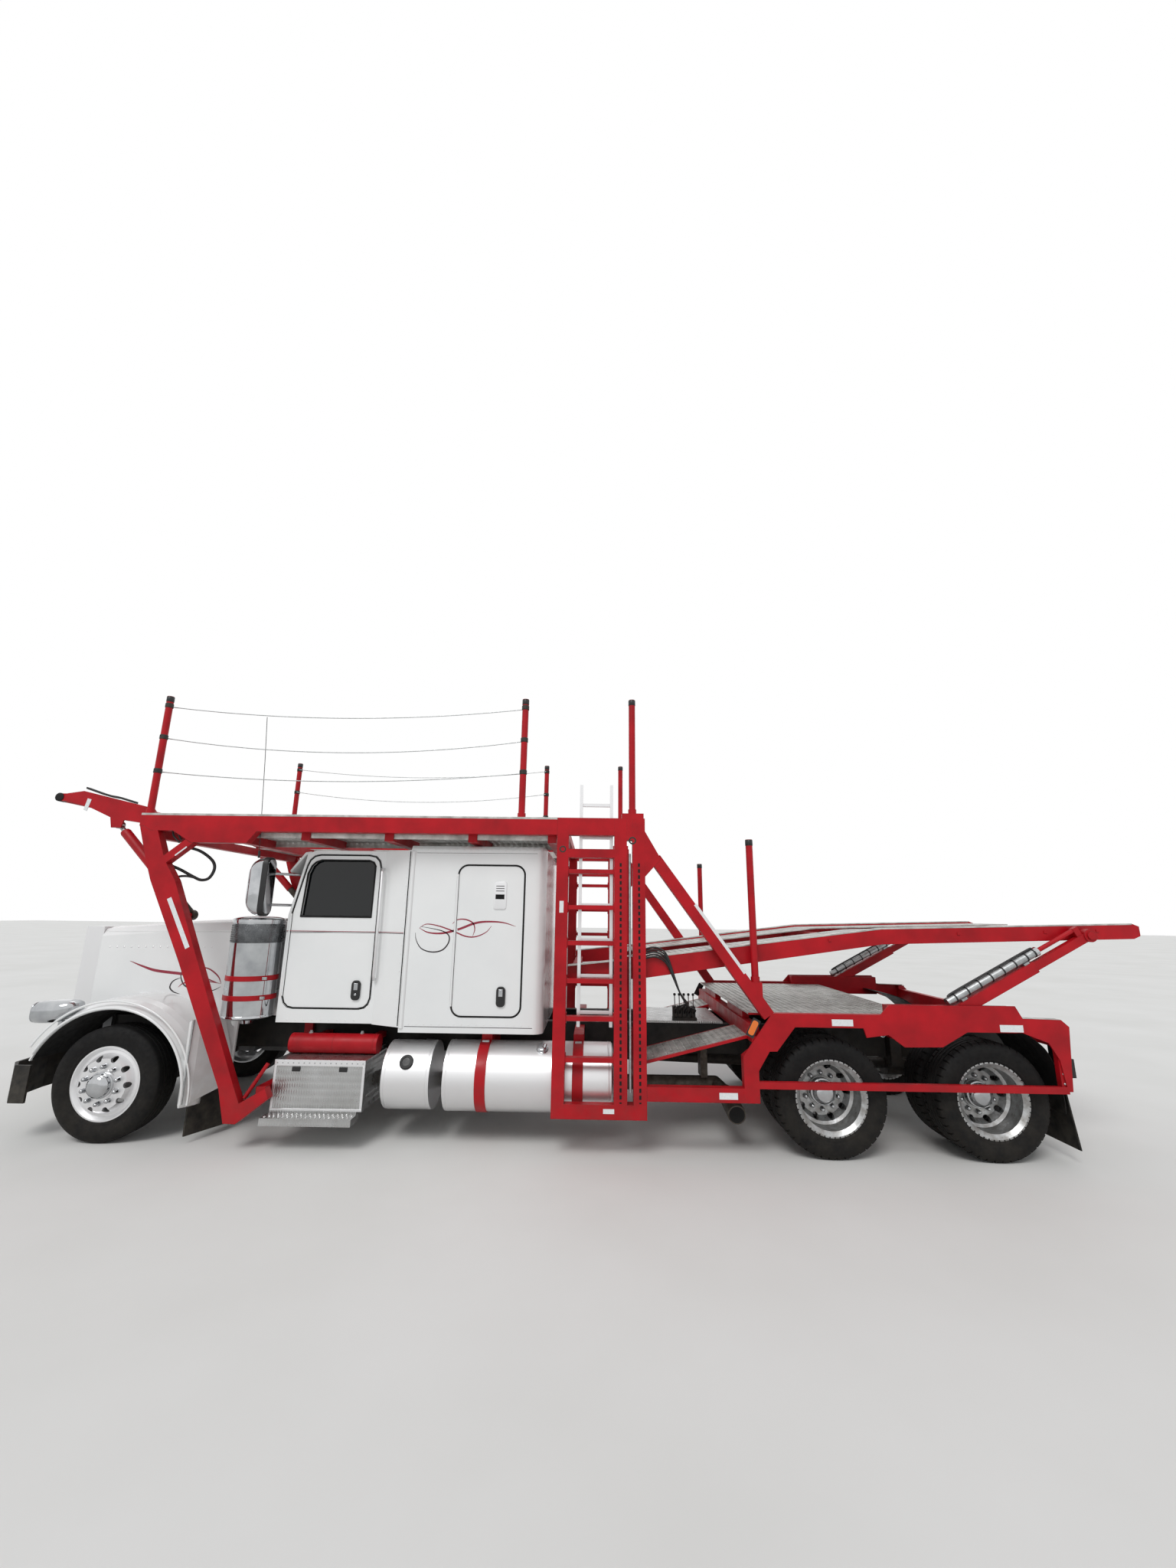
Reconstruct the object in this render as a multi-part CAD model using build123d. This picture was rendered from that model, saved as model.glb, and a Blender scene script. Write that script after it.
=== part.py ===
from build123d import *
import math
import os

# Conventional tractor truck with a car transporter rack, in millimetres
# X runs from the bumper to the tail, Y to the right-hand side, Z up from the ground
# Every X below is counted from the front axle; CENTRE_X puts the origin under the middle

os.makedirs("parts", exist_ok=True)

# Driving sizes of the whole truck
WHEELBASE = 6095.0
TANDEM_PITCH = 1321.0
FRONT_END_X = -945.0
REAR_END_X = WHEELBASE + TANDEM_PITCH + 1452.0
CENTRE_X = (FRONT_END_X + REAR_END_X) / 2
HALF_WIDTH = 1300.0
RUNNING_GAP = 0.05
REST_GAP = 0.3

# Wheels and tyres
TYRE_R = 460.0
TYRE_W = 286.0
BEAD_R = 292.0
FLANGE_R = 299.0
RIM_HALF_W = 118.0
DISC_OFFSET = 150.0
DISC_T = 22.0
HUB_R = 118.0
HAND_HOLES = 10
HAND_HOLE_R = 24.0
HAND_HOLE_PCR = 205.0
CAP_R = 92.0
SPINDLE_R = 45.0
FRONT_TYRE_Y = 1022.0
DUAL_PITCH = 326.0
REAR_OUTER_Y = 1082.0
REAR_INNER_Y = REAR_OUTER_Y - DUAL_PITCH
DUAL_MID_Y = (REAR_OUTER_Y + REAR_INNER_Y) / 2
DRIVE_AXLES_X = (WHEELBASE, WHEELBASE + TANDEM_PITCH)

# Steering
KINGPIN_Y = 870.0
KINGPIN_R = 24.0
STEER_ARM_X = 190.0
STEER_ARM_Y = 800.0
STEER_ARM_Z = TYRE_R - 72.0

# Chassis frame
RAIL_OUT_Y = 430.0
RAIL_T = 9.0
RAIL_FLANGE = 90.0
RAIL_Z0 = 625.0
RAIL_Z1 = 895.0
RAIL_X0 = -560.0
RAIL_X1 = WHEELBASE + TANDEM_PITCH + 514.0
CROSS_W = 90.0

# Rack side plane and its parts
SIDE_IN_Y = 1220.0
SIDE_OUT_Y = 1300.0
TOP_RAIL_Z0 = 2600.0
TOP_RAIL_Z1 = 2755.0
POST_X0 = 3790.0
POST_W = 105.0
COLUMN_X0 = 4300.0
COLUMN_X1 = 4570.0
GROOVE_X0 = 4410.0
GROOVE_X1 = 4460.0
TOWER_Z0 = 300.0
TOWER_Z1 = 2800.0
TOWER_IN_Y = 1200.0
SIDE_RAIL_TOP_Z = 1127.0

# Cab, sleeper and hood
CAB_HALF_W = 970.0
CAB_X0 = 1300.0
CAB_X1 = 2160.0
CAB_Z0 = 940.0
CAB_ROOF_Z = 2470.0
WALL = 45.0
SLEEPER_X0 = 2440.0
SLEEPER_X1 = 3690.0
SLEEPER_HALF_W = 1100.0
SLEEPER_Z0 = 895.0
SLEEPER_Z1 = 2515.0
HOOD_X0 = -700.0
HOOD_X1 = 1120.0
HOOD_WALL = 28.0
COWL_GAP = 6.0
HOOD_PIVOT_X = -780.0
HOOD_PIVOT_Z = 620.0
HOOD_PIN_R = 15.0
HOOD_EAR_Y = 390.0
HOOD_EAR_T = 28.0

# Rear deck, its pivot and its lift struts
DECK_OUT_Y = 1185.0
DECK_RAIL_W = 80.0
DECK_PIVOT_X = (GROOVE_X0 + GROOVE_X1) / 2
DECK_PIVOT_Z = 1470.0
DECK_PIN_R = 24.0
STRUT_IN_Y = 1205.0
STRUT_OUT_Y = 1275.0
STRUT_BASE_X = WHEELBASE + TANDEM_PITCH - 396.0
STRUT_BASE_Z = 1080.0
STRUT_TOP_X = WHEELBASE + TANDEM_PITCH + 954.0
STRUT_TOP_Z = 1790.0
STRUT_PIN_R = 25.0

# Nose ramp and its cylinders
NOSE_PIVOT_X = 30.0
NOSE_PIVOT_Z = 2715.0
NOSE_PIN_R = 20.0
NOSE_BASE_PIN_R = 22.0
NOSE_EYE_X = -280.0
NOSE_EYE_Z = NOSE_PIVOT_Z - 50.0
NOSE_BASE_X = 520.0
NOSE_BASE_Z = 1860.0
NOSE_IN_Y = 1125.0
NOSE_OUT_Y = 1195.0

LEFT = -1
RIGHT = 1
SIDES = (("left", LEFT), ("right", RIGHT))

# Outlines behind the towers were measured with the last axle at this X
MEASURED_REAR_X = 7416.0
STRETCH_END_X = 5485.0


def aft(x):
    # The run from the towers to the drive wheels stretches with the wheelbase, and the rest moves along
    share = min(max((x - COLUMN_X1) / (STRETCH_END_X - COLUMN_X1), 0.0), 1.0)
    return x + share * (WHEELBASE + TANDEM_PITCH - MEASURED_REAR_X)


def aft_points(points):
    return [(aft(x), z) for x, z in points]


# Small makers of plain shapes
def box(x0, x1, y0, y1, z0, z1):
    size = (abs(x1 - x0), abs(y1 - y0), abs(z1 - z0))
    middle = ((x0 + x1) / 2, (y0 + y1) / 2, (z0 + z1) / 2)
    return Pos(*middle) * Box(*size)


def side_plate(points, y0, y1):
    # Outline of (x, z) points, from y0 to y1
    low = min(y0, y1)
    face = Plane.XZ * make_face(Polyline(*points, close=True))
    return Pos(0, low, 0) * extrude(face, -abs(y1 - y0))


def cross_plate(points, x0, x1):
    # Outline of (y, z) points, from x0 to x1
    face = Plane.YZ * make_face(Polyline(*points, close=True))
    return Pos(x0, 0, 0) * extrude(face, x1 - x0)


def flat_plate(points, z0, z1):
    # Outline of (x, y) points, from z0 to z1
    return Pos(0, 0, z0) * extrude(make_face(Polyline(*points, close=True)), z1 - z0)


def rod(start, end, radius):
    # Round bar between two points
    a = Vector(*start)
    b = Vector(*end)
    line = b - a
    plane = Plane(origin=a, z_dir=line)
    return extrude(plane * Circle(radius), line.length)


def pipe(start, end, outer, inner):
    return rod(start, end, outer) - rod(start, end, inner)


def bar(start, end, depth, y0, y1):
    # Straight flat bar in a side plane, between two (x, z) points
    dx = end[0] - start[0]
    dz = end[1] - start[1]
    length = math.hypot(dx, dz)
    nx = -dz / length * depth / 2
    nz = dx / length * depth / 2
    corners = [
        (start[0] + nx, start[1] + nz),
        (end[0] + nx, end[1] + nz),
        (end[0] - nx, end[1] - nz),
        (start[0] - nx, start[1] - nz),
    ]
    return side_plate(corners, y0, y1)


def disc_y(x, z, y0, y1, radius):
    return rod((x, min(y0, y1), z), (x, max(y0, y1), z), radius)


def ring_about_y(x, z, profile):
    # Turned part about a Y line through (x, z), from (radius, y) points
    face = make_face(Polyline(*[(r, y) for r, y in profile], close=True))
    turned = revolve(face, Axis.Y)
    return Pos(x, 0, z) * turned


def mirror_y(shape):
    return mirror(shape, Plane.XZ)


def on_side(shape, side):
    # Shapes are drawn on the right-hand side, where Y is positive
    return shape if side > 0 else mirror_y(shape)


def both(*shapes):
    return [s for s in shapes] + [mirror_y(s) for s in shapes]


def solids_of(shapes):
    found = []
    for shape in shapes:
        found.extend(shape.solids())
    return found


def fuse(*shapes):
    body = shapes[0]
    for shape in shapes[1:]:
        body = body + shape
    return body


def write(name, shapes):
    moved = [Pos(-CENTRE_X, 0, 0) * s for s in solids_of(shapes)]
    export_step(Compound(children=moved), "parts/" + name + ".step")


# Long hinge: the moving leaf carries the barrel, the fixed side carries the pin and its end lugs
HINGE_R = 10.0
HINGE_PIN_R = 5.0
HINGE_LUG = 25.0
HINGE_CLEAR = 1.5


def hinge_barrel(x, y, z0, z1):
    return rod((x, y, z0), (x, y, z1), HINGE_R)


def hinge_bore(x, y, z0, z1):
    return rod((x, y, z0 - 1), (x, y, z1 + 1), HINGE_PIN_R + RUNNING_GAP)


def hinge_pin(x, y, z0, z1):
    pin = rod((x, y, z0 - HINGE_LUG), (x, y, z1 + HINGE_LUG), HINGE_PIN_R)
    low = rod((x, y, z0 - HINGE_LUG), (x, y, z0 - 0.5), HINGE_R)
    high = rod((x, y, z1 + 0.5), (x, y, z1 + HINGE_LUG), HINGE_R)
    return fuse(pin, low, high)


def hinge_groove(x, y, z0, z1):
    return rod((x, y, z0 - 0.5), (x, y, z1 + 0.5), HINGE_R + HINGE_CLEAR)


def lug_notches(x, y, z0, z1):
    low = rod((x, y, z0 - HINGE_LUG - 1), (x, y, z0), HINGE_R + HINGE_CLEAR)
    high = rod((x, y, z1), (x, y, z1 + HINGE_LUG + 1), HINGE_R + HINGE_CLEAR)
    return low, high


# Wheels
def tyre(x, y):
    half = TYRE_W / 2
    profile = [
        (BEAD_R, y - 112), (BEAD_R + 40, y - 132), (BEAD_R + 95, y - half),
        (TYRE_R - 42, y - half + 6), (TYRE_R - 6, y - 118), (TYRE_R, y - 96),
        (TYRE_R, y + 96), (TYRE_R - 6, y + 118), (TYRE_R - 42, y + half - 6),
        (BEAD_R + 95, y + half), (BEAD_R + 40, y + 132), (BEAD_R, y + 112),
    ]
    return ring_about_y(x, TYRE_R, profile)


def rim(x, y, outward, bore):
    # Pressed wheel whose disc lies DISC_OFFSET to the side that outward gives
    s = outward
    disc = y + s * DISC_OFFSET
    barrel_r = BEAD_R - REST_GAP
    profile = [
        (FLANGE_R, y - s * RIM_HALF_W), (barrel_r, y - s * 112), (barrel_r, y + s * 112),
        (FLANGE_R, y + s * RIM_HALF_W), (FLANGE_R - 14, y + s * RIM_HALF_W),
        (262, y + s * 92), (240, y + s * 96), (205, disc), (bore, disc),
        (bore, disc - s * DISC_T), (196, disc - s * DISC_T), (228, y + s * 74),
        (252, y + s * 60), (252, y - s * 92), (FLANGE_R - 14, y - s * RIM_HALF_W),
    ]
    body = ring_about_y(x, TYRE_R, profile)
    for number in range(HAND_HOLES):
        angle = math.radians(360 / HAND_HOLES * number)
        hx = x + HAND_HOLE_PCR * math.cos(angle)
        hz = TYRE_R + HAND_HOLE_PCR * math.sin(angle)
        body = body - disc_y(hx, hz, y + s * 60, y + s * 180, HAND_HOLE_R)
    return body


def front_rim(x, side):
    y = FRONT_TYRE_Y
    body = rim(x, y, 1, HUB_R - 10)
    hub_in = KINGPIN_Y + 52
    hub_out = y + DISC_OFFSET + 10
    bore = disc_y(x, TYRE_R, hub_in - 1, hub_out - 40, SPINDLE_R + RUNNING_GAP)
    hub = disc_y(x, TYRE_R, hub_in, hub_out, HUB_R) - bore
    cap = disc_y(x, TYRE_R, hub_out, hub_out + 42, CAP_R)
    return on_side(fuse(body, hub, cap), side)


def rear_rims(x, side):
    outer = rim(x, REAR_OUTER_Y, -1, HUB_R - 10)
    inner = rim(x, REAR_INNER_Y, 1, HUB_R - 10)
    hub_in = DUAL_MID_Y - 120
    hub_out = DUAL_MID_Y + 60
    bore = disc_y(x, TYRE_R, hub_in - 1, hub_out - 40, SPINDLE_R + RUNNING_GAP)
    hub = disc_y(x, TYRE_R, hub_in, hub_out, HUB_R) - bore
    cap = disc_y(x, TYRE_R, hub_out, hub_out + 70, CAP_R)
    return on_side(fuse(outer, inner, hub, cap), side)


for name, side in SIDES:
    write("front_tyre_" + name, [on_side(tyre(0, FRONT_TYRE_Y), side)])
    write("front_rim_" + name, [front_rim(0, side)])
    for number, axle_x in enumerate(DRIVE_AXLES_X, start=1):
        pair = [on_side(tyre(axle_x, y), side) for y in (REAR_OUTER_Y, REAR_INNER_Y)]
        write("rear_tyres_" + name + "_" + str(number), pair)
        write("rear_rims_" + name + "_" + str(number), [rear_rims(axle_x, side)])


# Steering knuckles, tie rod and front axle
EYE_HALF_H = 75.0
AXLE_END_Y = KINGPIN_Y - 34
KNUCKLE_EAR_H = 36.0
TIE_Z0 = STEER_ARM_Z + 14 + REST_GAP
TIE_PIN_R = 12.0


def knuckle(side):
    z = TYRE_R
    yoke_z = EYE_HALF_H + KNUCKLE_EAR_H
    plate = box(-44, 44, KINGPIN_Y + 8, KINGPIN_Y + 44, z - yoke_z, z + yoke_z)
    ears = fuse(
        rod((0, KINGPIN_Y, z + EYE_HALF_H + 1), (0, KINGPIN_Y, z + yoke_z), 46),
        rod((0, KINGPIN_Y, z - yoke_z), (0, KINGPIN_Y, z - EYE_HALF_H - 1), 46),
    )
    keep_clear = rod((0, KINGPIN_Y, z - EYE_HALF_H - 1), (0, KINGPIN_Y, z + EYE_HALF_H + 1), 46)
    pin = rod((0, KINGPIN_Y, z - yoke_z), (0, KINGPIN_Y, z + yoke_z), KINGPIN_R)
    spindle = disc_y(0, z, KINGPIN_Y + 44, FRONT_TYRE_Y + DISC_OFFSET - 32, SPINDLE_R)
    arm = flat_plate(
        [(40, KINGPIN_Y + 44), (46, KINGPIN_Y + 10), (STEER_ARM_X - 12, STEER_ARM_Y - 16),
         (STEER_ARM_X + 18, STEER_ARM_Y - 16), (STEER_ARM_X + 18, STEER_ARM_Y + 20), (80, KINGPIN_Y + 44)],
        STEER_ARM_Z - 14, STEER_ARM_Z + 14)
    body = fuse(plate - keep_clear, ears, pin, spindle, arm)
    if side == LEFT:
        ball = (STEER_ARM_X, STEER_ARM_Y, STEER_ARM_Z)
        body = body + rod(ball, (STEER_ARM_X, STEER_ARM_Y, TIE_Z0 + 42), TIE_PIN_R)
    return on_side(body, side)


def front_axle():
    z = TYRE_R
    eye = rod((0, KINGPIN_Y, z - EYE_HALF_H), (0, KINGPIN_Y, z + EYE_HALF_H), 44)
    bore = rod(
        (0, KINGPIN_Y, z - EYE_HALF_H - 1), (0, KINGPIN_Y, z + EYE_HALF_H + 1), KINGPIN_R + RUNNING_GAP)
    arm = cross_plate(
        [(0, 300), (520, 300), (760, z - 50), (AXLE_END_Y, z - 50), (AXLE_END_Y, z + 50), (740, z + 50),
         (520, 395), (0, 395)], -50, 50)
    half = (arm + eye) - bore
    return fuse(half, mirror_y(half))


SPRING_Y = 385.0
SPRING_HALF_W = 38.0


def front_spring():
    leaves = side_plate(
        [(-600, 560), (-300, 475), (0, 440), (300, 475), (640, 560), (640, 574), (300, 500), (60, 490),
         (60, 520), (-60, 520), (-60, 490), (-300, 500), (-600, 574)],
        SPRING_Y - SPRING_HALF_W, SPRING_Y + SPRING_HALF_W)
    seat = box(-60, 60, SPRING_Y - SPRING_HALF_W, SPRING_Y + SPRING_HALF_W, 380, 470)
    hangers = [
        box(x - 35, x + 35, SPRING_Y - SPRING_HALF_W, SPRING_Y + 45, 560, RAIL_Z0) for x in (-565, 605)
    ]
    return fuse(leaves, seat, *hangers)


write("front_axle", [fuse(front_axle(), front_spring(), mirror_y(front_spring()))])
for name, side in SIDES:
    write("knuckle_" + name, [knuckle(side)])

tie_bar = fuse(
    rod((STEER_ARM_X, -STEER_ARM_Y, TIE_Z0 + 20), (STEER_ARM_X, STEER_ARM_Y, TIE_Z0 + 20), 18),
    rod((STEER_ARM_X, -STEER_ARM_Y, TIE_Z0), (STEER_ARM_X, -STEER_ARM_Y, TIE_Z0 + 42), 26),
    rod((STEER_ARM_X, STEER_ARM_Y, TIE_Z0), (STEER_ARM_X, STEER_ARM_Y, TIE_Z0 + 42), 26),
)
tie_hole = rod(
    (STEER_ARM_X, -STEER_ARM_Y, TIE_Z0 - 1), (STEER_ARM_X, -STEER_ARM_Y, TIE_Z0 + 43),
    TIE_PIN_R + RUNNING_GAP)
write("tie_rod", [tie_bar - tie_hole])


# Chassis frame
def frame_rail():
    # Web and two flanges
    y = RAIL_OUT_Y
    t = RAIL_T
    return [
        box(RAIL_X0, RAIL_X1, y - t, y, RAIL_Z0, RAIL_Z1),
        box(RAIL_X0, RAIL_X1, y - RAIL_FLANGE, y - t, RAIL_Z1 - t, RAIL_Z1),
        box(RAIL_X0, RAIL_X1, y - RAIL_FLANGE, y - t, RAIL_Z0, RAIL_Z0 + t),
    ]


CROSS_XS = (-500.0, 1760.0, 2500.0, 3560.0, aft(4850.0), aft(5480.0), aft(6755.0), aft(7870.0))
cross_members = [
    box(
        x - CROSS_W / 2, x + CROSS_W / 2, -RAIL_OUT_Y + RAIL_T, RAIL_OUT_Y - RAIL_T, RAIL_Z0 + 50,
        RAIL_Z1 - 50)
    for x in CROSS_XS
]
write("chassis_frame", both(*frame_rail()) + cross_members)


# Drive axles with their suspension and shafts
AXLE_TUBE_R = 72.0
BOWL_R = 215.0
ARM_Y = 500.0
AIRBAG_Y = 515.0
AIRBAG_R = 75.0


def drive_axle(x):
    z = TYRE_R
    tube = disc_y(x, z, -DUAL_MID_Y + 130, DUAL_MID_Y - 130, AXLE_TUBE_R)
    bowl = rod((x - 70, 0, z), (x + 110, 0, z), BOWL_R)
    nose = rod((x - 330, 0, z + 20), (x - 60, 0, z + 20), 110)
    spindles = [
        on_side(disc_y(x, z, DUAL_MID_Y - 131, DUAL_MID_Y + 18, SPINDLE_R), side) for side in (LEFT, RIGHT)
    ]
    return fuse(tube, bowl, nose, *spindles)


def trailing_arm(x):
    arm = bar((x - 430, 600), (x + 90, TYRE_R + 20), 70, ARM_Y - 30, ARM_Y + 30)
    hanger = box(x - 490, x - 390, RAIL_OUT_Y, ARM_Y + 30, 560, RAIL_Z1 - 60)
    spring = rod((x + 200, AIRBAG_Y, TYRE_R + 80), (x + 200, AIRBAG_Y, 701), AIRBAG_R)
    shelf = bar((x + 60, TYRE_R + 60), (x + 280, TYRE_R + 80), 40, ARM_Y - 50, ARM_Y + 30)
    top = box(x + 120, x + 280, RAIL_OUT_Y, ARM_Y + 60, 700, 760)
    return fuse(arm, hanger, spring, shelf, top)


axle_parts = []
for axle_x in DRIVE_AXLES_X:
    axle_parts += [drive_axle(axle_x), trailing_arm(axle_x), mirror_y(trailing_arm(axle_x))]
SHAFT_Z = TYRE_R + 20
GEARBOX_X1 = 1650.0
YOKE_Z = 600.0
axle_parts += [
    rod((GEARBOX_X1 + REST_GAP, 0, YOKE_Z), (GEARBOX_X1 + 70, 0, YOKE_Z), 60),
    rod((GEARBOX_X1 + 50, 0, YOKE_Z), (WHEELBASE - 300, 0, SHAFT_Z), 50),
    rod((WHEELBASE + 90, 0, SHAFT_Z), (WHEELBASE + TANDEM_PITCH - 300, 0, SHAFT_Z), 50),
]
write("drive_axles", [fuse(*axle_parts)])


# Engine, gearbox and radiator as plain blocks
engine = box(-430, 800, -330, 330, 560, 1430)
gearbox = box(800, GEARBOX_X1, -200, 200, 540, 880)
radiator = box(-640, -560, -470, 470, 720, 1600)
web_y = RAIL_OUT_Y - RAIL_T - REST_GAP
# Columns: x of the foot, y of the block's side that it starts in
FEET = ((300, 329), (1500, 199))
engine_feet = [box(x, x + 80, s * y, s * web_y, 650, 720) for x, y in FEET for s in (LEFT, RIGHT)]
write("engine_block", [fuse(engine, gearbox, *engine_feet), radiator])

# Bumper, seen black at its end
BUMPER_TOP = 600.0
BUMPER_BOTTOM = 305.0
bumper_plan = [
    (FRONT_END_X, -700), (FRONT_END_X, 700), (-880, 1060), (-775, 1170), (-640, 1170), (-640, 1150),
    (-765, 1150), (-860, 1045), (-920, 695), (-920, -695), (-860, -1045), (-765, -1150),
    (-640, -1150), (-640, -1170), (-775, -1170), (-880, -1060),
]
bumper = flat_plate(bumper_plan, BUMPER_BOTTOM, BUMPER_TOP)
ARM_IN_Y = RAIL_OUT_Y + REST_GAP
bumper_arms = [box(-925, -480, s * ARM_IN_Y, s * (ARM_IN_Y + 60), 480, 590) for s in (LEFT, RIGHT)]
bumper_arms += [box(-640, -480, s * ARM_IN_Y, s * (ARM_IN_Y + 60), 480, 715) for s in (LEFT, RIGHT)]
pivot_plates = [
    side_plate(
        ((-830, 585), (-810, 650), (-750, 650), (-730, 585)), s * ARM_IN_Y, s * (ARM_IN_Y + 25)
    ) for s in (LEFT, RIGHT)
]
pivot_pins = [
    disc_y(
        HOOD_PIVOT_X, HOOD_PIVOT_Z, s * (HOOD_EAR_Y - 5), s * (ARM_IN_Y + 5), HOOD_PIN_R
    ) for s in (LEFT, RIGHT)
]
write("front_bumper", [fuse(bumper, *bumper_arms, *pivot_plates, *pivot_pins)])


# Hood with its fenders, headlamps and grille
def hood_section(x, half_w, z0, z_top, corner, inset):
    h = half_w - inset
    top = z_top - inset
    edge = top - corner * 0.9
    outline = Polyline(
        (-h, z0), (-h, edge), (-h + corner * 0.35, top - corner * 0.28), (-h + corner, top - 14),
        (0, top), (h - corner, top - 14), (h - corner * 0.35, top - corner * 0.28), (h, edge), (h, z0),
        close=True)
    return Pos(x, 0, 0) * (Plane.YZ * make_face(outline))


# Columns: x, half width, bottom z, top z, corner size
HOOD_STATIONS = (
    (HOOD_X0, 600.0, 960.0, 1745.0, 110.0),
    (200.0, 668.0, 960.0, 1815.0, 120.0),
    (HOOD_X1, 738.0, 960.0, 1850.0, 130.0),
)


def hood_block(inset, stretch):
    sections = []
    for index, (x, half_w, z0, z_top, corner) in enumerate(HOOD_STATIONS):
        shift = 0.0
        if index == 0:
            shift = -stretch
        if index == len(HOOD_STATIONS) - 1:
            shift = stretch
        sections.append(hood_section(x + shift, half_w, z0 - stretch, z_top, corner, inset))
    return loft(sections, ruled=True)


hood_shell = hood_block(0, 0) - hood_block(HOOD_WALL, 5)

ARCH_X = -12.0
ARCH_Z = 367.0
ARCH_R = 690.0
CROWN_R = ARCH_R + 85
FENDER_OUT_Y = 1180.0
FENDER_IN_Y = 640.0
FENDER_T = 22.0
FENDER_FRONT_DEG = 157.0
FENDER_REAR_DEG = -6.0


def fender():
    crown = CROWN_R
    t = FENDER_T
    profile = [
        (crown, FENDER_IN_Y), (crown, 985), (crown - 14, 1060), (crown - 42, 1130),
        (ARCH_R + 12, FENDER_OUT_Y),
        (ARCH_R, FENDER_OUT_Y), (ARCH_R, FENDER_OUT_Y - t), (crown - 42 - t, 1130 - t),
        (crown - 14 - t, 1050),
        (crown - t, 975), (crown - t, FENDER_IN_Y),
    ]
    face = Plane.XY * make_face(Polyline(*profile, close=True))
    sweep_deg = FENDER_FRONT_DEG - FENDER_REAR_DEG
    turned = revolve(face, Axis.Y, revolution_arc=sweep_deg)
    turned = turned.rotate(Axis.Y, FENDER_REAR_DEG * -1 - sweep_deg)
    return Pos(ARCH_X, 0, ARCH_Z) * turned


def fender_skirt():
    # Wide panel behind the wheel, slanting inwards from the lip to the hood's rear lower corner
    plan = [
        (650, 1150), (690, FENDER_OUT_Y), (735, 1120), (862, 850), (868, 790), (840, 790), (835, 840),
        (708, 1108), (672, 1140),
    ]
    side = [
        (560, 300), (700, 300), (850, 390), (880, 562), (832, 916), (832, 985), (700, 985), (600, 940),
        (560, 900),
    ]
    return flat_plate(plan, 290, 1000) & side_plate(side, 700, FENDER_OUT_Y + 10)


def fender_apron():
    # Inner wall that joins the arch to the hood side, and the riveted skirt behind the wheel
    wall = side_plate(
        [(470, 760), (470, 980), (880, 980), (870, 560), (790, 420), (745, 420), (745, 640)], 790, 812)
    joint = side_plate([(560, 958), (560, 985), (880, 985), (880, 958)], 690, 812)
    return wall + joint


right_fender = fuse(fender(), fender_apron(), fender_skirt())
hood_body = fuse(hood_shell, right_fender, mirror_y(right_fender))
write("hood", [hood_body])

# Columns: x, z of the lamp pod outline
POD_OUTLINE = (
    (-805, 915), (-815, 1010), (-790, 1075), (-700, 1102), (-520, 1100), (-470, 1062), (-470, 1012),
    (-500, 986), (-590, 907))
POD_IN_Y = 850.0
POD_OUT_Y = 1090.0
pod = side_plate(POD_OUTLINE, POD_IN_Y, POD_OUT_Y)
pod_post = box(-660, -600, 930, 985, 840, 915) - disc_y(ARCH_X, ARCH_Z, 900, 1000, CROWN_R + REST_GAP)
write("headlamps", both(pod + pod_post))

GRILLE_X0 = -875.0
GRILLE_HALF_W = 590.0
GRILLE_Z0 = 660.0
GRILLE_Z1 = 1735.0
GRILLE_FRAME = 60.0
GRILLE_BAR_COUNT = 17
grille_frame = box(GRILLE_X0, HOOD_X0 - REST_GAP, -GRILLE_HALF_W, GRILLE_HALF_W, GRILLE_Z0, GRILLE_Z1)
grille_hole = box(
    GRILLE_X0 - 1, HOOD_X0 + 1, -GRILLE_HALF_W + GRILLE_FRAME, GRILLE_HALF_W - GRILLE_FRAME,
    GRILLE_Z0 + GRILLE_FRAME, GRILLE_Z1 - GRILLE_FRAME)
bar_pitch = (GRILLE_HALF_W - GRILLE_FRAME) * 2 / (GRILLE_BAR_COUNT + 1)
grille_bars = [
    box(
        GRILLE_X0 + 12, GRILLE_X0 + 40, y - 8, y + 8, GRILLE_Z0 + GRILLE_FRAME - 2,
        GRILLE_Z1 - GRILLE_FRAME + 2)
    for y in [-GRILLE_HALF_W + GRILLE_FRAME + bar_pitch * (i + 1) for i in range(GRILLE_BAR_COUNT)]
]
HOOD_EAR = ((-815, 661), (-805, 610), (-790, 595), (-770, 595), (-755, 610), (-745, 661))
hood_ears = [side_plate(HOOD_EAR, s * HOOD_EAR_Y, s * (HOOD_EAR_Y + HOOD_EAR_T)) for s in (LEFT, RIGHT)]
ear_bore = disc_y(HOOD_PIVOT_X, HOOD_PIVOT_Z, -HOOD_EAR_Y - 50, HOOD_EAR_Y + 50, HOOD_PIN_R + RUNNING_GAP)
write("grille", [fuse(grille_frame - grille_hole, *grille_bars, *hood_ears) - ear_bore])


# Cab shell with door openings
DOOR_X0 = 1332.0
DOOR_X1 = 2128.0
DOOR_Z0 = 1060.0
DOOR_Z1 = 2430.0
DOOR_T = 60.0
DOOR_GAP = 6.0
# Columns: x, z of the door outline
DOOR_OUTLINE = (
    (DOOR_X0, 1160), (DOOR_X0 + 18, 1105), (DOOR_X0 + 52, 1072), (DOOR_X0 + 105, DOOR_Z0),
    (DOOR_X1 - 105, DOOR_Z0),
    (DOOR_X1 - 52, 1072), (DOOR_X1 - 18, 1105), (DOOR_X1, 1160), (DOOR_X1, 2310), (DOOR_X1 - 18, 2375),
    (DOOR_X1 - 60, 2418),
    (DOOR_X1 - 125, DOOR_Z1), (1545, DOOR_Z1), (1490, 2418), (1448, 2380), (1424, 2320), (DOOR_X0, 1890),
)
WINDOW_OUTLINE = (
    (1415, 1862), (2070, 1862), (2070, 2330), (2050, 2362), (2010, 2378), (1560, 2378), (1508, 2360),
    (1472, 2325), (1442, 2251))


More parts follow.
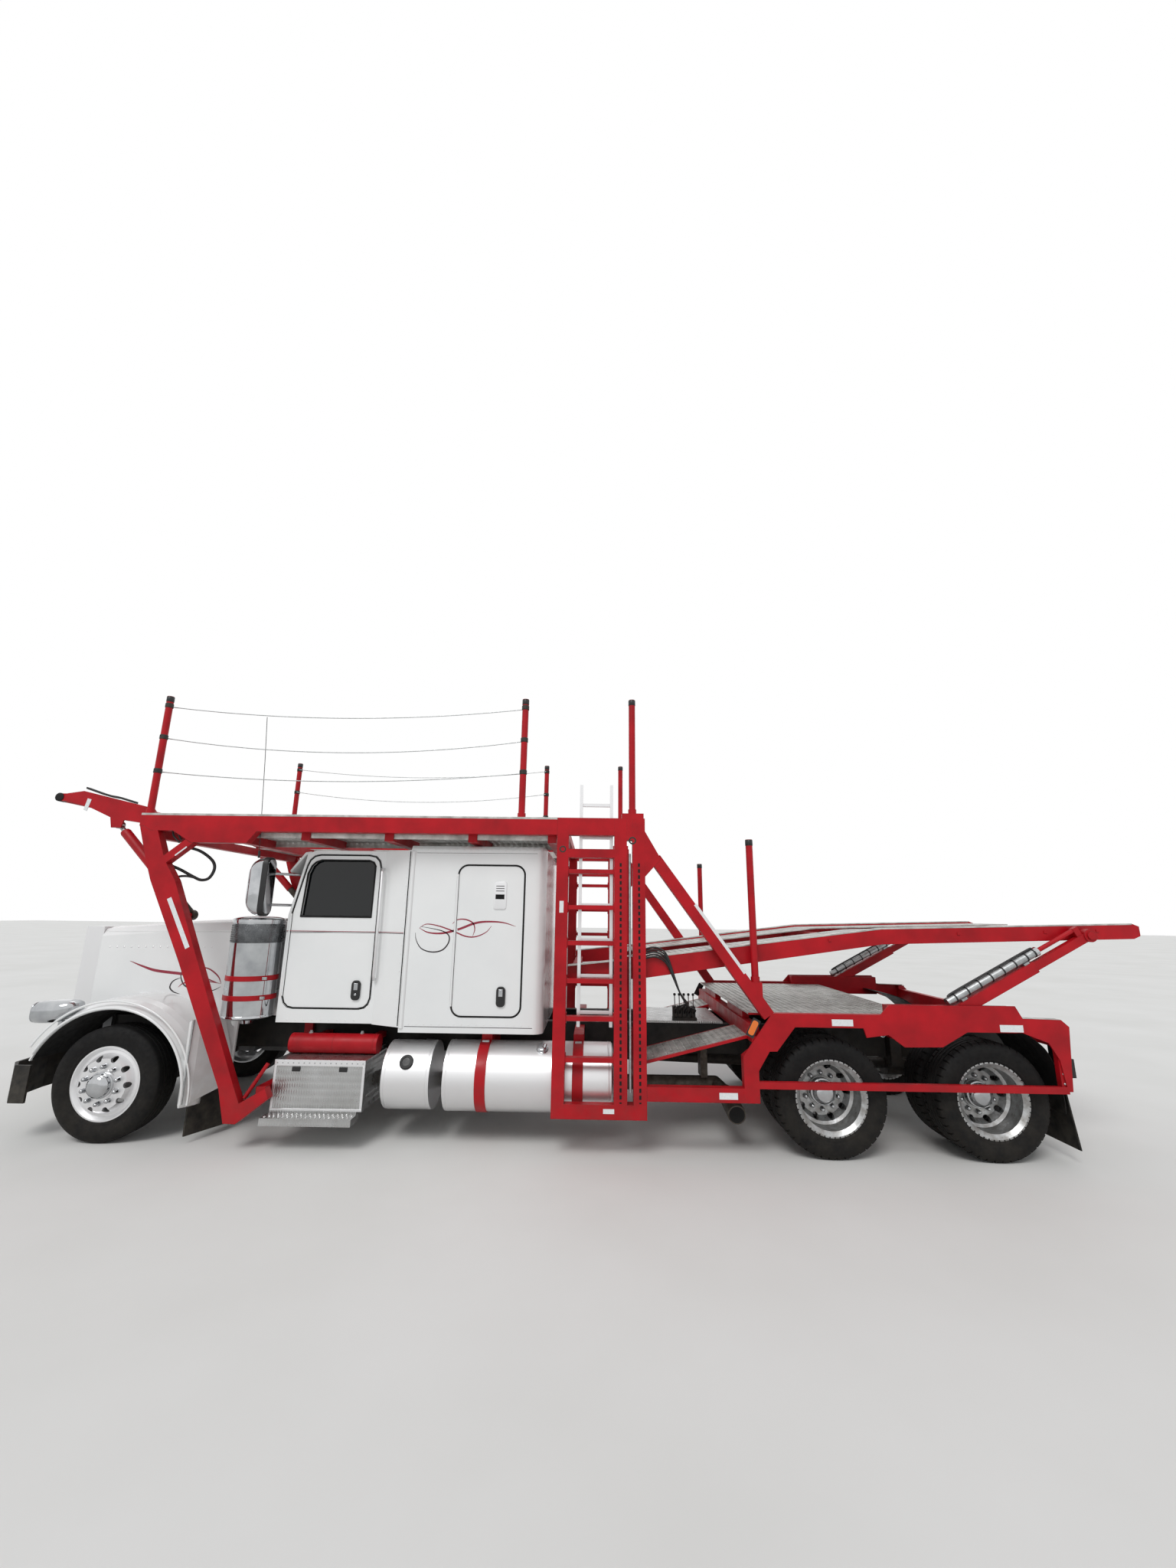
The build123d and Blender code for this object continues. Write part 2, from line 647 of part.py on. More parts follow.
def grown(points, amount):
    # The outline moved outwards from its middle by about the given amount
    cx = sum(p[0] for p in points) / len(points)
    cz = sum(p[1] for p in points) / len(points)
    moved = []
    for x, z in points:
        dx = amount if x > cx else -amount
        dz = amount if z > cz else -amount
        moved.append((x + dx, z + dz))
    return moved


CAB_SIDE = (
    (CAB_X0, CAB_Z0), (CAB_X0, 1870), (1420, 2440), (1500, CAB_ROOF_Z), (CAB_X1, CAB_ROOF_Z),
    (CAB_X1, CAB_Z0))
cab_outer = side_plate(CAB_SIDE, -CAB_HALF_W, CAB_HALF_W)
CAB_HOLLOW = (
    (CAB_X0 + WALL, CAB_Z0 + WALL), (CAB_X0 + WALL, 1870), (1420 + WALL, 2440 - WALL),
    (1500, CAB_ROOF_Z - WALL),
    (CAB_X1 + 5, CAB_ROOF_Z - WALL), (CAB_X1 + 5, CAB_Z0 + WALL))
cab_inner = side_plate(CAB_HOLLOW, -CAB_HALF_W + DOOR_T, CAB_HALF_W - DOOR_T)
CAB_HINGE = (DOOR_X0 - 2, CAB_HALF_W + 2, 1190.0, 1860.0)
screen_hole = side_plate(
    ((CAB_X0 - 20, 1900), (CAB_X0 + 80, 1900), (1420 + 60, 2390), (1380, 2390)), 45, CAB_HALF_W - 90)
door_hole = side_plate(grown(DOOR_OUTLINE, DOOR_GAP), CAB_HALF_W - DOOR_T - 2, CAB_HALF_W + 5)
cab_shell = cab_outer - cab_inner
for cut in (screen_hole, door_hole, hinge_groove(*CAB_HINGE)):
    cab_shell = cab_shell - cut - mirror_y(cut)
cab_shell = fuse(cab_shell, hinge_pin(*CAB_HINGE), mirror_y(hinge_pin(*CAB_HINGE)))
# Panels that widen from the cab to the sleeper
FLARE = (
    (CAB_X1, CAB_HALF_W - 60), (CAB_X1, CAB_HALF_W), (SLEEPER_X0 - REST_GAP, SLEEPER_HALF_W),
    (SLEEPER_X0 - REST_GAP, SLEEPER_HALF_W - 60),
)
BRIDGE_Y = CAB_HALF_W - 60
flare = flat_plate(FLARE, SLEEPER_Z0 + 40, CAB_ROOF_Z)
bridge_floor = box(CAB_X1, SLEEPER_X0 - REST_GAP, -BRIDGE_Y, BRIDGE_Y, CAB_Z0, CAB_Z0 + WALL)
bridge_roof = box(CAB_X1, SLEEPER_X0 - REST_GAP, -BRIDGE_Y, BRIDGE_Y, CAB_ROOF_Z - WALL, CAB_ROOF_Z)
BRIDGE_X1 = SLEEPER_X0 - REST_GAP
SIDE_FLOOR = (
    (CAB_X1, CAB_HALF_W - 61), (BRIDGE_X1, CAB_HALF_W - 61),
    (BRIDGE_X1, SLEEPER_HALF_W - 30), (CAB_X1, CAB_HALF_W - 30),
)
side_floor = flat_plate(SIDE_FLOOR, CAB_Z0, CAB_Z0 + WALL)
side_roof = Pos(0, 0, CAB_ROOF_Z - WALL - CAB_Z0) * side_floor
cowl_front = HOOD_X1 + COWL_GAP
cowl = hood_section(cowl_front, 738, 960, 1845, 130, 0)
cowl = extrude(cowl, CAB_X0 - cowl_front)
cowl_hollow = box(cowl_front - 1, CAB_X0 - 30, -690, 690, 930, 1760)
cab_mounts = [
    box(x - 60, x + 60, s * 350, s * 420, RAIL_Z1, CAB_Z0 + 5) for x in (1400, 2050) for s in (LEFT, RIGHT)
]
VISOR = ((1265, 2262), (1256, 2280), (1385, 2452), (1440, 2462), (1440, 2445), (1395, 2430))
visor = side_plate(VISOR, -CAB_HALF_W + 20, CAB_HALF_W - 20)
cab_body = fuse(
    cab_shell, visor, flare, mirror_y(flare), bridge_floor, bridge_roof, side_floor, mirror_y(side_floor),
    side_roof,
    mirror_y(side_roof), cowl - cowl_hollow, *cab_mounts)
write("cab_shell", [cab_body])

SCREEN_OUTLINE = ((CAB_X0 + 12, 1900.3), (CAB_X0 + 26, 1900.3), (1417, 2389.7), (1403, 2389.7))
screen = side_plate(SCREEN_OUTLINE, 45 + REST_GAP, CAB_HALF_W - 90 - REST_GAP)
write("windscreen", both(screen))


def cab_door(side):
    panel = side_plate(DOOR_OUTLINE, CAB_HALF_W - DOOR_T, CAB_HALF_W)
    window = side_plate(WINDOW_OUTLINE, CAB_HALF_W - DOOR_T - 1, CAB_HALF_W + 1)
    for notch in lug_notches(*CAB_HINGE):
        panel = panel - notch
    handle = box(1960, 2030, CAB_HALF_W, CAB_HALF_W + 14, 1150, 1290)
    return on_side(fuse(panel - window, handle, hinge_barrel(*CAB_HINGE)) - hinge_bore(*CAB_HINGE), side)


def cab_glass(side):
    pane = side_plate(grown(WINDOW_OUTLINE, -REST_GAP), CAB_HALF_W - 34, CAB_HALF_W - 28)
    return on_side(pane, side)


# Sleeper with its two doors
SDOOR_X0 = 2885.0
SDOOR_X1 = 3495.0
SDOOR_Z0 = 1030.0
SDOOR_Z1 = 2340.0
SDOOR_T = 50.0


def rounded_side(x0, x1, z0, z1, radius, y0, y1):
    width = x1 - x0
    height = z1 - z0
    face = Plane.XZ * RectangleRounded(width, height, radius)
    low = min(y0, y1)
    return Pos((x0 + x1) / 2, low, (z0 + z1) / 2) * extrude(face, -abs(y1 - y0))


sleeper_outer = box(SLEEPER_X0, SLEEPER_X1, -SLEEPER_HALF_W, SLEEPER_HALF_W, SLEEPER_Z0, SLEEPER_Z1)
rear_edges = sleeper_outer.edges().filter_by(Axis.Z).group_by(Axis.X)[-1]
sleeper_outer = fillet(rear_edges, 90)
roof_edges = sleeper_outer.faces().sort_by(Axis.Z)[-1].edges().filter_by(Axis.X)
sleeper_outer = fillet(roof_edges, 45)
sleeper_inner = box(
    SLEEPER_X0 - 5, SLEEPER_X1 - WALL, -SLEEPER_HALF_W + SDOOR_T, SLEEPER_HALF_W - SDOOR_T,
    SLEEPER_Z0 + WALL, SLEEPER_Z1 - WALL)
sdoor_hole = rounded_side(
    SDOOR_X0 - DOOR_GAP, SDOOR_X1 + DOOR_GAP, SDOOR_Z0 - DOOR_GAP, SDOOR_Z1 + DOOR_GAP, 96,
    SLEEPER_HALF_W - SDOOR_T - 2, SLEEPER_HALF_W + 5)
SLEEPER_HINGE = (SDOOR_X0 - 2, SLEEPER_HALF_W + 2, SDOOR_Z0 + 110, SDOOR_Z1 - 110)
sleeper = sleeper_outer - sleeper_inner
for cut in (sdoor_hole, hinge_groove(*SLEEPER_HINGE)):
    sleeper = sleeper - cut - mirror_y(cut)
sleeper = fuse(sleeper, hinge_pin(*SLEEPER_HINGE), mirror_y(hinge_pin(*SLEEPER_HINGE)))
write("sleeper_shell", [sleeper])


def sleeper_door(side):
    panel = rounded_side(
        SDOOR_X0, SDOOR_X1, SDOOR_Z0, SDOOR_Z1, 90, SLEEPER_HALF_W - SDOOR_T, SLEEPER_HALF_W)
    for notch in lug_notches(*SLEEPER_HINGE):
        panel = panel - notch
    handle = box(3285, 3350, SLEEPER_HALF_W, SLEEPER_HALF_W + 12, 1125, 1275)
    return on_side(fuse(panel, handle, hinge_barrel(*SLEEPER_HINGE)) - hinge_bore(*SLEEPER_HINGE), side)


for name, side in SIDES:
    write("cab_door_" + name, [cab_door(side)])
    write("cab_glass_" + name, [cab_glass(side)])
    write("sleeper_door_" + name, [sleeper_door(side)])

# Dashboard with column and wheel, seats and bunk
CAB_FLOOR_Z = CAB_Z0 + WALL
dash = side_plate(
    ((CAB_X0 + WALL, 1480), (CAB_X0 + WALL, 1840), (1480, 1860), (1600, 1780), (1560, 1500)), -870, 870)
column = rod((1540, -430, 1650), (1690, -430, 1790), 30)
hub_point = (1690, -430, 1790)
wheel_plane = Plane(origin=hub_point, z_dir=(150, 0, 140))
steering_ring = wheel_plane * Torus(215, 16)
spokes = extrude(wheel_plane * Rectangle(410, 36), 12)
write("dashboard", [fuse(dash, column, steering_ring, spokes)])


def seat(y):
    base = box(1740, 2060, y - 170, y + 170, CAB_FLOOR_Z, 1290)
    cushion = box(1690, 2150, y - 240, y + 240, 1290, 1420)
    back = side_plate(((2060, 1420), (2150, 1420), (2240, 2120), (2140, 2130)), y - 230, y + 230)
    return fuse(base, cushion, back)


bunk = box(
    2760, SLEEPER_X1 - WALL, -SLEEPER_HALF_W + SDOOR_T + 5, SLEEPER_HALF_W - SDOOR_T - 5,
    SLEEPER_Z0 + WALL, 1500)
write("seats", [seat(-430), seat(430), bunk])


# Mirrors on brackets from the windscreen pillars
def mirror_head():
    head = flat_plate(
        [(1010, 1150), (1080, 1090), (1190, 1085), (1200, 1240), (1090, 1240), (1015, 1200)], 1860, 2380)
    arms = [rod((1180, 1100, z), (x, 890, z), 12) for x, z in ((1330, 1960), (1395, 2240))]
    keep_clear = Pos(-REST_GAP, 0, 0) * cab_outer
    return [head] + [arm - keep_clear - head for arm in arms]


write("mirrors", both(*mirror_head()))

# Air cleaners beside the cowl
DRUM_X = 1040.0
DRUM_Y = 968.0
DRUM_R = 212.0
DRUM_Z0 = 1000.0
DRUM_Z1 = 1832.0
drum = rod((DRUM_X, DRUM_Y, DRUM_Z0), (DRUM_X, DRUM_Y, DRUM_Z1), DRUM_R)
drum_arms = [box(1150, 1240, 738 + REST_GAP, 900, z - 20, z + 20) for z in (1180, 1640)]
write("air_cleaners", both(fuse(drum, *drum_arms)))

# Tanks, steps and exhaust
TANK_Y = 915.0
TANK_Z = 527.0
TANK_R = 282.0
TANK_X0 = 2870.0
TANK_X1 = 4285.0
SHORT_X0 = 2355.0
SHORT_X1 = 2755.0
tank = rod((TANK_X0, TANK_Y, TANK_Z), (TANK_X1, TANK_Y, TANK_Z), TANK_R)
short_tank = rod((SHORT_X0, TANK_Y, TANK_Z), (SHORT_X1, TANK_Y, TANK_Z), TANK_R - 8)
short_arm = box(2520, 2590, ARM_IN_Y, 720, 640, 720)
write("fuel_tanks", both(tank, short_tank + short_arm))

STRAP_T = 6.0
STRAP_W = 90.0


def tank_strap(x):
    band = pipe(
        (x - STRAP_W / 2, TANK_Y, TANK_Z), (x + STRAP_W / 2, TANK_Y, TANK_Z), TANK_R + REST_GAP + STRAP_T,
        TANK_R + REST_GAP)
    bracket = box(
        x - STRAP_W / 2, x + STRAP_W / 2, RAIL_OUT_Y + REST_GAP, TANK_Y, TANK_Z + 180,
        TANK_Z + TANK_R + 60)
    clear = rod((x - STRAP_W, TANK_Y, TANK_Z), (x + STRAP_W, TANK_Y, TANK_Z), TANK_R + REST_GAP)
    return band + (bracket - clear)


write("tank_straps", both(tank_strap(3185), tank_strap(4000)))

box_body = box(1430, 2205, 640, 1150, 280, 675)
box_arms = [box(x, x + 80, RAIL_OUT_Y + REST_GAP, 641, 560, 675) for x in (1500, 2050)]
tread = box(1420, 2170, 1150, 1282, 205, 262)
tread_back = box(1430, 2160, 1100, 1150, 205, 280)
write("step_boxes", both(fuse(box_body, tread, tread_back, *box_arms)))

AIR_TANK_R = 82.0
air_tank = rod((1440, 900, 762), (2222, 900, 762), AIR_TANK_R)
air_feet = [box(x, x + 60, RAIL_OUT_Y + REST_GAP, 900, 762 - 25, 762 + 25) for x in (1540, 2060)]
write("air_tanks", both(fuse(air_tank, *air_feet)))

EXHAUST_R = 64.0
EXHAUST_TIP_R = 75.0
EXHAUST_X = aft(5330.0)
exhaust_run = rod((1900, -560, 400), (EXHAUST_X - 70, -560, 400), EXHAUST_R)
exhaust_turn = rod((EXHAUST_X - 70, -560, 400), (EXHAUST_X, -700, 350), EXHAUST_R)
exhaust_tip = rod((EXHAUST_X, -700, 350), (EXHAUST_X, -1120, 300), EXHAUST_TIP_R)
exhaust_knee = Pos(EXHAUST_X - 70, -560, 400) * Sphere(EXHAUST_R)
exhaust_knee_2 = Pos(EXHAUST_X, -700, 350) * Sphere(EXHAUST_TIP_R)
exhaust_hanger = box(EXHAUST_X - 200, EXHAUST_X - 140, -600, -RAIL_OUT_Y - REST_GAP, 455, 760)
write(
    "exhaust",
    [fuse(exhaust_run, exhaust_turn, exhaust_tip, exhaust_knee, exhaust_knee_2, exhaust_hanger)])


# Top rails and deck over the cab
TOP_RAIL_END_X = POST_X0 - REST_GAP
# Columns: x, z of the rail's outline with its deeper belly at the front
TOP_RAIL = (
    (130, TOP_RAIL_Z0), (330, TOP_RAIL_Z0), (510, 2495), (1010, 2495), (1090, TOP_RAIL_Z0),
    (TOP_RAIL_END_X, TOP_RAIL_Z0), (TOP_RAIL_END_X, TOP_RAIL_Z1), (20, TOP_RAIL_Z1), (20, 2640), (60, 2640),
)
top_rail = side_plate(TOP_RAIL, SIDE_IN_Y, SIDE_OUT_Y)
TOP_CROSS_XS = (150.0, 760.0, 1500.0, 2260.0, 3020.0, 3740.0)
TOP_CROSS_Z0 = 2535.0
TOP_CROSS_Z1 = 2615.0
top_cross = [box(x - 40, x + 40, -SIDE_IN_Y, SIDE_IN_Y, TOP_CROSS_Z0, TOP_CROSS_Z1) for x in TOP_CROSS_XS]
top_cross_ends = [
    box(x - 40, x + 40, s * (SIDE_IN_Y - 12), s * SIDE_IN_Y, TOP_CROSS_Z1, 2700)
    for x in TOP_CROSS_XS for s in (LEFT, RIGHT)
]
nose_pin = disc_y(NOSE_PIVOT_X, NOSE_PIVOT_Z, NOSE_IN_Y - 5, SIDE_IN_Y + 5, NOSE_PIN_R)
write("top_rails", both(fuse(top_rail, nose_pin)) + top_cross + top_cross_ends)

RUNWAY_IN_Y = 420.0
RUNWAY_T = 12.0
top_deck = box(110, 3785, RUNWAY_IN_Y, SIDE_IN_Y - 12 - REST_GAP, TOP_CROSS_Z1, TOP_CROSS_Z1 + RUNWAY_T)
write("top_deck", both(top_deck))

# Front legs with their braces and outriggers
LEG_TOP_Z = TOP_RAIL_Z0 - REST_GAP
# Columns: x, z of the leg from the rail down to its hooked foot and back up
LEG = (
    (25, LEG_TOP_Z + 40), (60, LEG_TOP_Z + 40), (130, LEG_TOP_Z), (195, LEG_TOP_Z), (300, 2340),
    (425, 2158),
    (725, 1498), (1167, 545), (1250, 372), (1448, 487), (1484, 411), (1240, 219), (1139, 222), (1066, 481),
    (567, 1479), (206, 2156), (130, 2340),
)
# The short brace is cut off where the rail's belly and the leg begin
BRACE_ROOM = ((200, 2150), (500, 2150), (700, 2494), (506, 2494), (332, 2599), (200, 2599))
leg = side_plate(LEG, SIDE_IN_Y, SIDE_OUT_Y)
leg_brace = bar((560, 2560), (250, 2300), 70, SIDE_IN_Y, SIDE_OUT_Y)
leg_brace = leg_brace & side_plate(BRACE_ROOM, SIDE_IN_Y - 1, SIDE_OUT_Y + 1)
outrigger = box(1335, 1415, RAIL_OUT_Y + REST_GAP, SIDE_IN_Y + 1, 400, 480)
outrigger_up = box(1335, 1415, RAIL_OUT_Y + REST_GAP, RAIL_OUT_Y + 40, 400, RAIL_Z1 - 40)
nose_base_pin = disc_y(NOSE_BASE_X, NOSE_BASE_Z, NOSE_IN_Y - 5, SIDE_IN_Y + 5, NOSE_BASE_PIN_R)
write("front_legs", both(fuse(leg, leg_brace, outrigger, outrigger_up, nose_base_pin)))

# Towers with rungs, column groove and slide block
tower_parts = [
    box(POST_X0, POST_X0 + POST_W, TOWER_IN_Y, SIDE_OUT_Y, TOWER_Z0, TOP_RAIL_Z1),
    box(COLUMN_X0, GROOVE_X0, TOWER_IN_Y, SIDE_OUT_Y, TOWER_Z0, TOWER_Z1 - 45),
    box(GROOVE_X1, COLUMN_X1, TOWER_IN_Y, SIDE_OUT_Y, TOWER_Z0, TOWER_Z1 - 45),
    box(POST_X0 + POST_W, COLUMN_X0, SIDE_IN_Y, SIDE_OUT_Y, TOP_RAIL_Z0, TOP_RAIL_Z1),
    box(POST_X0 + POST_W, COLUMN_X0, SIDE_IN_Y, SIDE_OUT_Y, 2400, 2477),
    box(POST_X0 + POST_W, COLUMN_X0, SIDE_IN_Y, SIDE_OUT_Y, TOWER_Z0, 410),
    box(GROOVE_X0, GROOVE_X1, TOWER_IN_Y, SIDE_OUT_Y, TOWER_Z0, 410),
    box(4365, 4560, TOWER_IN_Y, SIDE_OUT_Y, TOWER_Z1 - 45, TOWER_Z1),
    box(GROOVE_X0, GROOVE_X1, TOWER_IN_Y, SIDE_OUT_Y, 2560, TOWER_Z1 - 45),
    side_plate(((COLUMN_X1, 2640), (4710, 2395), (COLUMN_X1, 2240)), SIDE_IN_Y, SIDE_OUT_Y),
]
RUNG_ZS = (2280.0, 1970.0, 1670.0, 1360.0, 1060.0, 740.0)
RUNG_H = 38.0
for rung_z in RUNG_ZS:
    tower_parts.append(
        box(
            POST_X0 + POST_W, COLUMN_X0, SIDE_IN_Y, SIDE_OUT_Y - 10, rung_z - RUNG_H / 2,
            rung_z + RUNG_H / 2))
slide_bore = disc_y(DECK_PIVOT_X, DECK_PIVOT_Z, TOWER_IN_Y, TOWER_IN_Y + 70, DECK_PIN_R + RUNNING_GAP)
slide_block = box(
    GROOVE_X0, GROOVE_X1, TOWER_IN_Y + 10, TOWER_IN_Y + 60, DECK_PIVOT_Z - 90, DECK_PIVOT_Z + 90)
tower_parts.append(slide_block - slide_bore)
FOOT_X0 = 4480.0
FOOT_X1 = 4560.0
tower_parts += [
    box(FOOT_X0, FOOT_X1, ARM_IN_Y, TOWER_IN_Y, 485, 555),
    box(FOOT_X0, FOOT_X1, ARM_IN_Y, ARM_IN_Y + 50, 555, RAIL_Z1 - 40),
]
tower_cross = box(3800, 3880, -TOWER_IN_Y, TOWER_IN_Y, 2620, 2700)
write("towers", both(*tower_parts) + [tower_cross])

# Rear side frames with braces, boxes and wheel guards
UPRIGHT_X0 = aft(5360.0)
UPRIGHT_X1 = aft(5483.0)
PANEL_IN_Y = 1285.0
# Columns: x, z of the panel that arches over both drive wheels
ARCH_PANEL = (
    (5360, 440), (5483, 440), (5483, 682), (5578, 831), (5641, 833), (5797, 1022), (6360, 1022),
    (6381, 949), (6561, 972), (6685, 880), (6994, 885), (7208, 1003), (7657, 1005), (7860, 930),
    (7930, 800), (7960, 565), (7998, 565), (8045, 1057), (7987, 1110), (7674, 1116), (7625, 1212),
    (6584, 1206), (6510, SIDE_RAIL_TOP_Z), (5611, SIDE_RAIL_TOP_Z), (5565, 1060), (5360, 790),
)
UPRIGHT = ((5360, 440), (5483, 440), (5483, 682), (5578, 831), (5500, 900), (5360, 790))
arch_panel = side_plate(aft_points(ARCH_PANEL), PANEL_IN_Y, SIDE_OUT_Y)
upright = side_plate(aft_points(UPRIGHT), SIDE_IN_Y, PANEL_IN_Y + 1)
side_rail = box(aft(5611), aft(6600), 1235, PANEL_IN_Y + 1, 1022, SIDE_RAIL_TOP_Z)
SIDE_BOX_X0 = aft(6584.0)
SIDE_BOX_X1 = aft(7625.0)
box_back = box(SIDE_BOX_X0, SIDE_BOX_X1, 1180, 1192, 1005, 1200)
box_floor = box(SIDE_BOX_X0, SIDE_BOX_X1, 1180, PANEL_IN_Y + 1, 1000, 1012)
box_ends = [box(x, x + 12, 1180, PANEL_IN_Y + 1, 1000, 1200) for x in (SIDE_BOX_X0, SIDE_BOX_X1 - 12)]
strut_pin = disc_y(STRUT_BASE_X, STRUT_BASE_Z, 1185, 1290, STRUT_PIN_R)
guard_bar = box(UPRIGHT_X1 - 3, aft(7970), 1262, SIDE_OUT_Y, 547, 601)
tail_post = box(aft(7925), aft(7995), 1235, PANEL_IN_Y + 1, 565, 1100)
beam_end = box(aft(5440), aft(5520), SIDE_IN_Y - 30, PANEL_IN_Y + 1, RAIL_Z1 + REST_GAP, 945)
tail_end = box(aft(7925), aft(7985), SIDE_IN_Y - 30, 1236, RAIL_Z1 + REST_GAP, 1060)
rear_frame = fuse(
    arch_panel, upright, side_rail, box_back, box_floor, *box_ends, strut_pin, guard_bar, tail_post,
    beam_end, tail_end)
cross_beams = [
    box(aft(5440), aft(5520), -SIDE_IN_Y, SIDE_IN_Y, RAIL_Z1 + REST_GAP, 1030),
    box(aft(6715), aft(6795), -1181, 1181, RAIL_Z1 + REST_GAP, 1030),
    box(aft(7925), aft(7985), -SIDE_IN_Y, SIDE_IN_Y, RAIL_Z1 + REST_GAP, 1060),
]
rear_frames = fuse(rear_frame, mirror_y(rear_frame), *cross_beams)
low_rail = box(COLUMN_X1 + REST_GAP, UPRIGHT_X0, SIDE_IN_Y, SIDE_OUT_Y, 440, 549)
# Diagonal brace with the pad of the rear stake; it ends face to face on the gusset and the frame
BRACE_TOP_X = 4660.0
BRACE_TOP_Z = 2402.0
BRACE_FOOT_X = aft(5590.0)
BRACE_FOOT_Z = 1105.0
BRACE_DEPTH = 100.0
STAKE_R = 30.0
REAR_STAKE_X = aft(5497.0)


def brace_line(x):
    # Height of the brace's middle at x
    slope = (BRACE_FOOT_Z - BRACE_TOP_Z) / (BRACE_FOOT_X - BRACE_TOP_X)
    return BRACE_TOP_Z + slope * (x - BRACE_TOP_X)


brace_run = BRACE_FOOT_X - BRACE_TOP_X
brace_len = math.hypot(brace_run, BRACE_TOP_Z - BRACE_FOOT_Z)
BRACE_RISE = BRACE_DEPTH / 2 * brace_len / brace_run
REAR_STAKE_Z = brace_line(REAR_STAKE_X - STAKE_R) + BRACE_RISE + 10
PAD_X0 = REAR_STAKE_X - 42
PAD_X1 = REAR_STAKE_X + 48
GUSSET_CUT = ((4400, 2900), (COLUMN_X1, 2640), (4711, 2396), (COLUMN_X1, 2240), (4400, 2000))
STAKE_PAD = (
    (PAD_X0, REAR_STAKE_Z), (PAD_X1, REAR_STAKE_Z),
    (PAD_X1, brace_line(PAD_X1)), (PAD_X0, brace_line(PAD_X0)),
)
brace = bar((BRACE_TOP_X, BRACE_TOP_Z), (BRACE_FOOT_X, BRACE_FOOT_Z), BRACE_DEPTH, SIDE_IN_Y, SIDE_OUT_Y)
stake_pad = side_plate(STAKE_PAD, SIDE_IN_Y, SIDE_OUT_Y)
gusset_cut = side_plate(GUSSET_CUT, SIDE_IN_Y - 1, SIDE_OUT_Y + 1)
brace = fuse(brace, stake_pad) - gusset_cut - rear_frame
write("side_frames", [rear_frames] + both(low_rail, brace))

# Deck over the axles and the wheel ramps ahead of it
deck_feet = [
    box(x, x + 60, s * 300, s * 900, 1030 + REST_GAP, 1096)
    for x in (aft(5460), aft(6725)) for s in (LEFT, RIGHT)
]
deck_sheet = box(aft(5450), aft(6900), -1178, 1178, 1095, 1110)
RAMP_END_X = aft(5440.0) - REST_GAP
RAMP_OUTLINE = ((4490, 666), (4490, 690), (RAMP_END_X, 927), (RAMP_END_X, 903))
ramp_sheet = side_plate(RAMP_OUTLINE, 620, 1150)
ramp_legs = [box(4490, 4550, y, y + 50, 555 + REST_GAP, 676) for y in (640, 1080)]
ramp = fuse(ramp_sheet, *ramp_legs)
catwalk = box(4600, aft(5380), -RAIL_OUT_Y, RAIL_OUT_Y, RAIL_Z1 + REST_GAP, RAIL_Z1 + 22)
write("over_axle_deck", [fuse(deck_sheet, *deck_feet), catwalk, ramp, mirror_y(ramp)])

# Stakes
# Columns: x, foot z, top z
STAKES = (
    (70.0, TOP_RAIL_Z1, 3885.0), (3460.0, TOP_RAIL_Z1, 3885.0), (4460.0, TOWER_Z1, 3885.0),
    (REAR_STAKE_X, REAR_STAKE_Z, 2580.0))
stake_set = [rod((x, 1262, z0 + REST_GAP), (x, 1262, z1), STAKE_R) for x, z0, z1 in STAKES]
write("stakes", both(*stake_set))


# Rear deck that tilts on the tower columns
DECK_BREAK_X = aft(6640.0)
DECK_TAIL_X = REAR_END_X - 58.0
DECK_IN_Y = DECK_OUT_Y - DECK_RAIL_W
# Columns: x, z of the rail's top edge, then of its underside
DECK_TOP_LINE = (
    (3900.0, 1480.0), (4582.0, 1556.0), (DECK_BREAK_X, 1826.0), (DECK_TAIL_X, 1893.0),
    (REAR_END_X, 1870.0))
DECK_LOW_LINE = (
    (3900.0, 1330.0), (4582.0, 1384.0), (DECK_BREAK_X, 1690.0), (DECK_TAIL_X, 1764.0),
    (REAR_END_X, 1790.0))
deck_rail = side_plate(DECK_TOP_LINE + DECK_LOW_LINE[::-1], DECK_IN_Y, DECK_OUT_Y)
front_cut = box(3800, 4345, DECK_OUT_Y - 60, DECK_OUT_Y + 5, 1200, 1600)
deck_rail = deck_rail - front_cut
deck_pin = disc_y(DECK_PIVOT_X, DECK_PIVOT_Z, DECK_OUT_Y - 2, TOWER_IN_Y + 62, DECK_PIN_R)
strut_boss = disc_y(STRUT_TOP_X, STRUT_TOP_Z, DECK_OUT_Y - 2, DECK_OUT_Y + 12, 42)


def deck_underside(x):
    # Height of the rail's underside at x
    for (x0, z0), (x1, z1) in zip(DECK_LOW_LINE, DECK_LOW_LINE[1:]):
        if x <= x1:
            return z0 + (z1 - z0) * (x - x0) / (x1 - x0)
    return DECK_LOW_LINE[-1][1]


DECK_CROSS_XS = (3910.0, aft(4700.0), aft(5600.0), aft(6500.0), aft(7500.0), aft(8700.0))
deck_cross = []
for x in DECK_CROSS_XS:
    z = deck_underside(x) + 15
    deck_cross.append(box(x, x + 80, -DECK_IN_Y, DECK_IN_Y, z, z + 70))
write("deck_rails", both(fuse(deck_rail, deck_pin, strut_boss)) + deck_cross)

DECK_PLATE_OUT = DECK_IN_Y - REST_GAP
# Columns: x, z of the sheet's outline
DECK_SHEET = (
    (4400, 1500), (4400, 1512), (DECK_BREAK_X, 1800), (DECK_TAIL_X - 10, 1868), (DECK_TAIL_X - 10, 1856),
    (DECK_BREAK_X, 1788),
)
write("deck_plates", both(side_plate(DECK_SHEET, 380, DECK_PLATE_OUT)))

# Telescopic lift struts
strut_dx = STRUT_TOP_X - STRUT_BASE_X
strut_dz = STRUT_TOP_Z - STRUT_BASE_Z
STRUT_LEN = math.hypot(strut_dx, strut_dz)
strut_ux = strut_dx / STRUT_LEN
strut_uz = strut_dz / STRUT_LEN


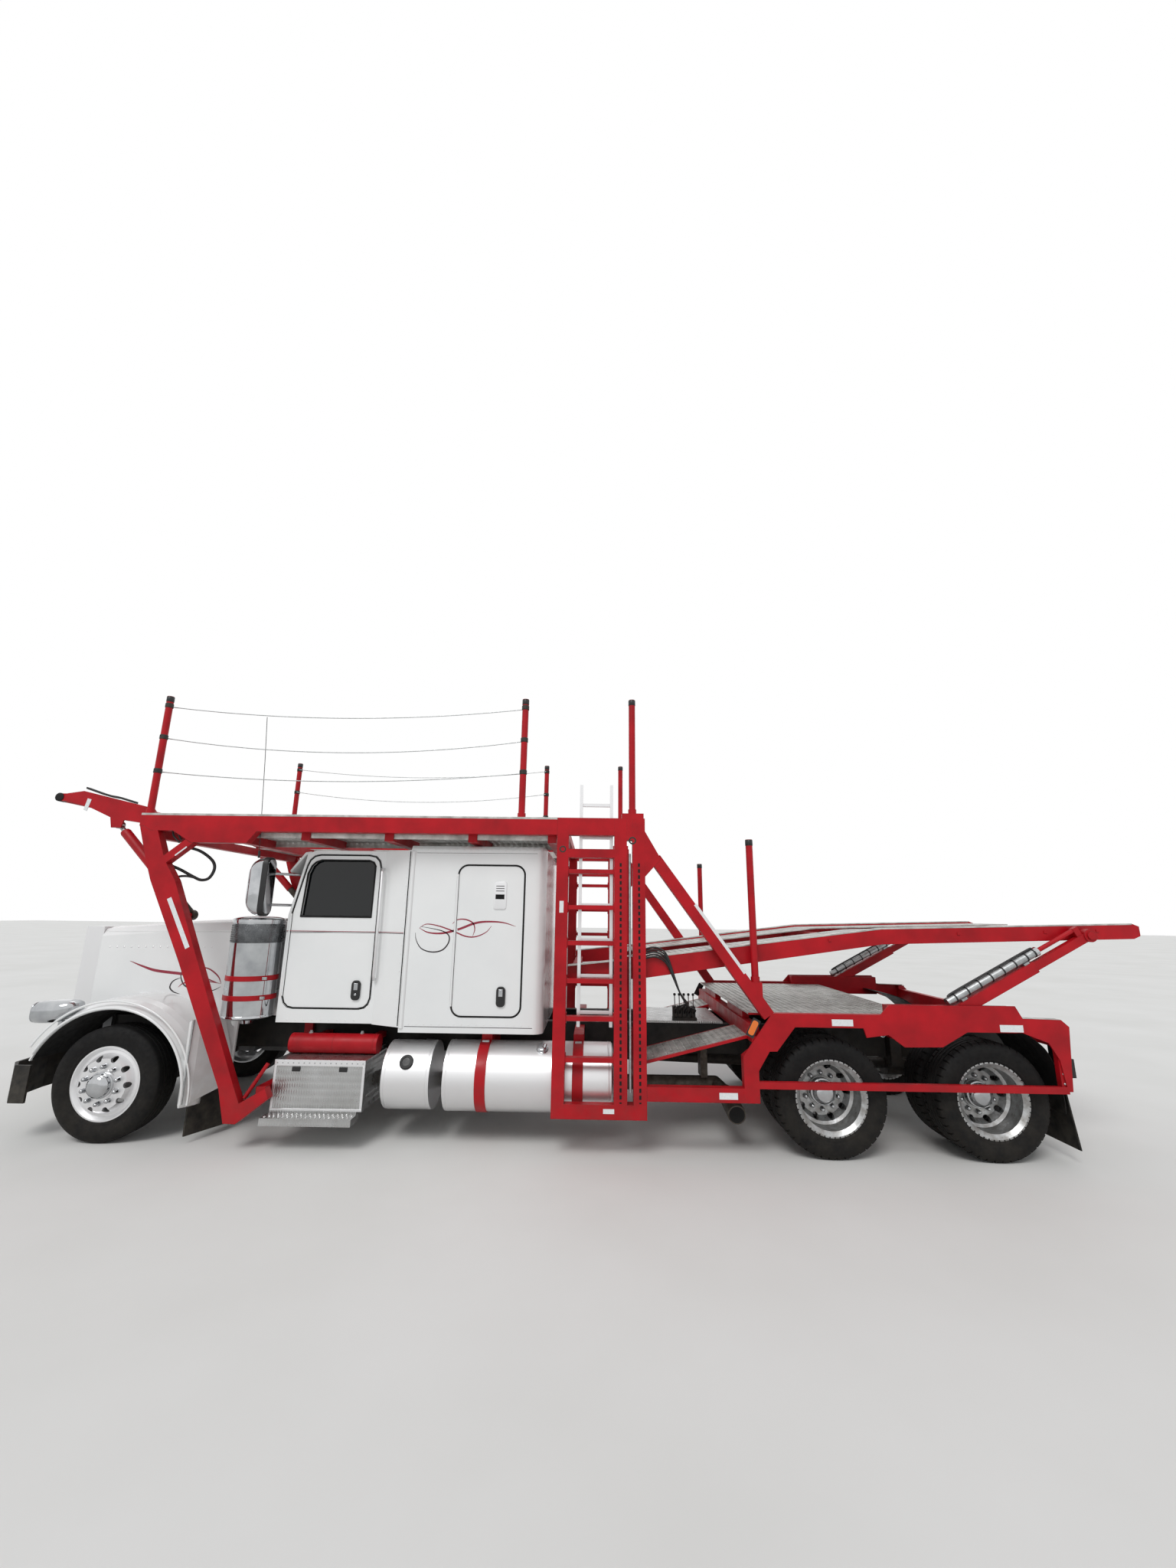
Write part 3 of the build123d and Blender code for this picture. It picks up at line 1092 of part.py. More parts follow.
def on_strut(along, off):
    # A point beside the strut line, counted from its base pin
    return (
        STRUT_BASE_X + strut_ux * along - strut_uz * off,
        STRUT_BASE_Z + strut_uz * along + strut_ux * off,
    )


STRUT_TUBE_D = 92.0
STRUT_TUBE_END = 960.0
STRUT_INNER_D = 70.0
BARREL_R = 34.0
PISTON_R = 18.0
BARREL_OFF = 92.0
BARREL_END = 1050.0
strut_eye = disc_y(STRUT_BASE_X, STRUT_BASE_Z, STRUT_IN_Y, STRUT_OUT_Y, 52)
strut_eye_bore = disc_y(
    STRUT_BASE_X, STRUT_BASE_Z, STRUT_IN_Y - 1, STRUT_OUT_Y + 1, STRUT_PIN_R + RUNNING_GAP)
strut_tube = bar(on_strut(20, 0), on_strut(STRUT_TUBE_END, 0), STRUT_TUBE_D, STRUT_IN_Y, STRUT_OUT_Y)
strut_hole = bar(
    on_strut(150, 0), on_strut(STRUT_TUBE_END + 2, 0), STRUT_INNER_D + 2, STRUT_IN_Y + 8, STRUT_OUT_Y - 8)
strut_lower = ((strut_tube + strut_eye) - strut_eye_bore) - strut_hole
STRUT_MID_Y = (STRUT_IN_Y + STRUT_OUT_Y) / 2


def strut_point(along, off):
    x, z = on_strut(along, off)
    return (x, STRUT_MID_Y, z)


write("strut_tubes", both(strut_lower))
barrel = pipe(strut_point(160, BARREL_OFF), strut_point(BARREL_END, BARREL_OFF), BARREL_R, 22)
barrel_cap = rod(strut_point(140, BARREL_OFF), strut_point(160, BARREL_OFF), BARREL_R)
saddles = [
    bar(
        on_strut(a, 55), on_strut(a + 50, 55), 2 * (55 - STRUT_TUBE_D / 2) - 0.6, STRUT_MID_Y - 30,
        STRUT_MID_Y + 30)
    for a in (250, 880)
]
barrel_gland = pipe(
    strut_point(BARREL_END - 25, BARREL_OFF), strut_point(BARREL_END, BARREL_OFF), BARREL_R,
    PISTON_R + RUNNING_GAP)
write("strut_barrels", both(fuse(barrel, barrel_cap, barrel_gland, *saddles)))

inner_bar = bar(on_strut(500, 0), on_strut(STRUT_LEN, 0), STRUT_INNER_D, STRUT_IN_Y + 9, STRUT_OUT_Y - 9)
inner_eye = disc_y(STRUT_TOP_X, STRUT_TOP_Z, STRUT_IN_Y, STRUT_OUT_Y, 55)
inner_cap = disc_y(STRUT_TOP_X, STRUT_TOP_Z, STRUT_OUT_Y, STRUT_OUT_Y + 12, 34)
piston = rod(strut_point(700, BARREL_OFF), strut_point(STRUT_LEN - 60, BARREL_OFF), PISTON_R)
piston_foot = bar(
    on_strut(STRUT_LEN - 100, BARREL_OFF / 2), on_strut(STRUT_LEN - 50, BARREL_OFF / 2), BARREL_OFF + 36,
    STRUT_MID_Y - 20, STRUT_MID_Y + 20)
write("strut_uppers", both(fuse(inner_bar, inner_eye, inner_cap, piston, piston_foot)))


# Nose ramp and its cylinders
# Columns: x, z of the ramp's side plate
NOSE_RAIL = (
    (NOSE_PIVOT_X + 32, 2690), (NOSE_PIVOT_X + 32, 2745), (0, 2828), (-640, 2975), (-800, 2950),
    (-800, 2880), (-560, 2822), (-326, 2720), (-30, 2680),
)
NOSE_LUG = (
    (NOSE_EYE_X - 70, NOSE_EYE_Z + 70), (NOSE_EYE_X - 45, NOSE_EYE_Z - 30),
    (NOSE_EYE_X + 45, NOSE_EYE_Z - 30), (NOSE_EYE_X + 70, NOSE_EYE_Z + 70),
)
nose_rail = side_plate(NOSE_RAIL, NOSE_IN_Y, NOSE_OUT_Y)
nose_bore = disc_y(NOSE_PIVOT_X, NOSE_PIVOT_Z, NOSE_IN_Y - 1, NOSE_OUT_Y + 1, NOSE_PIN_R + RUNNING_GAP)
nose_rail = nose_rail - nose_bore
nose_roller = disc_y(-860, 2915, -NOSE_OUT_Y, NOSE_OUT_Y, 38)
nose_tip = side_plate(((-800, 2950), (-880, 2950), (-880, 2880), (-800, 2880)), NOSE_OUT_Y - 30, NOSE_OUT_Y)
nose_cross = [
    box(-120, -60, -NOSE_IN_Y - 1, NOSE_IN_Y + 1, 2740, 2800),
    box(-620, -560, -NOSE_IN_Y - 1, NOSE_IN_Y + 1, 2850, 2910),
]
nose_lug = side_plate(NOSE_LUG, NOSE_OUT_Y - 12, NOSE_OUT_Y)
nose_sheet = side_plate(((-120, 2812), (-120, 2822), (-620, 2937), (-620, 2927)), -NOSE_IN_Y, NOSE_IN_Y)
nose_side = fuse(nose_rail, nose_tip, nose_lug)
write("nose_ramp", [fuse(nose_side, mirror_y(nose_side), nose_roller, nose_sheet, *nose_cross)])

nose_dx = NOSE_EYE_X - NOSE_BASE_X
nose_dz = NOSE_EYE_Z - NOSE_BASE_Z
NOSE_CYL_LEN = math.hypot(nose_dx, nose_dz)
NOSE_CYL_Y = 1150.0
NOSE_ROD_R = 20.0


def on_nose(along):
    return (
        NOSE_BASE_X + nose_dx / NOSE_CYL_LEN * along,
        NOSE_CYL_Y,
        NOSE_BASE_Z + nose_dz / NOSE_CYL_LEN * along,
    )


nose_eye = disc_y(NOSE_BASE_X, NOSE_BASE_Z, NOSE_IN_Y, NOSE_OUT_Y - 20, 45)
nose_eye_bore = disc_y(NOSE_BASE_X, NOSE_BASE_Z, NOSE_IN_Y - 6, NOSE_OUT_Y, NOSE_BASE_PIN_R + RUNNING_GAP)
nose_barrel = pipe(on_nose(30), on_nose(760), 36, 24) + rod(on_nose(20), on_nose(60), 36)
nose_barrel = nose_barrel + pipe(on_nose(735), on_nose(760), 36, NOSE_ROD_R + RUNNING_GAP)
write("nose_barrels", both((nose_barrel + nose_eye) - nose_eye_bore))
nose_rod = fuse(
    rod(on_nose(420), on_nose(NOSE_CYL_LEN), NOSE_ROD_R),
    disc_y(NOSE_EYE_X, NOSE_EYE_Z, NOSE_CYL_Y - 25, NOSE_CYL_Y + 25, 34))
write("nose_rods", both(nose_rod))

# Ladder, lamps, mud flaps and hitch
LADDER_X0 = 3985.0
LADDER_X1 = 4290.0
LADDER_BAR = 28.0
LADDER_STEPS = 7
LADDER_PITCH = 300.0
STILE_XS = (LADDER_X0, LADDER_X1 - LADDER_BAR)
ladder_parts = [box(x, x + LADDER_BAR, TOWER_IN_Y - 66, TOWER_IN_Y - 2, 980, 3080) for x in STILE_XS]
for step in range(LADDER_STEPS):
    z = 1080 + LADDER_PITCH * step
    ladder_parts.append(
        box(
            LADDER_X0 + LADDER_BAR, LADDER_X1 - LADDER_BAR, TOWER_IN_Y - 48, TOWER_IN_Y - 20, z,
            z + LADDER_BAR))
ladder_parts += [box(x, x + LADDER_BAR, TOWER_IN_Y - 2, SIDE_IN_Y, 2440, 2470) for x in STILE_XS]
write("ladder", [mirror_y(piece) for piece in ladder_parts])

FLAP_X = aft(7986.0)
FLAP_T = 12.0
FLAP_TOP_Z = 600.0
FLAP_SIDE = ((FLAP_X, FLAP_TOP_Z), (FLAP_X + FLAP_T, FLAP_TOP_Z), (FLAP_X + 74, 110), (FLAP_X + 62, 110))
flap = side_plate(FLAP_SIDE, 640, 1215)
flap_hangers = [
    box(FLAP_X - 1 + REST_GAP, FLAP_X + FLAP_T, y, y + 50, FLAP_TOP_Z, 1000) for y in (700, 1100)
]
write("mud_flaps", both(flap, *flap_hangers))
# Rubber flap that hangs under the fender's skirt along the same slanting plan
FRONT_FLAP_PLAN = ((712, 1118), (724, 1118), (868, 806), (856, 806))
FRONT_FLAP_SIDE = ((700, 60), (880, 60), (880, 407.4), (765.5, 338.7), (765.5, 284), (700, 284))
front_flap = flat_plate(FRONT_FLAP_PLAN, 50, 420) & side_plate(FRONT_FLAP_SIDE, 800, 1130)
write("front_flaps", both(front_flap))

HITCH_PLATE = ((7720, 880), (7930, 880), (8080, 880), (8440, 430), (8440, 340), (8200, 340), (7720, 640))
hitch_plates = [
    side_plate(aft_points(HITCH_PLATE), s * ARM_IN_Y, s * (ARM_IN_Y + 25)) for s in (LEFT, RIGHT)
]
HITCH_SHELF_Z = 400.0
shelf = box(aft(8180), aft(8440), -ARM_IN_Y - 1, ARM_IN_Y + 1, HITCH_SHELF_Z - 40, HITCH_SHELF_Z)
# Columns: x, y of the four bolt holes round the ball
BALL_X = aft(8330.0)
BOLT_DX = 80.0
BOLT_DY = 80.0
bolt_holes = [
    rod((BALL_X + dx, dy, HITCH_SHELF_Z - 50), (BALL_X + dx, dy, HITCH_SHELF_Z + 10), 11)
    for dx in (-BOLT_DX, BOLT_DX) for dy in (-BOLT_DY, BOLT_DY)
]
shelf_drilled = shelf
for hole in bolt_holes:
    shelf_drilled = shelf_drilled - hole
ball_neck = rod((BALL_X, 0, HITCH_SHELF_Z), (BALL_X, 0, HITCH_SHELF_Z + 70), 30)
ball = Pos(BALL_X, 0, HITCH_SHELF_Z + 100) * Sphere(50)
write("hitch", [fuse(*hitch_plates, shelf_drilled, ball_neck, ball)])
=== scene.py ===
"""Looks of a conventional tractor truck that carries a car transporter rack.

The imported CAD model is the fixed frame. Each class below dresses one sub-assembly: it gives the CAD
nodes their finish and adds what is too fine for them, such as tread, rivets, perforated runways, hoses
and wire ropes. Lengths are metres. X counts from the front axle towards the tail, Y to the right-hand
side and Z up from the ground. What is alike on both sides is drawn on the left and copied to the right.
"""
import logging
import math
from dataclasses import dataclass, field
from enum import Enum
from typing import Any, Iterable, Optional, Sequence

import bmesh
import bpy
from mathutils import Matrix, Vector


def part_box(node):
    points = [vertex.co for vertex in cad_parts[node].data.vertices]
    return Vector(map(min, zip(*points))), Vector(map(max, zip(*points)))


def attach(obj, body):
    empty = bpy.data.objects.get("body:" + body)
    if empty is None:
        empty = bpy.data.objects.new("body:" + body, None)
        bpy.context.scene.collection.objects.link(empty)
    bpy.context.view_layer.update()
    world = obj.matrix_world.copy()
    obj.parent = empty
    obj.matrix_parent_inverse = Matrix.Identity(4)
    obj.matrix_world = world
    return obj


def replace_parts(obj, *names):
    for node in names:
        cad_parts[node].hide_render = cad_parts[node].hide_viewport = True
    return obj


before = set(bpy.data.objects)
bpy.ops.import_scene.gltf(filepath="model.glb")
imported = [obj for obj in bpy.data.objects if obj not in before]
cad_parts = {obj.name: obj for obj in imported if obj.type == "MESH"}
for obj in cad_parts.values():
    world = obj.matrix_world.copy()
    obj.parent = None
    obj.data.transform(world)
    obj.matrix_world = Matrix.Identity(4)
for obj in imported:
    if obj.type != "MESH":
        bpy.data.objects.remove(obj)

LOG = logging.getLogger("transporter")
Point = tuple[float, float, float]
# A flat place is x and z where its own comment gives no other axes
Flat = tuple[float, float]
Line = tuple[Flat, ...]
Tree = bpy.types.NodeTree
Socket = bpy.types.NodeSocket
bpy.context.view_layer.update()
MM = 0.001
# Where the front axle stands along the frame's own X
AXLE_X = (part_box("front_tyre_left")[0][0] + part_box("front_tyre_left")[1][0]) / 2
# A start for lines that look for the left side's faces
OUTSIDE_Y = -1.6
OUTWARD: Point = (0.0, -1.0, 0.0)
ASTERN: Point = (1.0, 0.0, 0.0)
UPWARD: Point = (0.0, 0.0, 1.0)


class Axis(Enum):
    """A direction of the truck; the value is its index in a point."""

    X = 0
    Y = 1
    Z = 2

    def place(self, along: float, flat: Sequence[float]) -> Point:
        """Stand a flat point, given by the other two axes, at a place along this one."""
        return (*flat[:self.value], along, *flat[self.value:])


class Side(Enum):
    """A side of the truck; the value is the sign of Y."""

    LEFT = -1
    RIGHT = 1

    @property
    def label(self) -> str:
        """The side's word in node and body names."""
        return self.name.lower()


class Tread(Enum):
    """What the tyre's crown carries."""

    RIBS = "ribs"
    LUGS = "lugs"


def srgb(code: str) -> tuple[float, float, float, float]:
    """Turn an sRGB hex value into linear colour.

    Args:
        code: Six hex digits, such as "B3101E".

    Returns:
        Linear red, green and blue, and an alpha of one.
    """
    parts = [int(code[i:i + 2], 16) / 255 for i in (0, 2, 4)]
    linear = [c / 12.92 if c <= 0.04045 else ((c + 0.055) / 1.055) ** 2.4 for c in parts]
    return (linear[0], linear[1], linear[2], 1.0)


def add_node(tree: Tree, kind: str, settings: Optional[dict] = None, links: Optional[dict] = None) -> bpy.types.Node:
    """Add one shader node.

    Args:
        tree: The node tree that takes it.
        kind: The node's type name without its prefix, such as "TexNoise".
        settings: Attribute names, or input names and numbers, with their values.
        links: Input names or numbers, with the output socket that feeds each.

    Returns:
        The new node.
    """
    node = tree.nodes.new("ShaderNode" + kind)
    for key, value in (settings or {}).items():
        if isinstance(key, str) and hasattr(node, key):
            setattr(node, key, value)
        else:
            node.inputs[key].default_value = value
    for key, source in (links or {}).items():
        tree.links.new(source, node.inputs[key])
    return node


@dataclass(frozen=True)
class Surface:
    """A named material; each kind of surface wires its own shader."""

    name: str

    def build(self) -> bpy.types.Material:
        """Make the material, or fetch the one made before.

        Returns:
            The material with its node tree.
        """
        material = bpy.data.materials.get(self.name)
        if material is None:
            material = bpy.data.materials.new(self.name)
            material.use_nodes = True
            tree = material.node_tree
            inputs = tree.nodes["Principled BSDF"].inputs
            for key, value in self.wire(tree, add_node(tree, "TexCoord").outputs["Object"]).items():
                if isinstance(value, Socket):
                    tree.links.new(value, inputs[key])
                else:
                    inputs[key].default_value = value
        return material

    def wire(self, tree: Tree, place: Socket) -> dict[str, Any]:
        """Feed the shader.

        Args:
            tree: The node tree.
            place: The object's own coordinates.

        Returns:
            The shader's inputs by name.
        """
        raise NotImplementedError


@dataclass(frozen=True)
class Finish(Surface):
    """A surface finish: what the material is, and how its colour, gloss and relief vary.

    Patterns lie in object space, and each scale comes from a real size in millimetres.
    """

    base: str
    second: str
    roughness: float = 0.5
    spread: float = 0.1
    metallic: float = 0.0
    coat: float = 0.0
    shine: float = 0.5
    patch_mm: float = 300.0
    patch: float = 0.3
    grain_mm: float = 4.0
    grain_depth: float = 0.02
    dirt_mm: float = 90.0
    edge_mm: float = 3.0
    dust: str = "8A8378"
    dust_amount: float = 0.0
    dust_top: float = 1.2
    wear: str = ""
    wear_mm: float = 6.0

    def wire(self, tree: Tree, place: Socket) -> dict[str, Any]:
        """Vary the colour, gloss and relief over the surface.

        Args:
            tree: The node tree.
            place: The object's own coordinates.

        Returns:
            The shader's inputs by name.
        """
        sizes = {
            "patch": (self.patch_mm, 4.0), "smear": (self.patch_mm * 0.4, 5.0),
            "grain": (self.grain_mm, 3.0), "dirt": (self.dirt_mm, 6.0)}
        fields = {"place": place}
        for key, (size, detail) in sizes.items():
            noise = add_node(
                tree, "TexNoise", {"Scale": 1000.0 / size, "Detail": detail, "Roughness": 0.55}, {"Vector": place})
            fields[key] = noise.outputs["Fac"]
        low, high = max(0.02, self.roughness - self.spread), self.roughness + self.spread
        gloss = add_node(
            tree, "MapRange", {"From Min": 0.3, "From Max": 0.7, "To Min": low, "To Max": high},
            {"Value": fields["smear"]})
        inputs = {
            "Base Color": self.colour(tree, fields), "Roughness": gloss.outputs[0],
            "Normal": self.relief(tree, fields), "Metallic": self.metallic, "Specular IOR Level": self.shine}
        if self.coat:
            inputs |= {"Coat Weight": self.coat, "Coat Roughness": 0.06}
        return inputs

    def colour(self, tree: Tree, fields: dict[str, Socket]) -> Socket:
        """Mix the two colours in patches, wear the corners and lay dust near the ground.

        Args:
            tree: The node tree.
            fields: The place and the noise values by name.

        Returns:
            The colour socket.
        """
        patches = add_node(
            tree, "MapRange", {"From Min": 0.35, "From Max": 0.7, "To Max": self.patch}, {"Value": fields["patch"]})
        mixed = add_node(
            tree, "Mix", {"data_type": "RGBA", 6: srgb(self.base), 7: srgb(self.second)},
            {0: patches.outputs[0]}).outputs[2]
        if self.wear:
            # The paint rubs thin where a bevelled normal leaves the true one
            bent = add_node(tree, "Bevel", {"samples": 4, "Radius": self.wear_mm * MM}).outputs[0]
            true = add_node(tree, "NewGeometry").outputs["Normal"]
            dot = add_node(tree, "VectorMath", {"operation": "DOT_PRODUCT"}, {0: bent, 1: true})
            corner = add_node(
                tree, "MapRange", {"From Min": 0.985, "From Max": 0.88, "To Max": 0.75},
                {"Value": dot.outputs["Value"]})
            mixed = self.cover(tree, mixed, self.wear, corner.outputs[0], (fields["dirt"], 0.42, 0.58))
        if self.dust_amount:
            height = add_node(tree, "SeparateXYZ", {}, {0: fields["place"]})
            low = add_node(
                tree, "MapRange",
                {"From Min": self.dust_top, "From Max": 0.1, "To Max": self.dust_amount,
                 "interpolation_type": "SMOOTHSTEP"},
                {"Value": height.outputs["Z"]})
            mixed = self.cover(tree, mixed, self.dust, low.outputs[0], (fields["dirt"], 0.3, 0.62))
        return mixed

    def cover(
            self, tree: Tree, under: Socket, over: str, amount: Socket, broken: tuple[Socket, float, float]) -> Socket:
        """Lay a broken film of another colour over the paint.

        Args:
            tree: The node tree.
            under: The colour so far.
            over: The film's colour in hex digits.
            amount: How thick the film is.
            broken: A noise value, with the values between which the film starts and is full.

        Returns:
            The colour socket.
        """
        noise, start, full = broken
        patchy = add_node(tree, "MapRange", {"From Min": start, "From Max": full}, {"Value": noise})
        share = add_node(tree, "Math", {"operation": "MULTIPLY"}, {0: amount, 1: patchy.outputs[0]})
        return add_node(tree, "Mix", {"data_type": "RGBA", 7: srgb(over)}, {0: share.outputs[0], 6: under}).outputs[2]

    def relief(self, tree: Tree, fields: dict[str, Socket]) -> Socket:
        """Raise the fine grain of the surface over edges that are rounded a little.

        Args:
            tree: The node tree.
            fields: The place and the noise values by name.

        Returns:
            The normal socket.
        """
        soft = add_node(tree, "Bevel", {"samples": 4, "Radius": self.edge_mm * MM}).outputs[0]
        return add_node(
            tree, "Bump", {"Strength": 0.5, "Distance": self.grain_depth * MM},
            {"Height": fields["grain"], "Normal": soft}).outputs["Normal"]


@dataclass(frozen=True)
class TreadPlate(Finish):
    """Rolled tread plate: bright raised bars, crossed in turn, on a duller ground."""

    bar_mm: float = 30.0
    bar_height_mm: float = 1.6

    def relief(self, tree: Tree, fields: dict[str, Socket]) -> Socket:
        """Cross two fields of stretched cells, so that short bars stand up in turn each way.

        Args:
            tree: The node tree.
            fields: The place and the noise values by name.

        Returns:
            The normal socket.
        """
        heights = []
        for turn, shift in ((45.0, 0.0), (-45.0, 0.5 * self.bar_mm * MM)):
            turned = add_node(
                tree, "Mapping",
                {"Location": (shift, 0.0, shift), "Rotation": (0.0, math.radians(turn), 0.0), "Scale": (1.0, 0.0, 0.4)},
                {"Vector": fields["place"]})
            cells = add_node(
                tree, "TexVoronoi", {"Scale": 1000.0 / self.bar_mm, "Randomness": 0.0}, {"Vector": turned.outputs[0]})
            heights.append(add_node(
                tree, "MapRange", {"From Min": 0.3, "From Max": 0.16}, {"Value": cells.outputs["Distance"]}).outputs[0])
        top = add_node(tree, "Math", {"operation": "MAXIMUM"}, {0: heights[0], 1: heights[1]})
        return add_node(
            tree, "Bump", {"Strength": 0.8, "Distance": self.bar_height_mm * MM},
            {"Height": top.outputs[0]}).outputs["Normal"]


@dataclass(frozen=True)
class PunchedEnamel(Finish):
    """Enamel on a tower column with a row of oblong pin holes, whose inner shade is painted as dark spots."""

    column_xs: tuple[float, ...] = (4.355, 4.515)
    pitch_mm: float = 52.0
    half_w: float = 0.009
    half_h: float = 0.016
    lowest: float = 0.42
    highest: float = 2.36
    shadow: str = "070606"

    def colour(self, tree: Tree, fields: dict[str, Socket]) -> Socket:
        """Paint the holes of each column as near-black shade over the enamel's own colour.

        Args:
            tree: The node tree.
            fields: The place and the noise values by name.

        Returns:
            The colour socket.
        """
        across, _, up = add_node(tree, "SeparateXYZ", {}, {0: fields["place"]}).outputs
        row = add_node(tree, "Math", {"operation": "PINGPONG", 1: self.pitch_mm * MM / 2}, {0: up}).outputs[0]
        tests = (("LESS_THAN", self.half_h, row), ("GREATER_THAN", self.lowest, up), ("LESS_THAN", self.highest, up))
        near = [
            add_node(tree, "Math", {"operation": "COMPARE", 1: AXLE_X + x, 2: self.half_w}, {0: across}).outputs[0]
            for x in self.column_xs]
        hole = add_node(tree, "Math", {"operation": "ADD"}, {0: near[0], 1: near[1]}).outputs[0]
        for operation, limit, value in tests:
            inside = add_node(tree, "Math", {"operation": operation, 1: limit}, {0: value}).outputs[0]
            hole = add_node(tree, "Math", {"operation": "MULTIPLY"}, {0: hole, 1: inside}).outputs[0]
        return add_node(
            tree, "Mix", {"data_type": "RGBA", 7: srgb(self.shadow)},
            {0: hole, 6: super().colour(tree, fields)}).outputs[2]


@dataclass(frozen=True)
class SafetyGlass(Surface):
    """Tinted laminated glass: dark, clear and sharply reflecting, with a faint smear of road film."""

    tint: str = "12181B"
    ior: float = 1.5
    clearness: float = 0.6

    def wire(self, tree: Tree, place: Socket) -> dict[str, Any]:
        """Vary only the gloss of the glass.

        Args:
            tree: The node tree.
            place: The object's own coordinates.

        Returns:
            The shader's inputs by name.
        """
        smear = add_node(tree, "TexNoise", {"Scale": 3.0, "Detail": 5.0}, {"Vector": place})
        haze = add_node(
            tree, "MapRange", {"From Min": 0.4, "From Max": 0.75, "To Min": 0.02, "To Max": 0.09},
            {"Value": smear.outputs["Fac"]})
        return {"Roughness": haze.outputs[0], "Base Color": srgb(self.tint), "Transmission Weight": self.clearness,
                "IOR": self.ior}


@dataclass(frozen=True)
class LampLens(Surface):
    """Moulded acrylic lamp lens: coloured, clear and ribbed on its back."""

    tint: str
    rib_mm: float = 8.0
    rib_depth_mm: float = 0.6

    def wire(self, tree: Tree, place: Socket) -> dict[str, Any]:
        """Mould the ribs.

        Args:
            tree: The node tree.
            place: The object's own coordinates.

        Returns:
            The shader's inputs by name.
        """
        # A wave of scale 1 repeats every 0.314 of a unit
        ribs = add_node(tree, "TexWave", {"Scale": 314.0 / self.rib_mm}, {"Vector": place})
        bump = add_node(
            tree, "Bump", {"Strength": 0.4, "Distance": self.rib_depth_mm * MM}, {"Height": ribs.outputs["Fac"]})
        return {"Normal": bump.outputs["Normal"], "Base Color": srgb(self.tint), "Roughness": 0.12, "Coat Weight": 0.6}


# Two-pack polyurethane enamel sprayed on the body: clean white under a clear gloss, dulled low down by road dust
HULL_WHITE = Finish(
    "polyurethane_enamel_white", "ECEDEC", "DFE1E1", roughness=0.2, spread=0.06, coat=0.6, patch_mm=700.0, patch=0.5,
    grain_mm=2.5, grain_depth=0.05, dust="A39A8C", dust_amount=0.3, dust_top=1.1)
# Alkyd enamel sprayed on the rack's steel: saturated red that chalks to a darker tone and rubs thin at corners
RED_ENAMEL: dict[str, Any] = dict(
    base="B50A19", second="8C0713", roughness=0.44, spread=0.1, shine=0.28, patch_mm=260.0, patch=0.8, grain_mm=5.0,
    grain_depth=0.12, dust="6B3A34", dust_amount=0.25, dust_top=1.0, wear="5A2420")
RACK_RED = Finish("alkyd_enamel_red", **RED_ENAMEL)
# The same red enamel on the tower columns, where the shade inside a row of pin holes is painted as dark oblong spots
TOWER_RED_HOLE_SHADE = PunchedEnamel("alkyd_enamel_red_punched", **RED_ENAMEL)
# Chassis enamel: satin black under grey dust
FRAME_BLACK = Finish(
    "chassis_enamel_black", "121214", "1C1A17", roughness=0.55, spread=0.12, shine=0.3, patch_mm=160.0, patch=0.9,
    grain_mm=6.0, grain_depth=0.25, dust="5C564C", dust_amount=0.5, dust_top=1.1)
# Chromium plate: a mirror with faint water marks
CHROME = Finish(
    "chromium_plate", "C4C6C8", "9A9DA1", roughness=0.08, spread=0.05, metallic=1.0, patch_mm=160.0, patch=0.7,
    dust="7C766C", dust_amount=0.15)
# Aluminium polished by hand: softer and greyer than chrome, with a fine haze
POLISHED = Finish(
    "polished_aluminium", "B9BBBD", "8D9093", roughness=0.19, spread=0.08, metallic=1.0, patch_mm=140.0, patch=0.8,
    grain_mm=3.0, grain_depth=0.03, dust="6F685D", dust_amount=0.3, dust_top=0.9)
# Forged wheel aluminium left outdoors: dull and oxidised, with brake dust
WHEEL_ALUMINIUM = Finish(
    "forged_aluminium_oxidised", "B9BBBC", "8E8C88", roughness=0.36, spread=0.12, metallic=0.9, patch_mm=45.0,
    patch=0.8, grain_mm=2.0, grain_depth=0.05, dust="5C5248", dust_amount=0.25)
# Mill-finish aluminium sheet of the runways: pale grey, scuffed by tyres
DECK_ALUMINIUM = Finish(
    "mill_finish_aluminium", "C9C9C5", "8F8E8A", roughness=0.42, spread=0.14, metallic=0.7, patch_mm=110.0, patch=0.9,
    grain_mm=3.0, grain_depth=0.1)
# Rolled tread plate of the tool box: bright bars on a grey ground
TREAD_PLATE = TreadPlate(
    "aluminium_tread_plate", "BDBEBE", "9B9B99", roughness=0.3, spread=0.06, metallic=0.9, patch_mm=220.0, patch=0.5,
    dust="7C7468", dust_amount=0.12, dust_top=0.6)
# Tyre rubber: nearly black, greyed on the sidewall by dust
TYRE_RUBBER = Finish(
    "vulcanised_tyre_rubber", "0F0F10", "191817", roughness=0.72, spread=0.1, shine=0.2, patch_mm=70.0, patch=0.9,
    grain_mm=2.0, grain_depth=0.2, dust="3A352E", dust_amount=0.3, dust_top=0.9)
# Rubber sheet of flaps and seals: matt black
SHEET_RUBBER = Finish(
    "calendered_rubber_sheet", "0E0E0F", "171615", roughness=0.6, spread=0.12, shine=0.25, patch_mm=120.0, patch=0.9,
    grain_mm=8.0, grain_depth=0.5, dust="5A544A", dust_amount=0.4, dust_top=0.7)
# Cast iron of axles and knuckles: dark grey and oily
CAST_IRON = Finish(
    "oily_cast_iron", "2C2B2A", "3E3832", roughness=0.6, spread=0.15, metallic=0.4, patch_mm=60.0, patch=0.9,
    grain_mm=4.0, grain_depth=0.5, dust="5C5248", dust_amount=0.35, dust_top=1.0)
# Cast iron sprayed grey: the engine, gearbox and their covers
ENGINE_GREY = Finish(
    "grey_machinery_enamel", "77797B", "5A5B5B", roughness=0.5, spread=0.12, patch_mm=120.0, patch=0.9, grain_mm=5.0,
    grain_depth=0.4, dust="4E473D", dust_amount=0.3, dust_top=1.6)
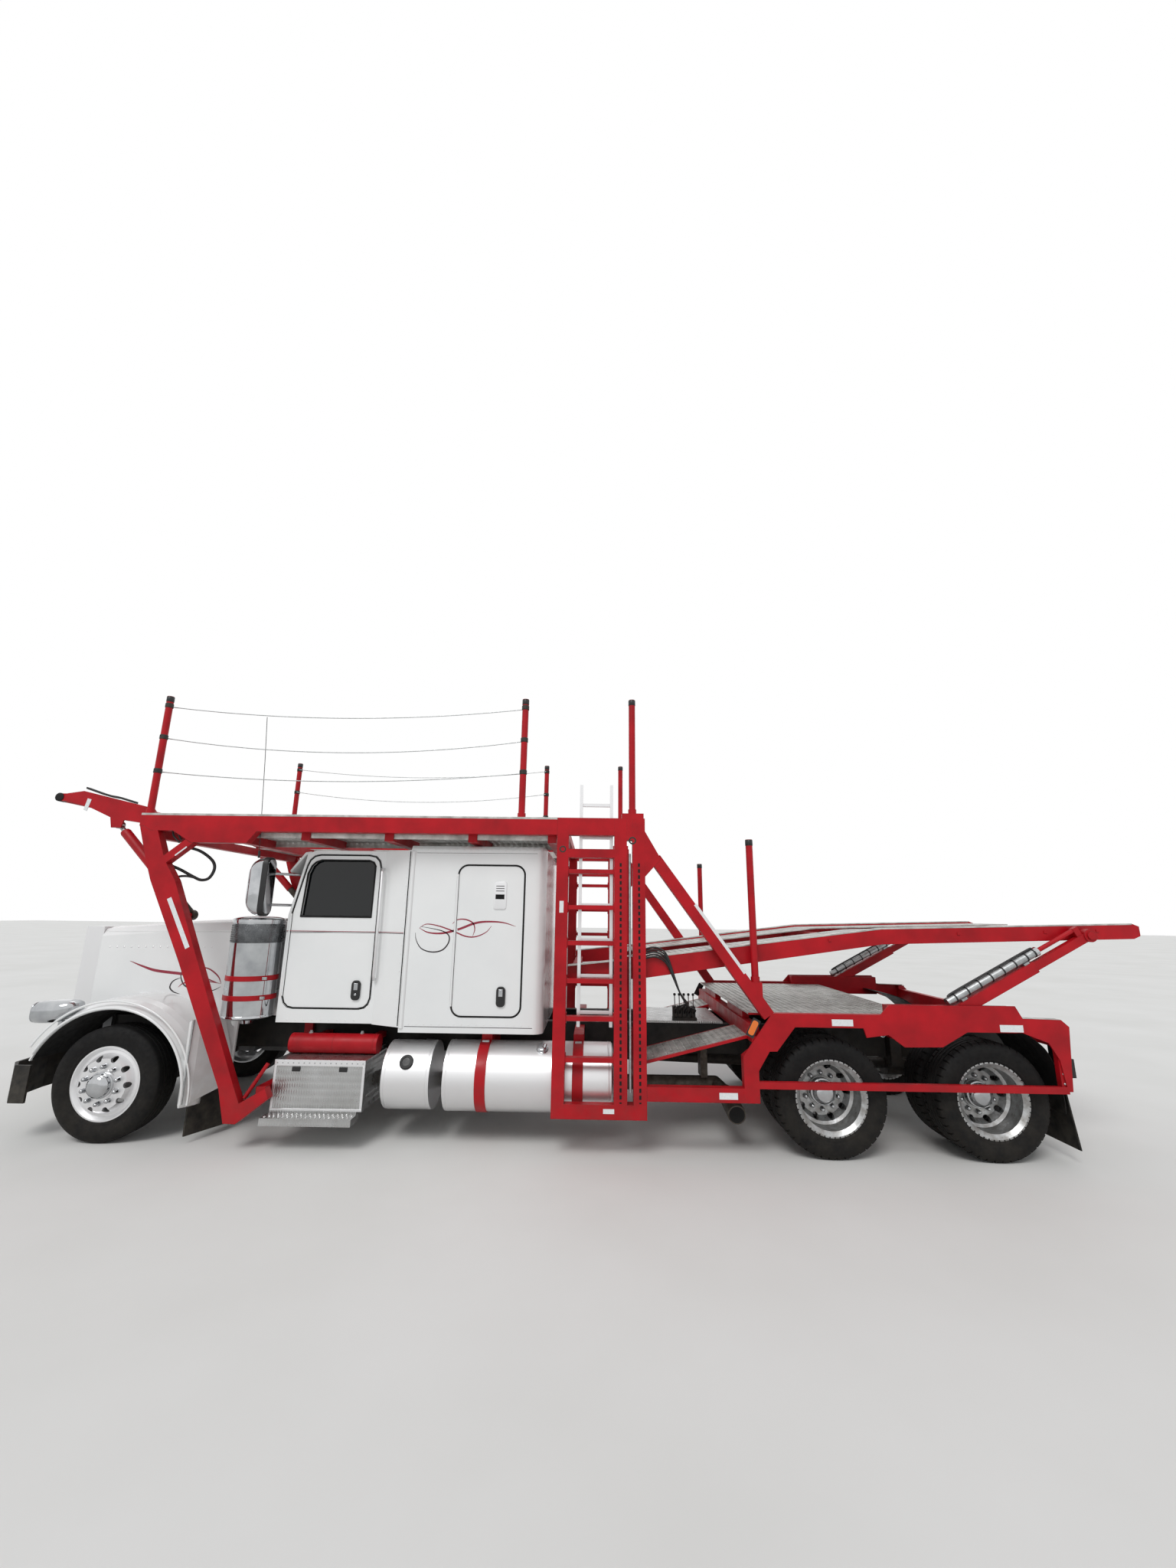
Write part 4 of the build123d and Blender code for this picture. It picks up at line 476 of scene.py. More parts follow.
# Bright zinc plate of bolts, ropes and cylinder barrels: grey with a dull shine
ZINC = Finish(
    "zinc_plated_steel", "B2B5B6", "8A8C8C", roughness=0.34, spread=0.1, metallic=0.9, patch_mm=30.0, patch=0.8,
    grain_mm=1.5, grain_depth=0.04)
# Moulded ABS of recesses, lamp bodies and the dashboard: black with a fine grain
BLACK_ABS = Finish(
    "moulded_abs_black", "141415", "1E1E1F", roughness=0.45, spread=0.08, patch_mm=80.0, patch=0.6, grain_mm=1.2,
    grain_depth=0.1)
# Woven polyester of seats and bunk: dark and matt
SEAT_CLOTH = Finish(
    "woven_polyester_cloth", "3A3B40", "2B2C30", roughness=0.9, spread=0.05, patch_mm=40.0, patch=0.9, grain_mm=3.0,
    grain_depth=0.5)
# Prismatic reflective sheet: white and bright for its size
REFLECTOR = Finish(
    "reflective_sheet_white", "E6E9E9", "D2D6D7", roughness=0.28, spread=0.05, coat=0.4, patch_mm=20.0, patch=0.6,
    grain_mm=1.0, grain_depth=0.05)
# Signwriting enamel of the pinstripes, laid on by brush: maroon and near-black, glossy
STRIPE_RED = Finish(
    "signwriting_enamel_maroon", "8E1230", "A11C3A", roughness=0.25, spread=0.05, coat=0.4, patch_mm=60.0)
STRIPE_BLACK = Finish(
    "signwriting_enamel_black", "221A1E", "33262B", roughness=0.25, spread=0.05, coat=0.4, patch_mm=60.0)
# Wrapped hydraulic hose: satin black rubber
HOSE_RUBBER = Finish(
    "wrapped_hose_rubber", "151516", "222223", roughness=0.5, spread=0.1, patch_mm=20.0, patch=0.8, grain_mm=1.5,
    grain_depth=0.2)
# Perforated steel of the intake screens: smoky grey under its chrome
SCREEN_STEEL = Finish(
    "perforated_chromed_steel", "6C6E70", "4A4C4E", roughness=0.25, spread=0.08, metallic=0.9, patch_mm=60.0, patch=0.8)
# Aluminised steel of the exhaust after heat: dull brown-grey
HEATED_STEEL = Finish(
    "heated_aluminised_steel", "5B554E", "3C342C", roughness=0.55, spread=0.12, metallic=0.7, patch_mm=60.0, patch=0.9,
    grain_mm=4.0, grain_depth=0.2)
# Painted shade: flat black that stands for the shade inside holes, slots and openings, with no gloss at all
PAINTED_HOLE_SHADE = Finish("bare_hole_shadow", "050505", "0A0A0A", roughness=0.95, spread=0.04, patch_mm=10.0)
# Sealed concrete-pale floor: even and matt
FLOOR_PALE = Finish(
    "sealed_pale_floor", "E2E1DE", "D9D8D4", roughness=0.7, spread=0.08, patch_mm=2200.0, patch=0.7, edge_mm=0.1)
GLASS = SafetyGlass("tinted_safety_glass")
AMBER = LampLens("acrylic_lens_amber", "E5700F")
LAMP_RED = LampLens("acrylic_lens_red", "B3121B")
CLEAR_LENS = LampLens("acrylic_lens_clear", "D9E0E4", rib_mm=12.0)


def rounded(width: float, height: float, corner: float, steps: int = 5) -> list[Flat]:
    """List the points of a rectangle with round corners about its middle.

    Args:
        width: Its width.
        height: Its height.
        corner: The corners' radius.
        steps: How many points each corner has.

    Returns:
        The points.
    """
    points = []
    for quarter, (a, b) in enumerate(((1, 1), (-1, 1), (-1, -1), (1, -1))):
        for step in range(steps):
            angle = math.pi / 2 * (quarter + step / (steps - 1))
            points.append((
                a * (width / 2 - corner) + corner * math.cos(angle),
                b * (height / 2 - corner) + corner * math.sin(angle)))
    return points


def closed(ring: Sequence[Point]) -> list[Point]:
    """Run a ring of points on past its start, so that a tube along it shuts."""
    return [*ring, *ring[:2]]


@dataclass
class Piece:
    """Mesh parts that share one finish and ride on one body. Each method that adds to it returns it.

    Attributes:
        name: The object's name.
        finish: The material it gets.
        body: The body it moves with.
        bevel: Width of its rounded edges.
        smooth: Edges flatter than this many degrees are shaded smooth.
    """

    name: str
    finish: Surface
    body: str = "truck"
    bevel: float = 0.0
    smooth: float = 35.0
    mesh: bmesh.types.BMesh = field(default_factory=bmesh.new)

    def add(self, points: Sequence[Sequence[float]], faces: Iterable[Sequence[int]]) -> "Piece":
        """Add points and the faces between them.

        Args:
            points: Points counted from the front axle.
            faces: Indices into the points.

        Returns:
            The piece.
        """
        verts = [self.mesh.verts.new(p) for p in points]
        for face in faces:
            self.mesh.faces.new([verts[i] for i in face])
        return self

    def block(self, low: Point, high: Point) -> "Piece":
        """Add a plain bar or plate, which the bevel rounds.

        Args:
            low: The corner with the smallest coordinates.
            high: The corner with the largest ones.

        Returns:
            The piece.
        """
        (x0, y0, z0), (x1, y1, z1) = low, high
        return self.prism([(x0, z0), (x1, z0), (x1, z1), (x0, z1)], y0, y1)

    def prism(self, outline: Sequence[Flat], low: float, high: float) -> "Piece":
        """Extrude an outline of the side view across the truck."""
        return self.loft([at_y(outline, low), at_y(outline, high)])

    def turn(self, profile: Sequence[Flat], centre: Point, along: Point, steps: int = 32) -> "Piece":
        """Turn a profile about an axis.

        Args:
            profile: Pairs of radius and distance along the axis.
            centre: Where distance zero lies.
            along: The axis, in the direction that distances count.
            steps: Faces round the axis.

        Returns:
            The piece.
        """
        axis = Vector(along).normalized()
        u = axis.orthogonal().normalized()
        v = axis.cross(u)
        points, faces = [], []
        count = len(profile)
        for step in range(steps):
            angle = 2 * math.pi * step / steps
            out = u * math.cos(angle) + v * math.sin(angle)
            points += [Vector(centre) + axis * distance + out * radius for radius, distance in profile]
            here, there = step * count, ((step + 1) % steps) * count
            faces += [(here + i, there + i, there + i + 1, here + i + 1) for i in range(count - 1)]
        return self.add(points, faces)

    def tube(self, path: Sequence[Point], radius: float, sides: int = 8) -> "Piece":
        """Sweep a round section along a path.

        Args:
            path: Points counted from the front axle.
            radius: The section's radius.
            sides: Faces round the section.

        Returns:
            The piece.
        """
        line = [Vector(p) for p in path]
        last = len(line) - 1
        tangents = [(line[min(i + 1, last)] - line[max(i - 1, 0)]).normalized() for i in range(last + 1)]
        angles = [2 * math.pi * k / sides for k in range(sides)]
        side = tangents[0].orthogonal().normalized()
        rings = []
        for point, tangent in zip(line, tangents):
            side = (side - tangent * side.dot(tangent)).normalized()
            other = tangent.cross(side)
            rings.append([
                point + side * (radius * math.cos(angle)) + other * (radius * math.sin(angle)) for angle in angles])
        return self.loft(rings)

    def ribbon(self, path: Sequence[Point], widths: Sequence[float], normal: Point, lift: float = 0.0006) -> "Piece":
        """Lay a flat brush stroke of changing width on a surface.

        Args:
            path: Points on the surface.
            widths: The stroke's width at each point.
            normal: The surface's outward direction.
            lift: How far the paint stands proud.

        Returns:
            The piece.
        """
        out = Vector(normal).normalized()
        line = [Vector(p) + out * lift for p in path]
        points = []
        for index, point in enumerate(line):
            tangent = (line[min(index + 1, len(line) - 1)] - line[max(index - 1, 0)]).normalized()
            across = out.cross(tangent).normalized() * (widths[index] / 2)
            points += [point + across, point - across]
        return self.add(points, [(2 * i, 2 * i + 1, 2 * i + 3, 2 * i + 2) for i in range(len(line) - 1)])

    def heads(self, places: Iterable[Point], along: Point, radius: float, height: float, sides: int = 8) -> "Piece":
        """Set rivet or bolt heads on a face.

        Args:
            places: The middle of each head on the face.
            along: The direction that the face looks in.
            radius: The head's radius.
            height: How far it stands proud.
            sides: Faces round the head.

        Returns:
            The piece.
        """
        dome = [(radius, 0.0), (radius * 0.86, height * 0.55), (radius * 0.45, height * 0.93), (0.0005, height)]
        for place in places:
            self.turn(dome, place, along, sides)
        return self

    def perforated(self, corner: Point, u: Point, v: Point, cells: tuple[int, int], thickness: float) -> "Piece":
        """Lay a sheet with a grid of eight-sided holes, each about half as wide as its cell.

        Args:
            corner: One corner of the sheet's top face.
            u: The edge along the first direction.
            v: The edge along the second direction.
            cells: How many holes each way.
            thickness: The sheet's thickness.

        Returns:
            The piece.
        """
        start, du, dv = Vector(corner), Vector(u) / cells[0], Vector(v) / cells[1]
        down = du.cross(dv).normalized() * -thickness
        if down.z > 0:
            down = -down
        spread = 0.52 / 1.85
        angles = [math.radians(22.5 + 45 * k) for k in range(8)]
        hole = [(math.cos(angle) * spread, math.sin(angle) * spread) for angle in angles]
        rim = [(0.5, 0.21), (0.21, 0.5), (-0.21, 0.5), (-0.5, 0.21), (-0.5, -0.21), (-0.21, -0.5), (0.21, -0.5),
               (0.5, -0.21)]
        tips = {1: (0.5, 0.5), 3: (-0.5, 0.5), 5: (-0.5, -0.5), 7: (0.5, -0.5)}
        faces = []
        for k in range(8):
            n = (k + 1) % 8
            faces += [(k, n, n + 8, k + 8), (k + 8, n + 8, n + 24, k + 24), (k + 24, n + 24, n + 16, k + 16)]
        for number, k in enumerate(tips):
            tip = 32 + 2 * number
            faces += [(k - 1, tip, k), (k + 16, tip + 1, k + 15)]
        for i in range(cells[0]):
            for j in range(cells[1]):
                middle = start + du * (i + 0.5) + dv * (j + 0.5)
                outer, inner, outermost = (
                    [middle + du * a + dv * b for a, b in ring] for ring in (rim, hole, tips.values()))
                points = outer + inner + [p + down for p in outer] + [p + down for p in inner]
                for tip in outermost:
                    points += [tip, tip + down]
                self.add(points, faces)
        skirt = [start, start + Vector(u), start + Vector(u) + Vector(v), start + Vector(v)]
        self.add(skirt + [p + down for p in skirt], [(k, (k + 1) % 4, (k + 1) % 4 + 4, k + 4) for k in range(4)])
        bmesh.ops.remove_doubles(self.mesh, verts=self.mesh.verts[:], dist=0.00005)
        return self

    def loft(self, rings: Sequence[Sequence[Point]]) -> "Piece":
        """Join closed rings of equal count into a shell with both ends shut.

        Args:
            rings: The rings in order.

        Returns:
            The piece.
        """
        count = len(rings[0])
        points = [point for ring in rings for point in ring]
        faces = [tuple(range(count)), tuple(range(len(points) - 1, len(points) - count - 1, -1))]
        for base in range(0, len(points) - count, count):
            faces += [
                (base + k, base + (k + 1) % count, base + count + (k + 1) % count, base + count + k)
                for k in range(count)]
        return self.add(points, faces)

    def pillow(
            self, axis: Axis, middle: Flat, outline: Sequence[Flat], layers: Iterable[tuple[float, ...]]) -> "Piece":
        """Join scaled copies of a flat outline into a shell.

        Args:
            axis: The direction that the copies look in.
            middle: Their middle in the other two axes.
            outline: The outline about its middle.
            layers: For each copy its place along the axis and its scale, or one scale for each way.

        Returns:
            The piece.
        """
        return self.loft([
            [axis.place(along, (middle[0] + a * scales[0], middle[1] + b * scales[-1])) for a, b in outline]
            for along, *scales in layers])

    def make(self) -> bpy.types.Object:
        """Turn what was gathered into an object that rides on its body.

        Returns:
            The new object.
        """
        bmesh.ops.translate(self.mesh, verts=self.mesh.verts[:], vec=(AXLE_X, 0.0, 0.0))
        bmesh.ops.recalc_face_normals(self.mesh, faces=self.mesh.faces[:])
        data = bpy.data.meshes.new(self.name)
        self.mesh.to_mesh(data)
        self.mesh.free()
        data.materials.append(self.finish.build())
        obj = bpy.data.objects.new(self.name, data)
        bpy.context.scene.collection.objects.link(obj)
        data.shade_smooth()
        data.set_sharp_from_angle(angle=math.radians(self.smooth))
        if self.bevel:
            bevel = obj.modifiers.new("rounded_edges", "BEVEL")
            bevel.width = self.bevel
            bevel.segments = 2
            bevel.limit_method = "ANGLE"
            bevel.angle_limit = math.radians(40.0)
            bevel.harden_normals = True
        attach(obj, self.body)
        LOG.info("%s: %d faces on %s", self.name, len(data.polygons), self.body)
        return obj

    def both(self) -> bpy.types.Object:
        """Copy what was gathered to the other side of the truck, and make the object.

        Returns:
            The new object.
        """
        copy = bmesh.ops.duplicate(self.mesh, geom=self.mesh.verts[:] + self.mesh.edges[:] + self.mesh.faces[:])
        for vert in (g for g in copy["geom"] if isinstance(g, bmesh.types.BMVert)):
            vert.co.y = -vert.co.y
        bmesh.ops.reverse_faces(self.mesh, faces=[g for g in copy["geom"] if isinstance(g, bmesh.types.BMFace)])
        return self.make()


def dress(finish: Surface, *nodes: str) -> None:
    """Give CAD nodes a finish.

    Args:
        finish: The finish.
        nodes: The nodes' names.
    """
    for name in nodes:
        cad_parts[name].data.materials.clear()
        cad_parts[name].data.materials.append(finish.build())
    LOG.info("%s on %d nodes", finish.name, len(nodes))


def touch(node: str, start: Point, towards: Point) -> Point:
    """Find where a straight line first meets a CAD node.

    Args:
        node: The node's name.
        start: Where the line starts, counted from the front axle.
        towards: The line's direction.

    Returns:
        The meeting point, counted from the front axle.
    """
    origin = Vector(start) + Vector((AXLE_X, 0.0, 0.0))
    graph = bpy.context.evaluated_depsgraph_get()
    met, place, _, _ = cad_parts[node].ray_cast(origin, Vector(towards), depsgraph=graph)
    if not met:
        raise ValueError(f"{node} isn't met from {start}")
    return (place.x - AXLE_X, place.y, place.z)


def on_left(node: str, x: float, z: float) -> Point:
    """Find a CAD node's left face at a place."""
    return touch(node, (x, OUTSIDE_Y, z), (0.0, 1.0, 0.0))


def between(start: Sequence[float], end: Sequence[float], count: int) -> list[Point]:
    """List evenly spaced points from one end to the other."""
    return [tuple(Vector(start).lerp(Vector(end), i / (count - 1))) for i in range(count)]


def smooth_path(points: Sequence[Sequence[float]], steps: int = 6) -> list[Point]:
    """Run a smooth curve through a few points.

    Args:
        points: The points that the curve passes.
        steps: Points added between each two.

    Returns:
        The curve's points.
    """
    line = [Vector(p) for p in points]
    line = [2 * line[0] - line[1]] + line + [2 * line[-1] - line[-2]]
    curve = []
    for a, b, c, d in zip(line, line[1:], line[2:], line[3:]):
        for step in range(steps):
            t = step / steps
            curve.append(tuple(0.5 * (
                2 * b + (c - a) * t + (2 * a - 5 * b + 4 * c - d) * t ** 2 + (3 * b - a - 3 * c + d) * t ** 3)))
    curve.append(tuple(line[-2]))
    return curve


def brush(count: int, widest: float, thinnest: float = 0.002) -> list[float]:
    """List the widths of a brush stroke that swells in its middle."""
    return [thinnest + (widest - thinnest) * math.sin(math.pi * i / (count - 1)) ** 0.8 for i in range(count)]


def arc(centre: Flat, radius: float, start: float, end: float, count: int) -> list[Flat]:
    """List points on an upright arc, as x and z.

    Args:
        centre: Its centre as x and z.
        radius: Its radius.
        start: The first angle in degrees, from the tail's direction upwards.
        end: The last angle.
        count: How many points there are.

    Returns:
        The points.
    """
    angles = [math.radians(start + (end - start) * i / (count - 1)) for i in range(count)]
    return [(centre[0] + radius * math.cos(a), centre[1] + radius * math.sin(a)) for a in angles]


def at_y(flat: Iterable[Flat], y: float) -> list[Point]:
    """Stand points given as x and z at a place across the truck."""
    return [(x, y, z) for x, z in flat]


# Half of a tyre's section from its crown to its bead, as distance from the middle plane and radius
HALF_TYRE: Line = (
    (0.0, 0.460), (0.0175, 0.460), (0.019, 0.447), (0.027, 0.447), (0.0285, 0.460), (0.058, 0.4597), (0.0595, 0.4465),
    (0.0675, 0.4465), (0.069, 0.459), (0.096, 0.4575), (0.108, 0.4555), (0.117, 0.451), (0.122, 0.444), (0.128, 0.436),
    (0.135, 0.424), (0.1395, 0.410), (0.142, 0.396), (0.1425, 0.384), (0.1425, 0.372), (0.1405, 0.360), (0.137, 0.342),
    (0.1335, 0.328), (0.131, 0.322), (0.1315, 0.318), (0.129, 0.310), (0.122, 0.300), (0.112, 0.292))
NUT_COVER: Line = (
    (0.020, 0.0), (0.0205, 0.006), (0.018, 0.009), (0.0175, 0.032), (0.013, 0.041), (0.006, 0.045), (0.0005, 0.0455))
HUB_DOME: Line = (
    (0.094, -0.03), (0.094, -0.004), (0.090, 0.004), (0.086, 0.006), (0.080, 0.016), (0.062, 0.028), (0.036, 0.034),
    (0.0005, 0.036))
HUB_RING: Line = ((0.106, 0.0), (0.106, 0.012), (0.100, 0.016), (0.092, 0.016))


@dataclass
class Wheel:
    """The tyres, nut covers and hub cap at one end of an axle.

    Attributes:
        name: The end of its node and body names.
        x: The axle's place.
        centres: How far each tyre stands from the middle of the truck.
        disc: The face of the disc that the nuts hold.
        cap: The outer end of the hub.
        groove: How deep the lugs' cross grooves are.
        waver: How far the ribs' edges waver.
    """

    name: str
    side: Side
    x: float
    tread: Tread
    centres: tuple[float, ...]
    disc: float
    cap: float
    radius: float = 0.460
    nuts: int = 10
    nut_circle: float = 0.146
    ribs: int = 96
    lugs: int = 44
    groove: float = 0.011
    waver: float = 0.0015

    @property
    def front(self) -> bool:
        """Whether this is a steered wheel."""
        return self.tread is Tread.RIBS

    @property
    def body(self) -> str:
        """The body that spins."""
        return f"front_wheel_{self.name}" if self.front else f"rear_wheels_{self.name}"

    def section(self, row: int, sunk: bool) -> list[Flat]:
        """Give the tyre's full section at one row.

        Args:
            row: The row's number round the tyre.
            sunk: Whether a cross groove cuts the shoulder here.

        Returns:
            Pairs of distance from the middle plane and radius.
        """
        half = []
        for y, r in HALF_TYRE:
            if self.front and 0.01 < y < 0.07:
                y += self.waver * (-1) ** row
            if sunk and 0.068 < y < 0.124:
                r -= self.groove
            half.append((y, r))
        return [(-y, r) for y, r in reversed(half[1:])] + half

    def tyres(self) -> None:
        """Turn the tyres with their ribs or lugs, in place of the plain CAD rings."""
        if self.front:
            rows = [(2 * math.pi * i / self.ribs, False) for i in range(self.ribs)]
        else:
            shares = ((0.0, False), (0.025, True), (0.16, True), (0.185, False), (0.6, False))
            rows = [(2 * math.pi * (k + share) / self.lugs, sunk) for k in range(self.lugs) for share, sunk in shares]
        wide = 2 * len(HALF_TYRE) - 1
        faces = []
        for row in range(len(rows)):
            here, there = row * wide, ((row + 1) % len(rows)) * wide
            faces += [(here + k, there + k, there + k + 1, here + k + 1) for k in range(wide - 1)]
        piece = Piece(f"tyres_{self.name}", TYRE_RUBBER, self.body, smooth=38)
        for centre in self.centres:
            piece.add([
                (self.x + r * math.cos(angle), self.side.value * centre + y, self.radius + r * math.sin(angle))
                for number, (angle, sunk) in enumerate(rows) for y, r in self.section(number, sunk)], faces)
        node = f"front_tyre_{self.name}" if self.front else f"rear_tyres_{self.name}"
        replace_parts(piece.make(), node)

    def bright_parts(self) -> None:
        """Set the nut covers, the domed cap and its ring."""
        sign = self.side.value
        out = (0.0, float(sign), 0.0)
        piece = Piece(f"nut_covers_{self.name}", CHROME, self.body, smooth=50)
        for k in range(self.nuts):
            angle = 2 * math.pi * (k + 0.5) / self.nuts
            place = (
                self.x + self.nut_circle * math.cos(angle), sign * self.disc,
                self.radius + self.nut_circle * math.sin(angle))
            piece.turn(NUT_COVER, place, out, 12)
        piece.turn(HUB_DOME, (self.x, sign * self.cap, self.radius), out)
        piece.turn(HUB_RING, (self.x, sign * (self.cap - 0.045), self.radius), out).make()

    def make(self) -> None:
        """Build the whole wheel end."""
        self.tyres()
        self.bright_parts()
        if self.front:
            dress(POLISHED, f"front_rim_{self.name}")
        else:
            dress(WHEEL_ALUMINIUM, f"rear_rims_{self.name}")


@dataclass
class Hood:
    """The tilting hood with its fenders, grille, lamps, flaps and brushed stripes.

    Attributes:
        arch_centre: The middle of the wheel arch; arch_inner is its inner radius.
        lip_y: How far the arch's lip stands out.
        stripes: The strokes, the widest one first.
        black_stripes: The numbers of the black strokes; the others are maroon.
        pod_rings: For each ring of a lamp pod its x, middle height, width and height.
    """

    arch_centre: Flat = (-0.012, 0.367)
    arch_inner: float = 0.690
    lip_y: float = 1.180
    stripes: tuple[Line, ...] = (
        ((-0.366, 1.417), (-0.217, 1.368), (-0.072, 1.332), (0.191, 1.308), (0.393, 1.282), (0.579, 1.229)),
        ((0.211, 1.364), (0.181, 1.308), (0.202, 1.242), (0.249, 1.196), (0.352, 1.17), (0.51, 1.163), (0.603, 1.201)),
        ((0.348, 1.376), (0.46, 1.358), (0.559, 1.294), (0.599, 1.229)),
        ((0.186, 1.274), (0.113, 1.241), (0.089, 1.185), (0.13, 1.145), (0.2, 1.125)),
        ((0.171, 1.186), (0.234, 1.228), (0.398, 1.249), (0.599, 1.229)))
    black_stripes: tuple[int, ...] = (2, 4)
    pod_rings: tuple[tuple[float, ...], ...] = (
        (-0.806, 1.000, 0.212, 0.158), (-0.815, 1.000, 0.226, 0.170), (-0.800, 1.000, 0.238, 0.180),
        (-0.750, 1.003, 0.242, 0.188), (-0.680, 1.006, 0.242, 0.190), (-0.600, 1.012, 0.232, 0.176),
        (-0.540, 1.028, 0.205, 0.140), (-0.500, 1.038, 0.160, 0.100), (-0.478, 1.042, 0.100, 0.060))
    lamp_y: float = -0.970

    def arch(self) -> None:
        """Run the raised beads round each wheel arch and line it with black sheet."""
        bead = Piece("arch_beads", HULL_WHITE, "hood", smooth=60)
        bead.tube(at_y(arc(self.arch_centre, self.arch_inner + 0.014, -4.0, 152.0, 60), -self.lip_y), 0.012, 10)
        bead.tube(at_y(arc(self.arch_centre, self.arch_inner + 0.070, -4.0, 150.0, 60), -self.lip_y + 0.006), 0.009)
        bead.both()
        outer, inner = (arc(self.arch_centre, self.arch_inner - gap, -5.0, 156.0, 48) for gap in (0.0015, 0.005))
        Piece("arch_liners", SHEET_RUBBER, "hood").prism(outer + inner[::-1], -1.165, -0.650).both()

    def rivets(self) -> None:
        """Set the rivet rows of the hood's side and rear edge, and the crease bead."""
        places = [on_left("hood", x, 1.543 + 0.017 * (x + 0.63)) for x in [-0.60 + 0.075 * i for i in range(15)]]
        places += [on_left("hood", x, z) for x, _, z in between((0.616, 0, 1.67), (0.80, 0, 1.02), 9)]
        Piece("hood_rivets", POLISHED, "hood", smooth=60).heads(places, OUTWARD, 0.009, 0.004).both()
        line = [on_left("hood", x, 1.688 + 0.013 * (x + 0.66)) for x in [-0.66 + 0.15 * i for i in range(12)]]
        Piece("hood_crease", HULL_WHITE, "hood", smooth=60).tube(line, 0.004).both()

    def brushed_stripes(self) -> None:
        """Brush the curling stripes on the hood's side."""
        for number, stroke in enumerate(self.stripes, 1):
            path = [on_left("hood", x, z) for x, _, z in smooth_path(at_y(stroke, 0.0), 7)]
            finish = STRIPE_BLACK if number in self.black_stripes else STRIPE_RED
            widths = brush(len(path), 0.026 if number == 1 else 0.014)
            Piece(f"hood_stripe_{number}", finish, "hood").ribbon(path, widths, (-0.07, -1.0, 0.0), 0.001).both()

    def lamps(self) -> None:
        """Round the chrome lamp pods, stand them on their posts, glaze them and frame each lens."""
        pod = Piece("headlamp_pods", CHROME, "hood", smooth=60)
        pod.loft([
            [(x, self.lamp_y + a, z + b) for a, b in rounded(width, height, 0.42 * height, 8)]
            for x, z, width, height in self.pod_rings])
        pod.tube([(-0.630, -0.957, 0.960), (-0.630, -0.957, 0.868)], 0.024, 16)
        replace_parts(pod.both(), "headlamps")
        Piece("headlamp_lenses", CLEAR_LENS, "hood", smooth=50).pillow(
            Axis.X, (self.lamp_y, 1.004), rounded(0.205, 0.155, 0.05),
            ((-0.806, 1.0), (-0.822, 0.97), (-0.831, 0.86), (-0.836, 0.6))).both()
        bezel = [(-0.817, self.lamp_y + a, 1.002 + b) for a, b in rounded(0.214, 0.160, 0.055)]
        Piece("headlamp_bezels", CHROME, "hood", smooth=60).tube(closed(bezel), 0.007).both()

    def grille(self) -> None:
        """Back the grille with a flat black sheet of painted shade, and with mesh."""
        Piece("grille_backing", PAINTED_HOLE_SHADE, "hood", bevel=0.002).block(
            (-0.722, -0.535, 0.715), (-0.712, 0.535, 1.680)).make()
        mesh = Piece("grille_mesh", CAST_IRON, "hood")
        for y in [-0.52 + 0.04 * i for i in range(27)]:
            mesh.block((-0.730, y - 0.002, 0.72), (-0.726, y + 0.002, 1.675))
        for z in [0.74 + 0.04 * i for i in range(24)]:
            mesh.block((-0.7305, -0.53, z - 0.002), (-0.7265, 0.53, z + 0.002))
        mesh.make()

    def make(self) -> None:
        """Build and dress everything that tilts with the hood."""
        dress(HULL_WHITE, "hood")
        dress(POLISHED, "grille")
        dress(CHROME, "headlamps")
        dress(SHEET_RUBBER, "front_flaps")
        self.arch()
        self.rivets()
        self.brushed_stripes()
        self.lamps()
        self.grille()
        Piece("flap_piping", ZINC, "hood", smooth=60).tube(
            [(0.700, -1.172, 0.985), (0.700, -1.176, 0.60), (0.702, -1.176, 0.32)], 0.006).both()


@dataclass
class Latch:
    """A paddle latch in its black recess.

    Attributes:
        recess: The recess's name; paddle is the name of the paddle in it.
        face: How far the door's face stands from the middle of the truck.
        middle: The recess's middle; width is its width.
        reach: Where the paddle starts and ends along X.
    """

    recess: str
    paddle: str
    face: float
    middle: Flat
    width: float
    reach: Flat

    def fit(self, side: Side, body: str) -> None:
        """Set the latch on one door.

        Args:
            side: The door's side.
            body: The door's body.
        """
        layers = [
            (side.value * (self.face + lift), share) for lift, share in ((0.010, 1.06), (0.0165, 1.02), (0.0172, 0.9))]
        Piece(f"{self.recess}_{side.label}", BLACK_ABS, body, smooth=50).pillow(
            Axis.Y, self.middle, rounded(self.width, 0.160, 0.03), layers).make()
        low, high = sorted(side.value * (self.face + lift) for lift in (0.015, 0.024))
        foot = self.middle[1] + 0.002
        Piece(f"{self.paddle}_{side.label}", CHROME, body, bevel=0.003).block(
            (self.reach[0], low, foot), (self.reach[1], high, foot + 0.060)).make()


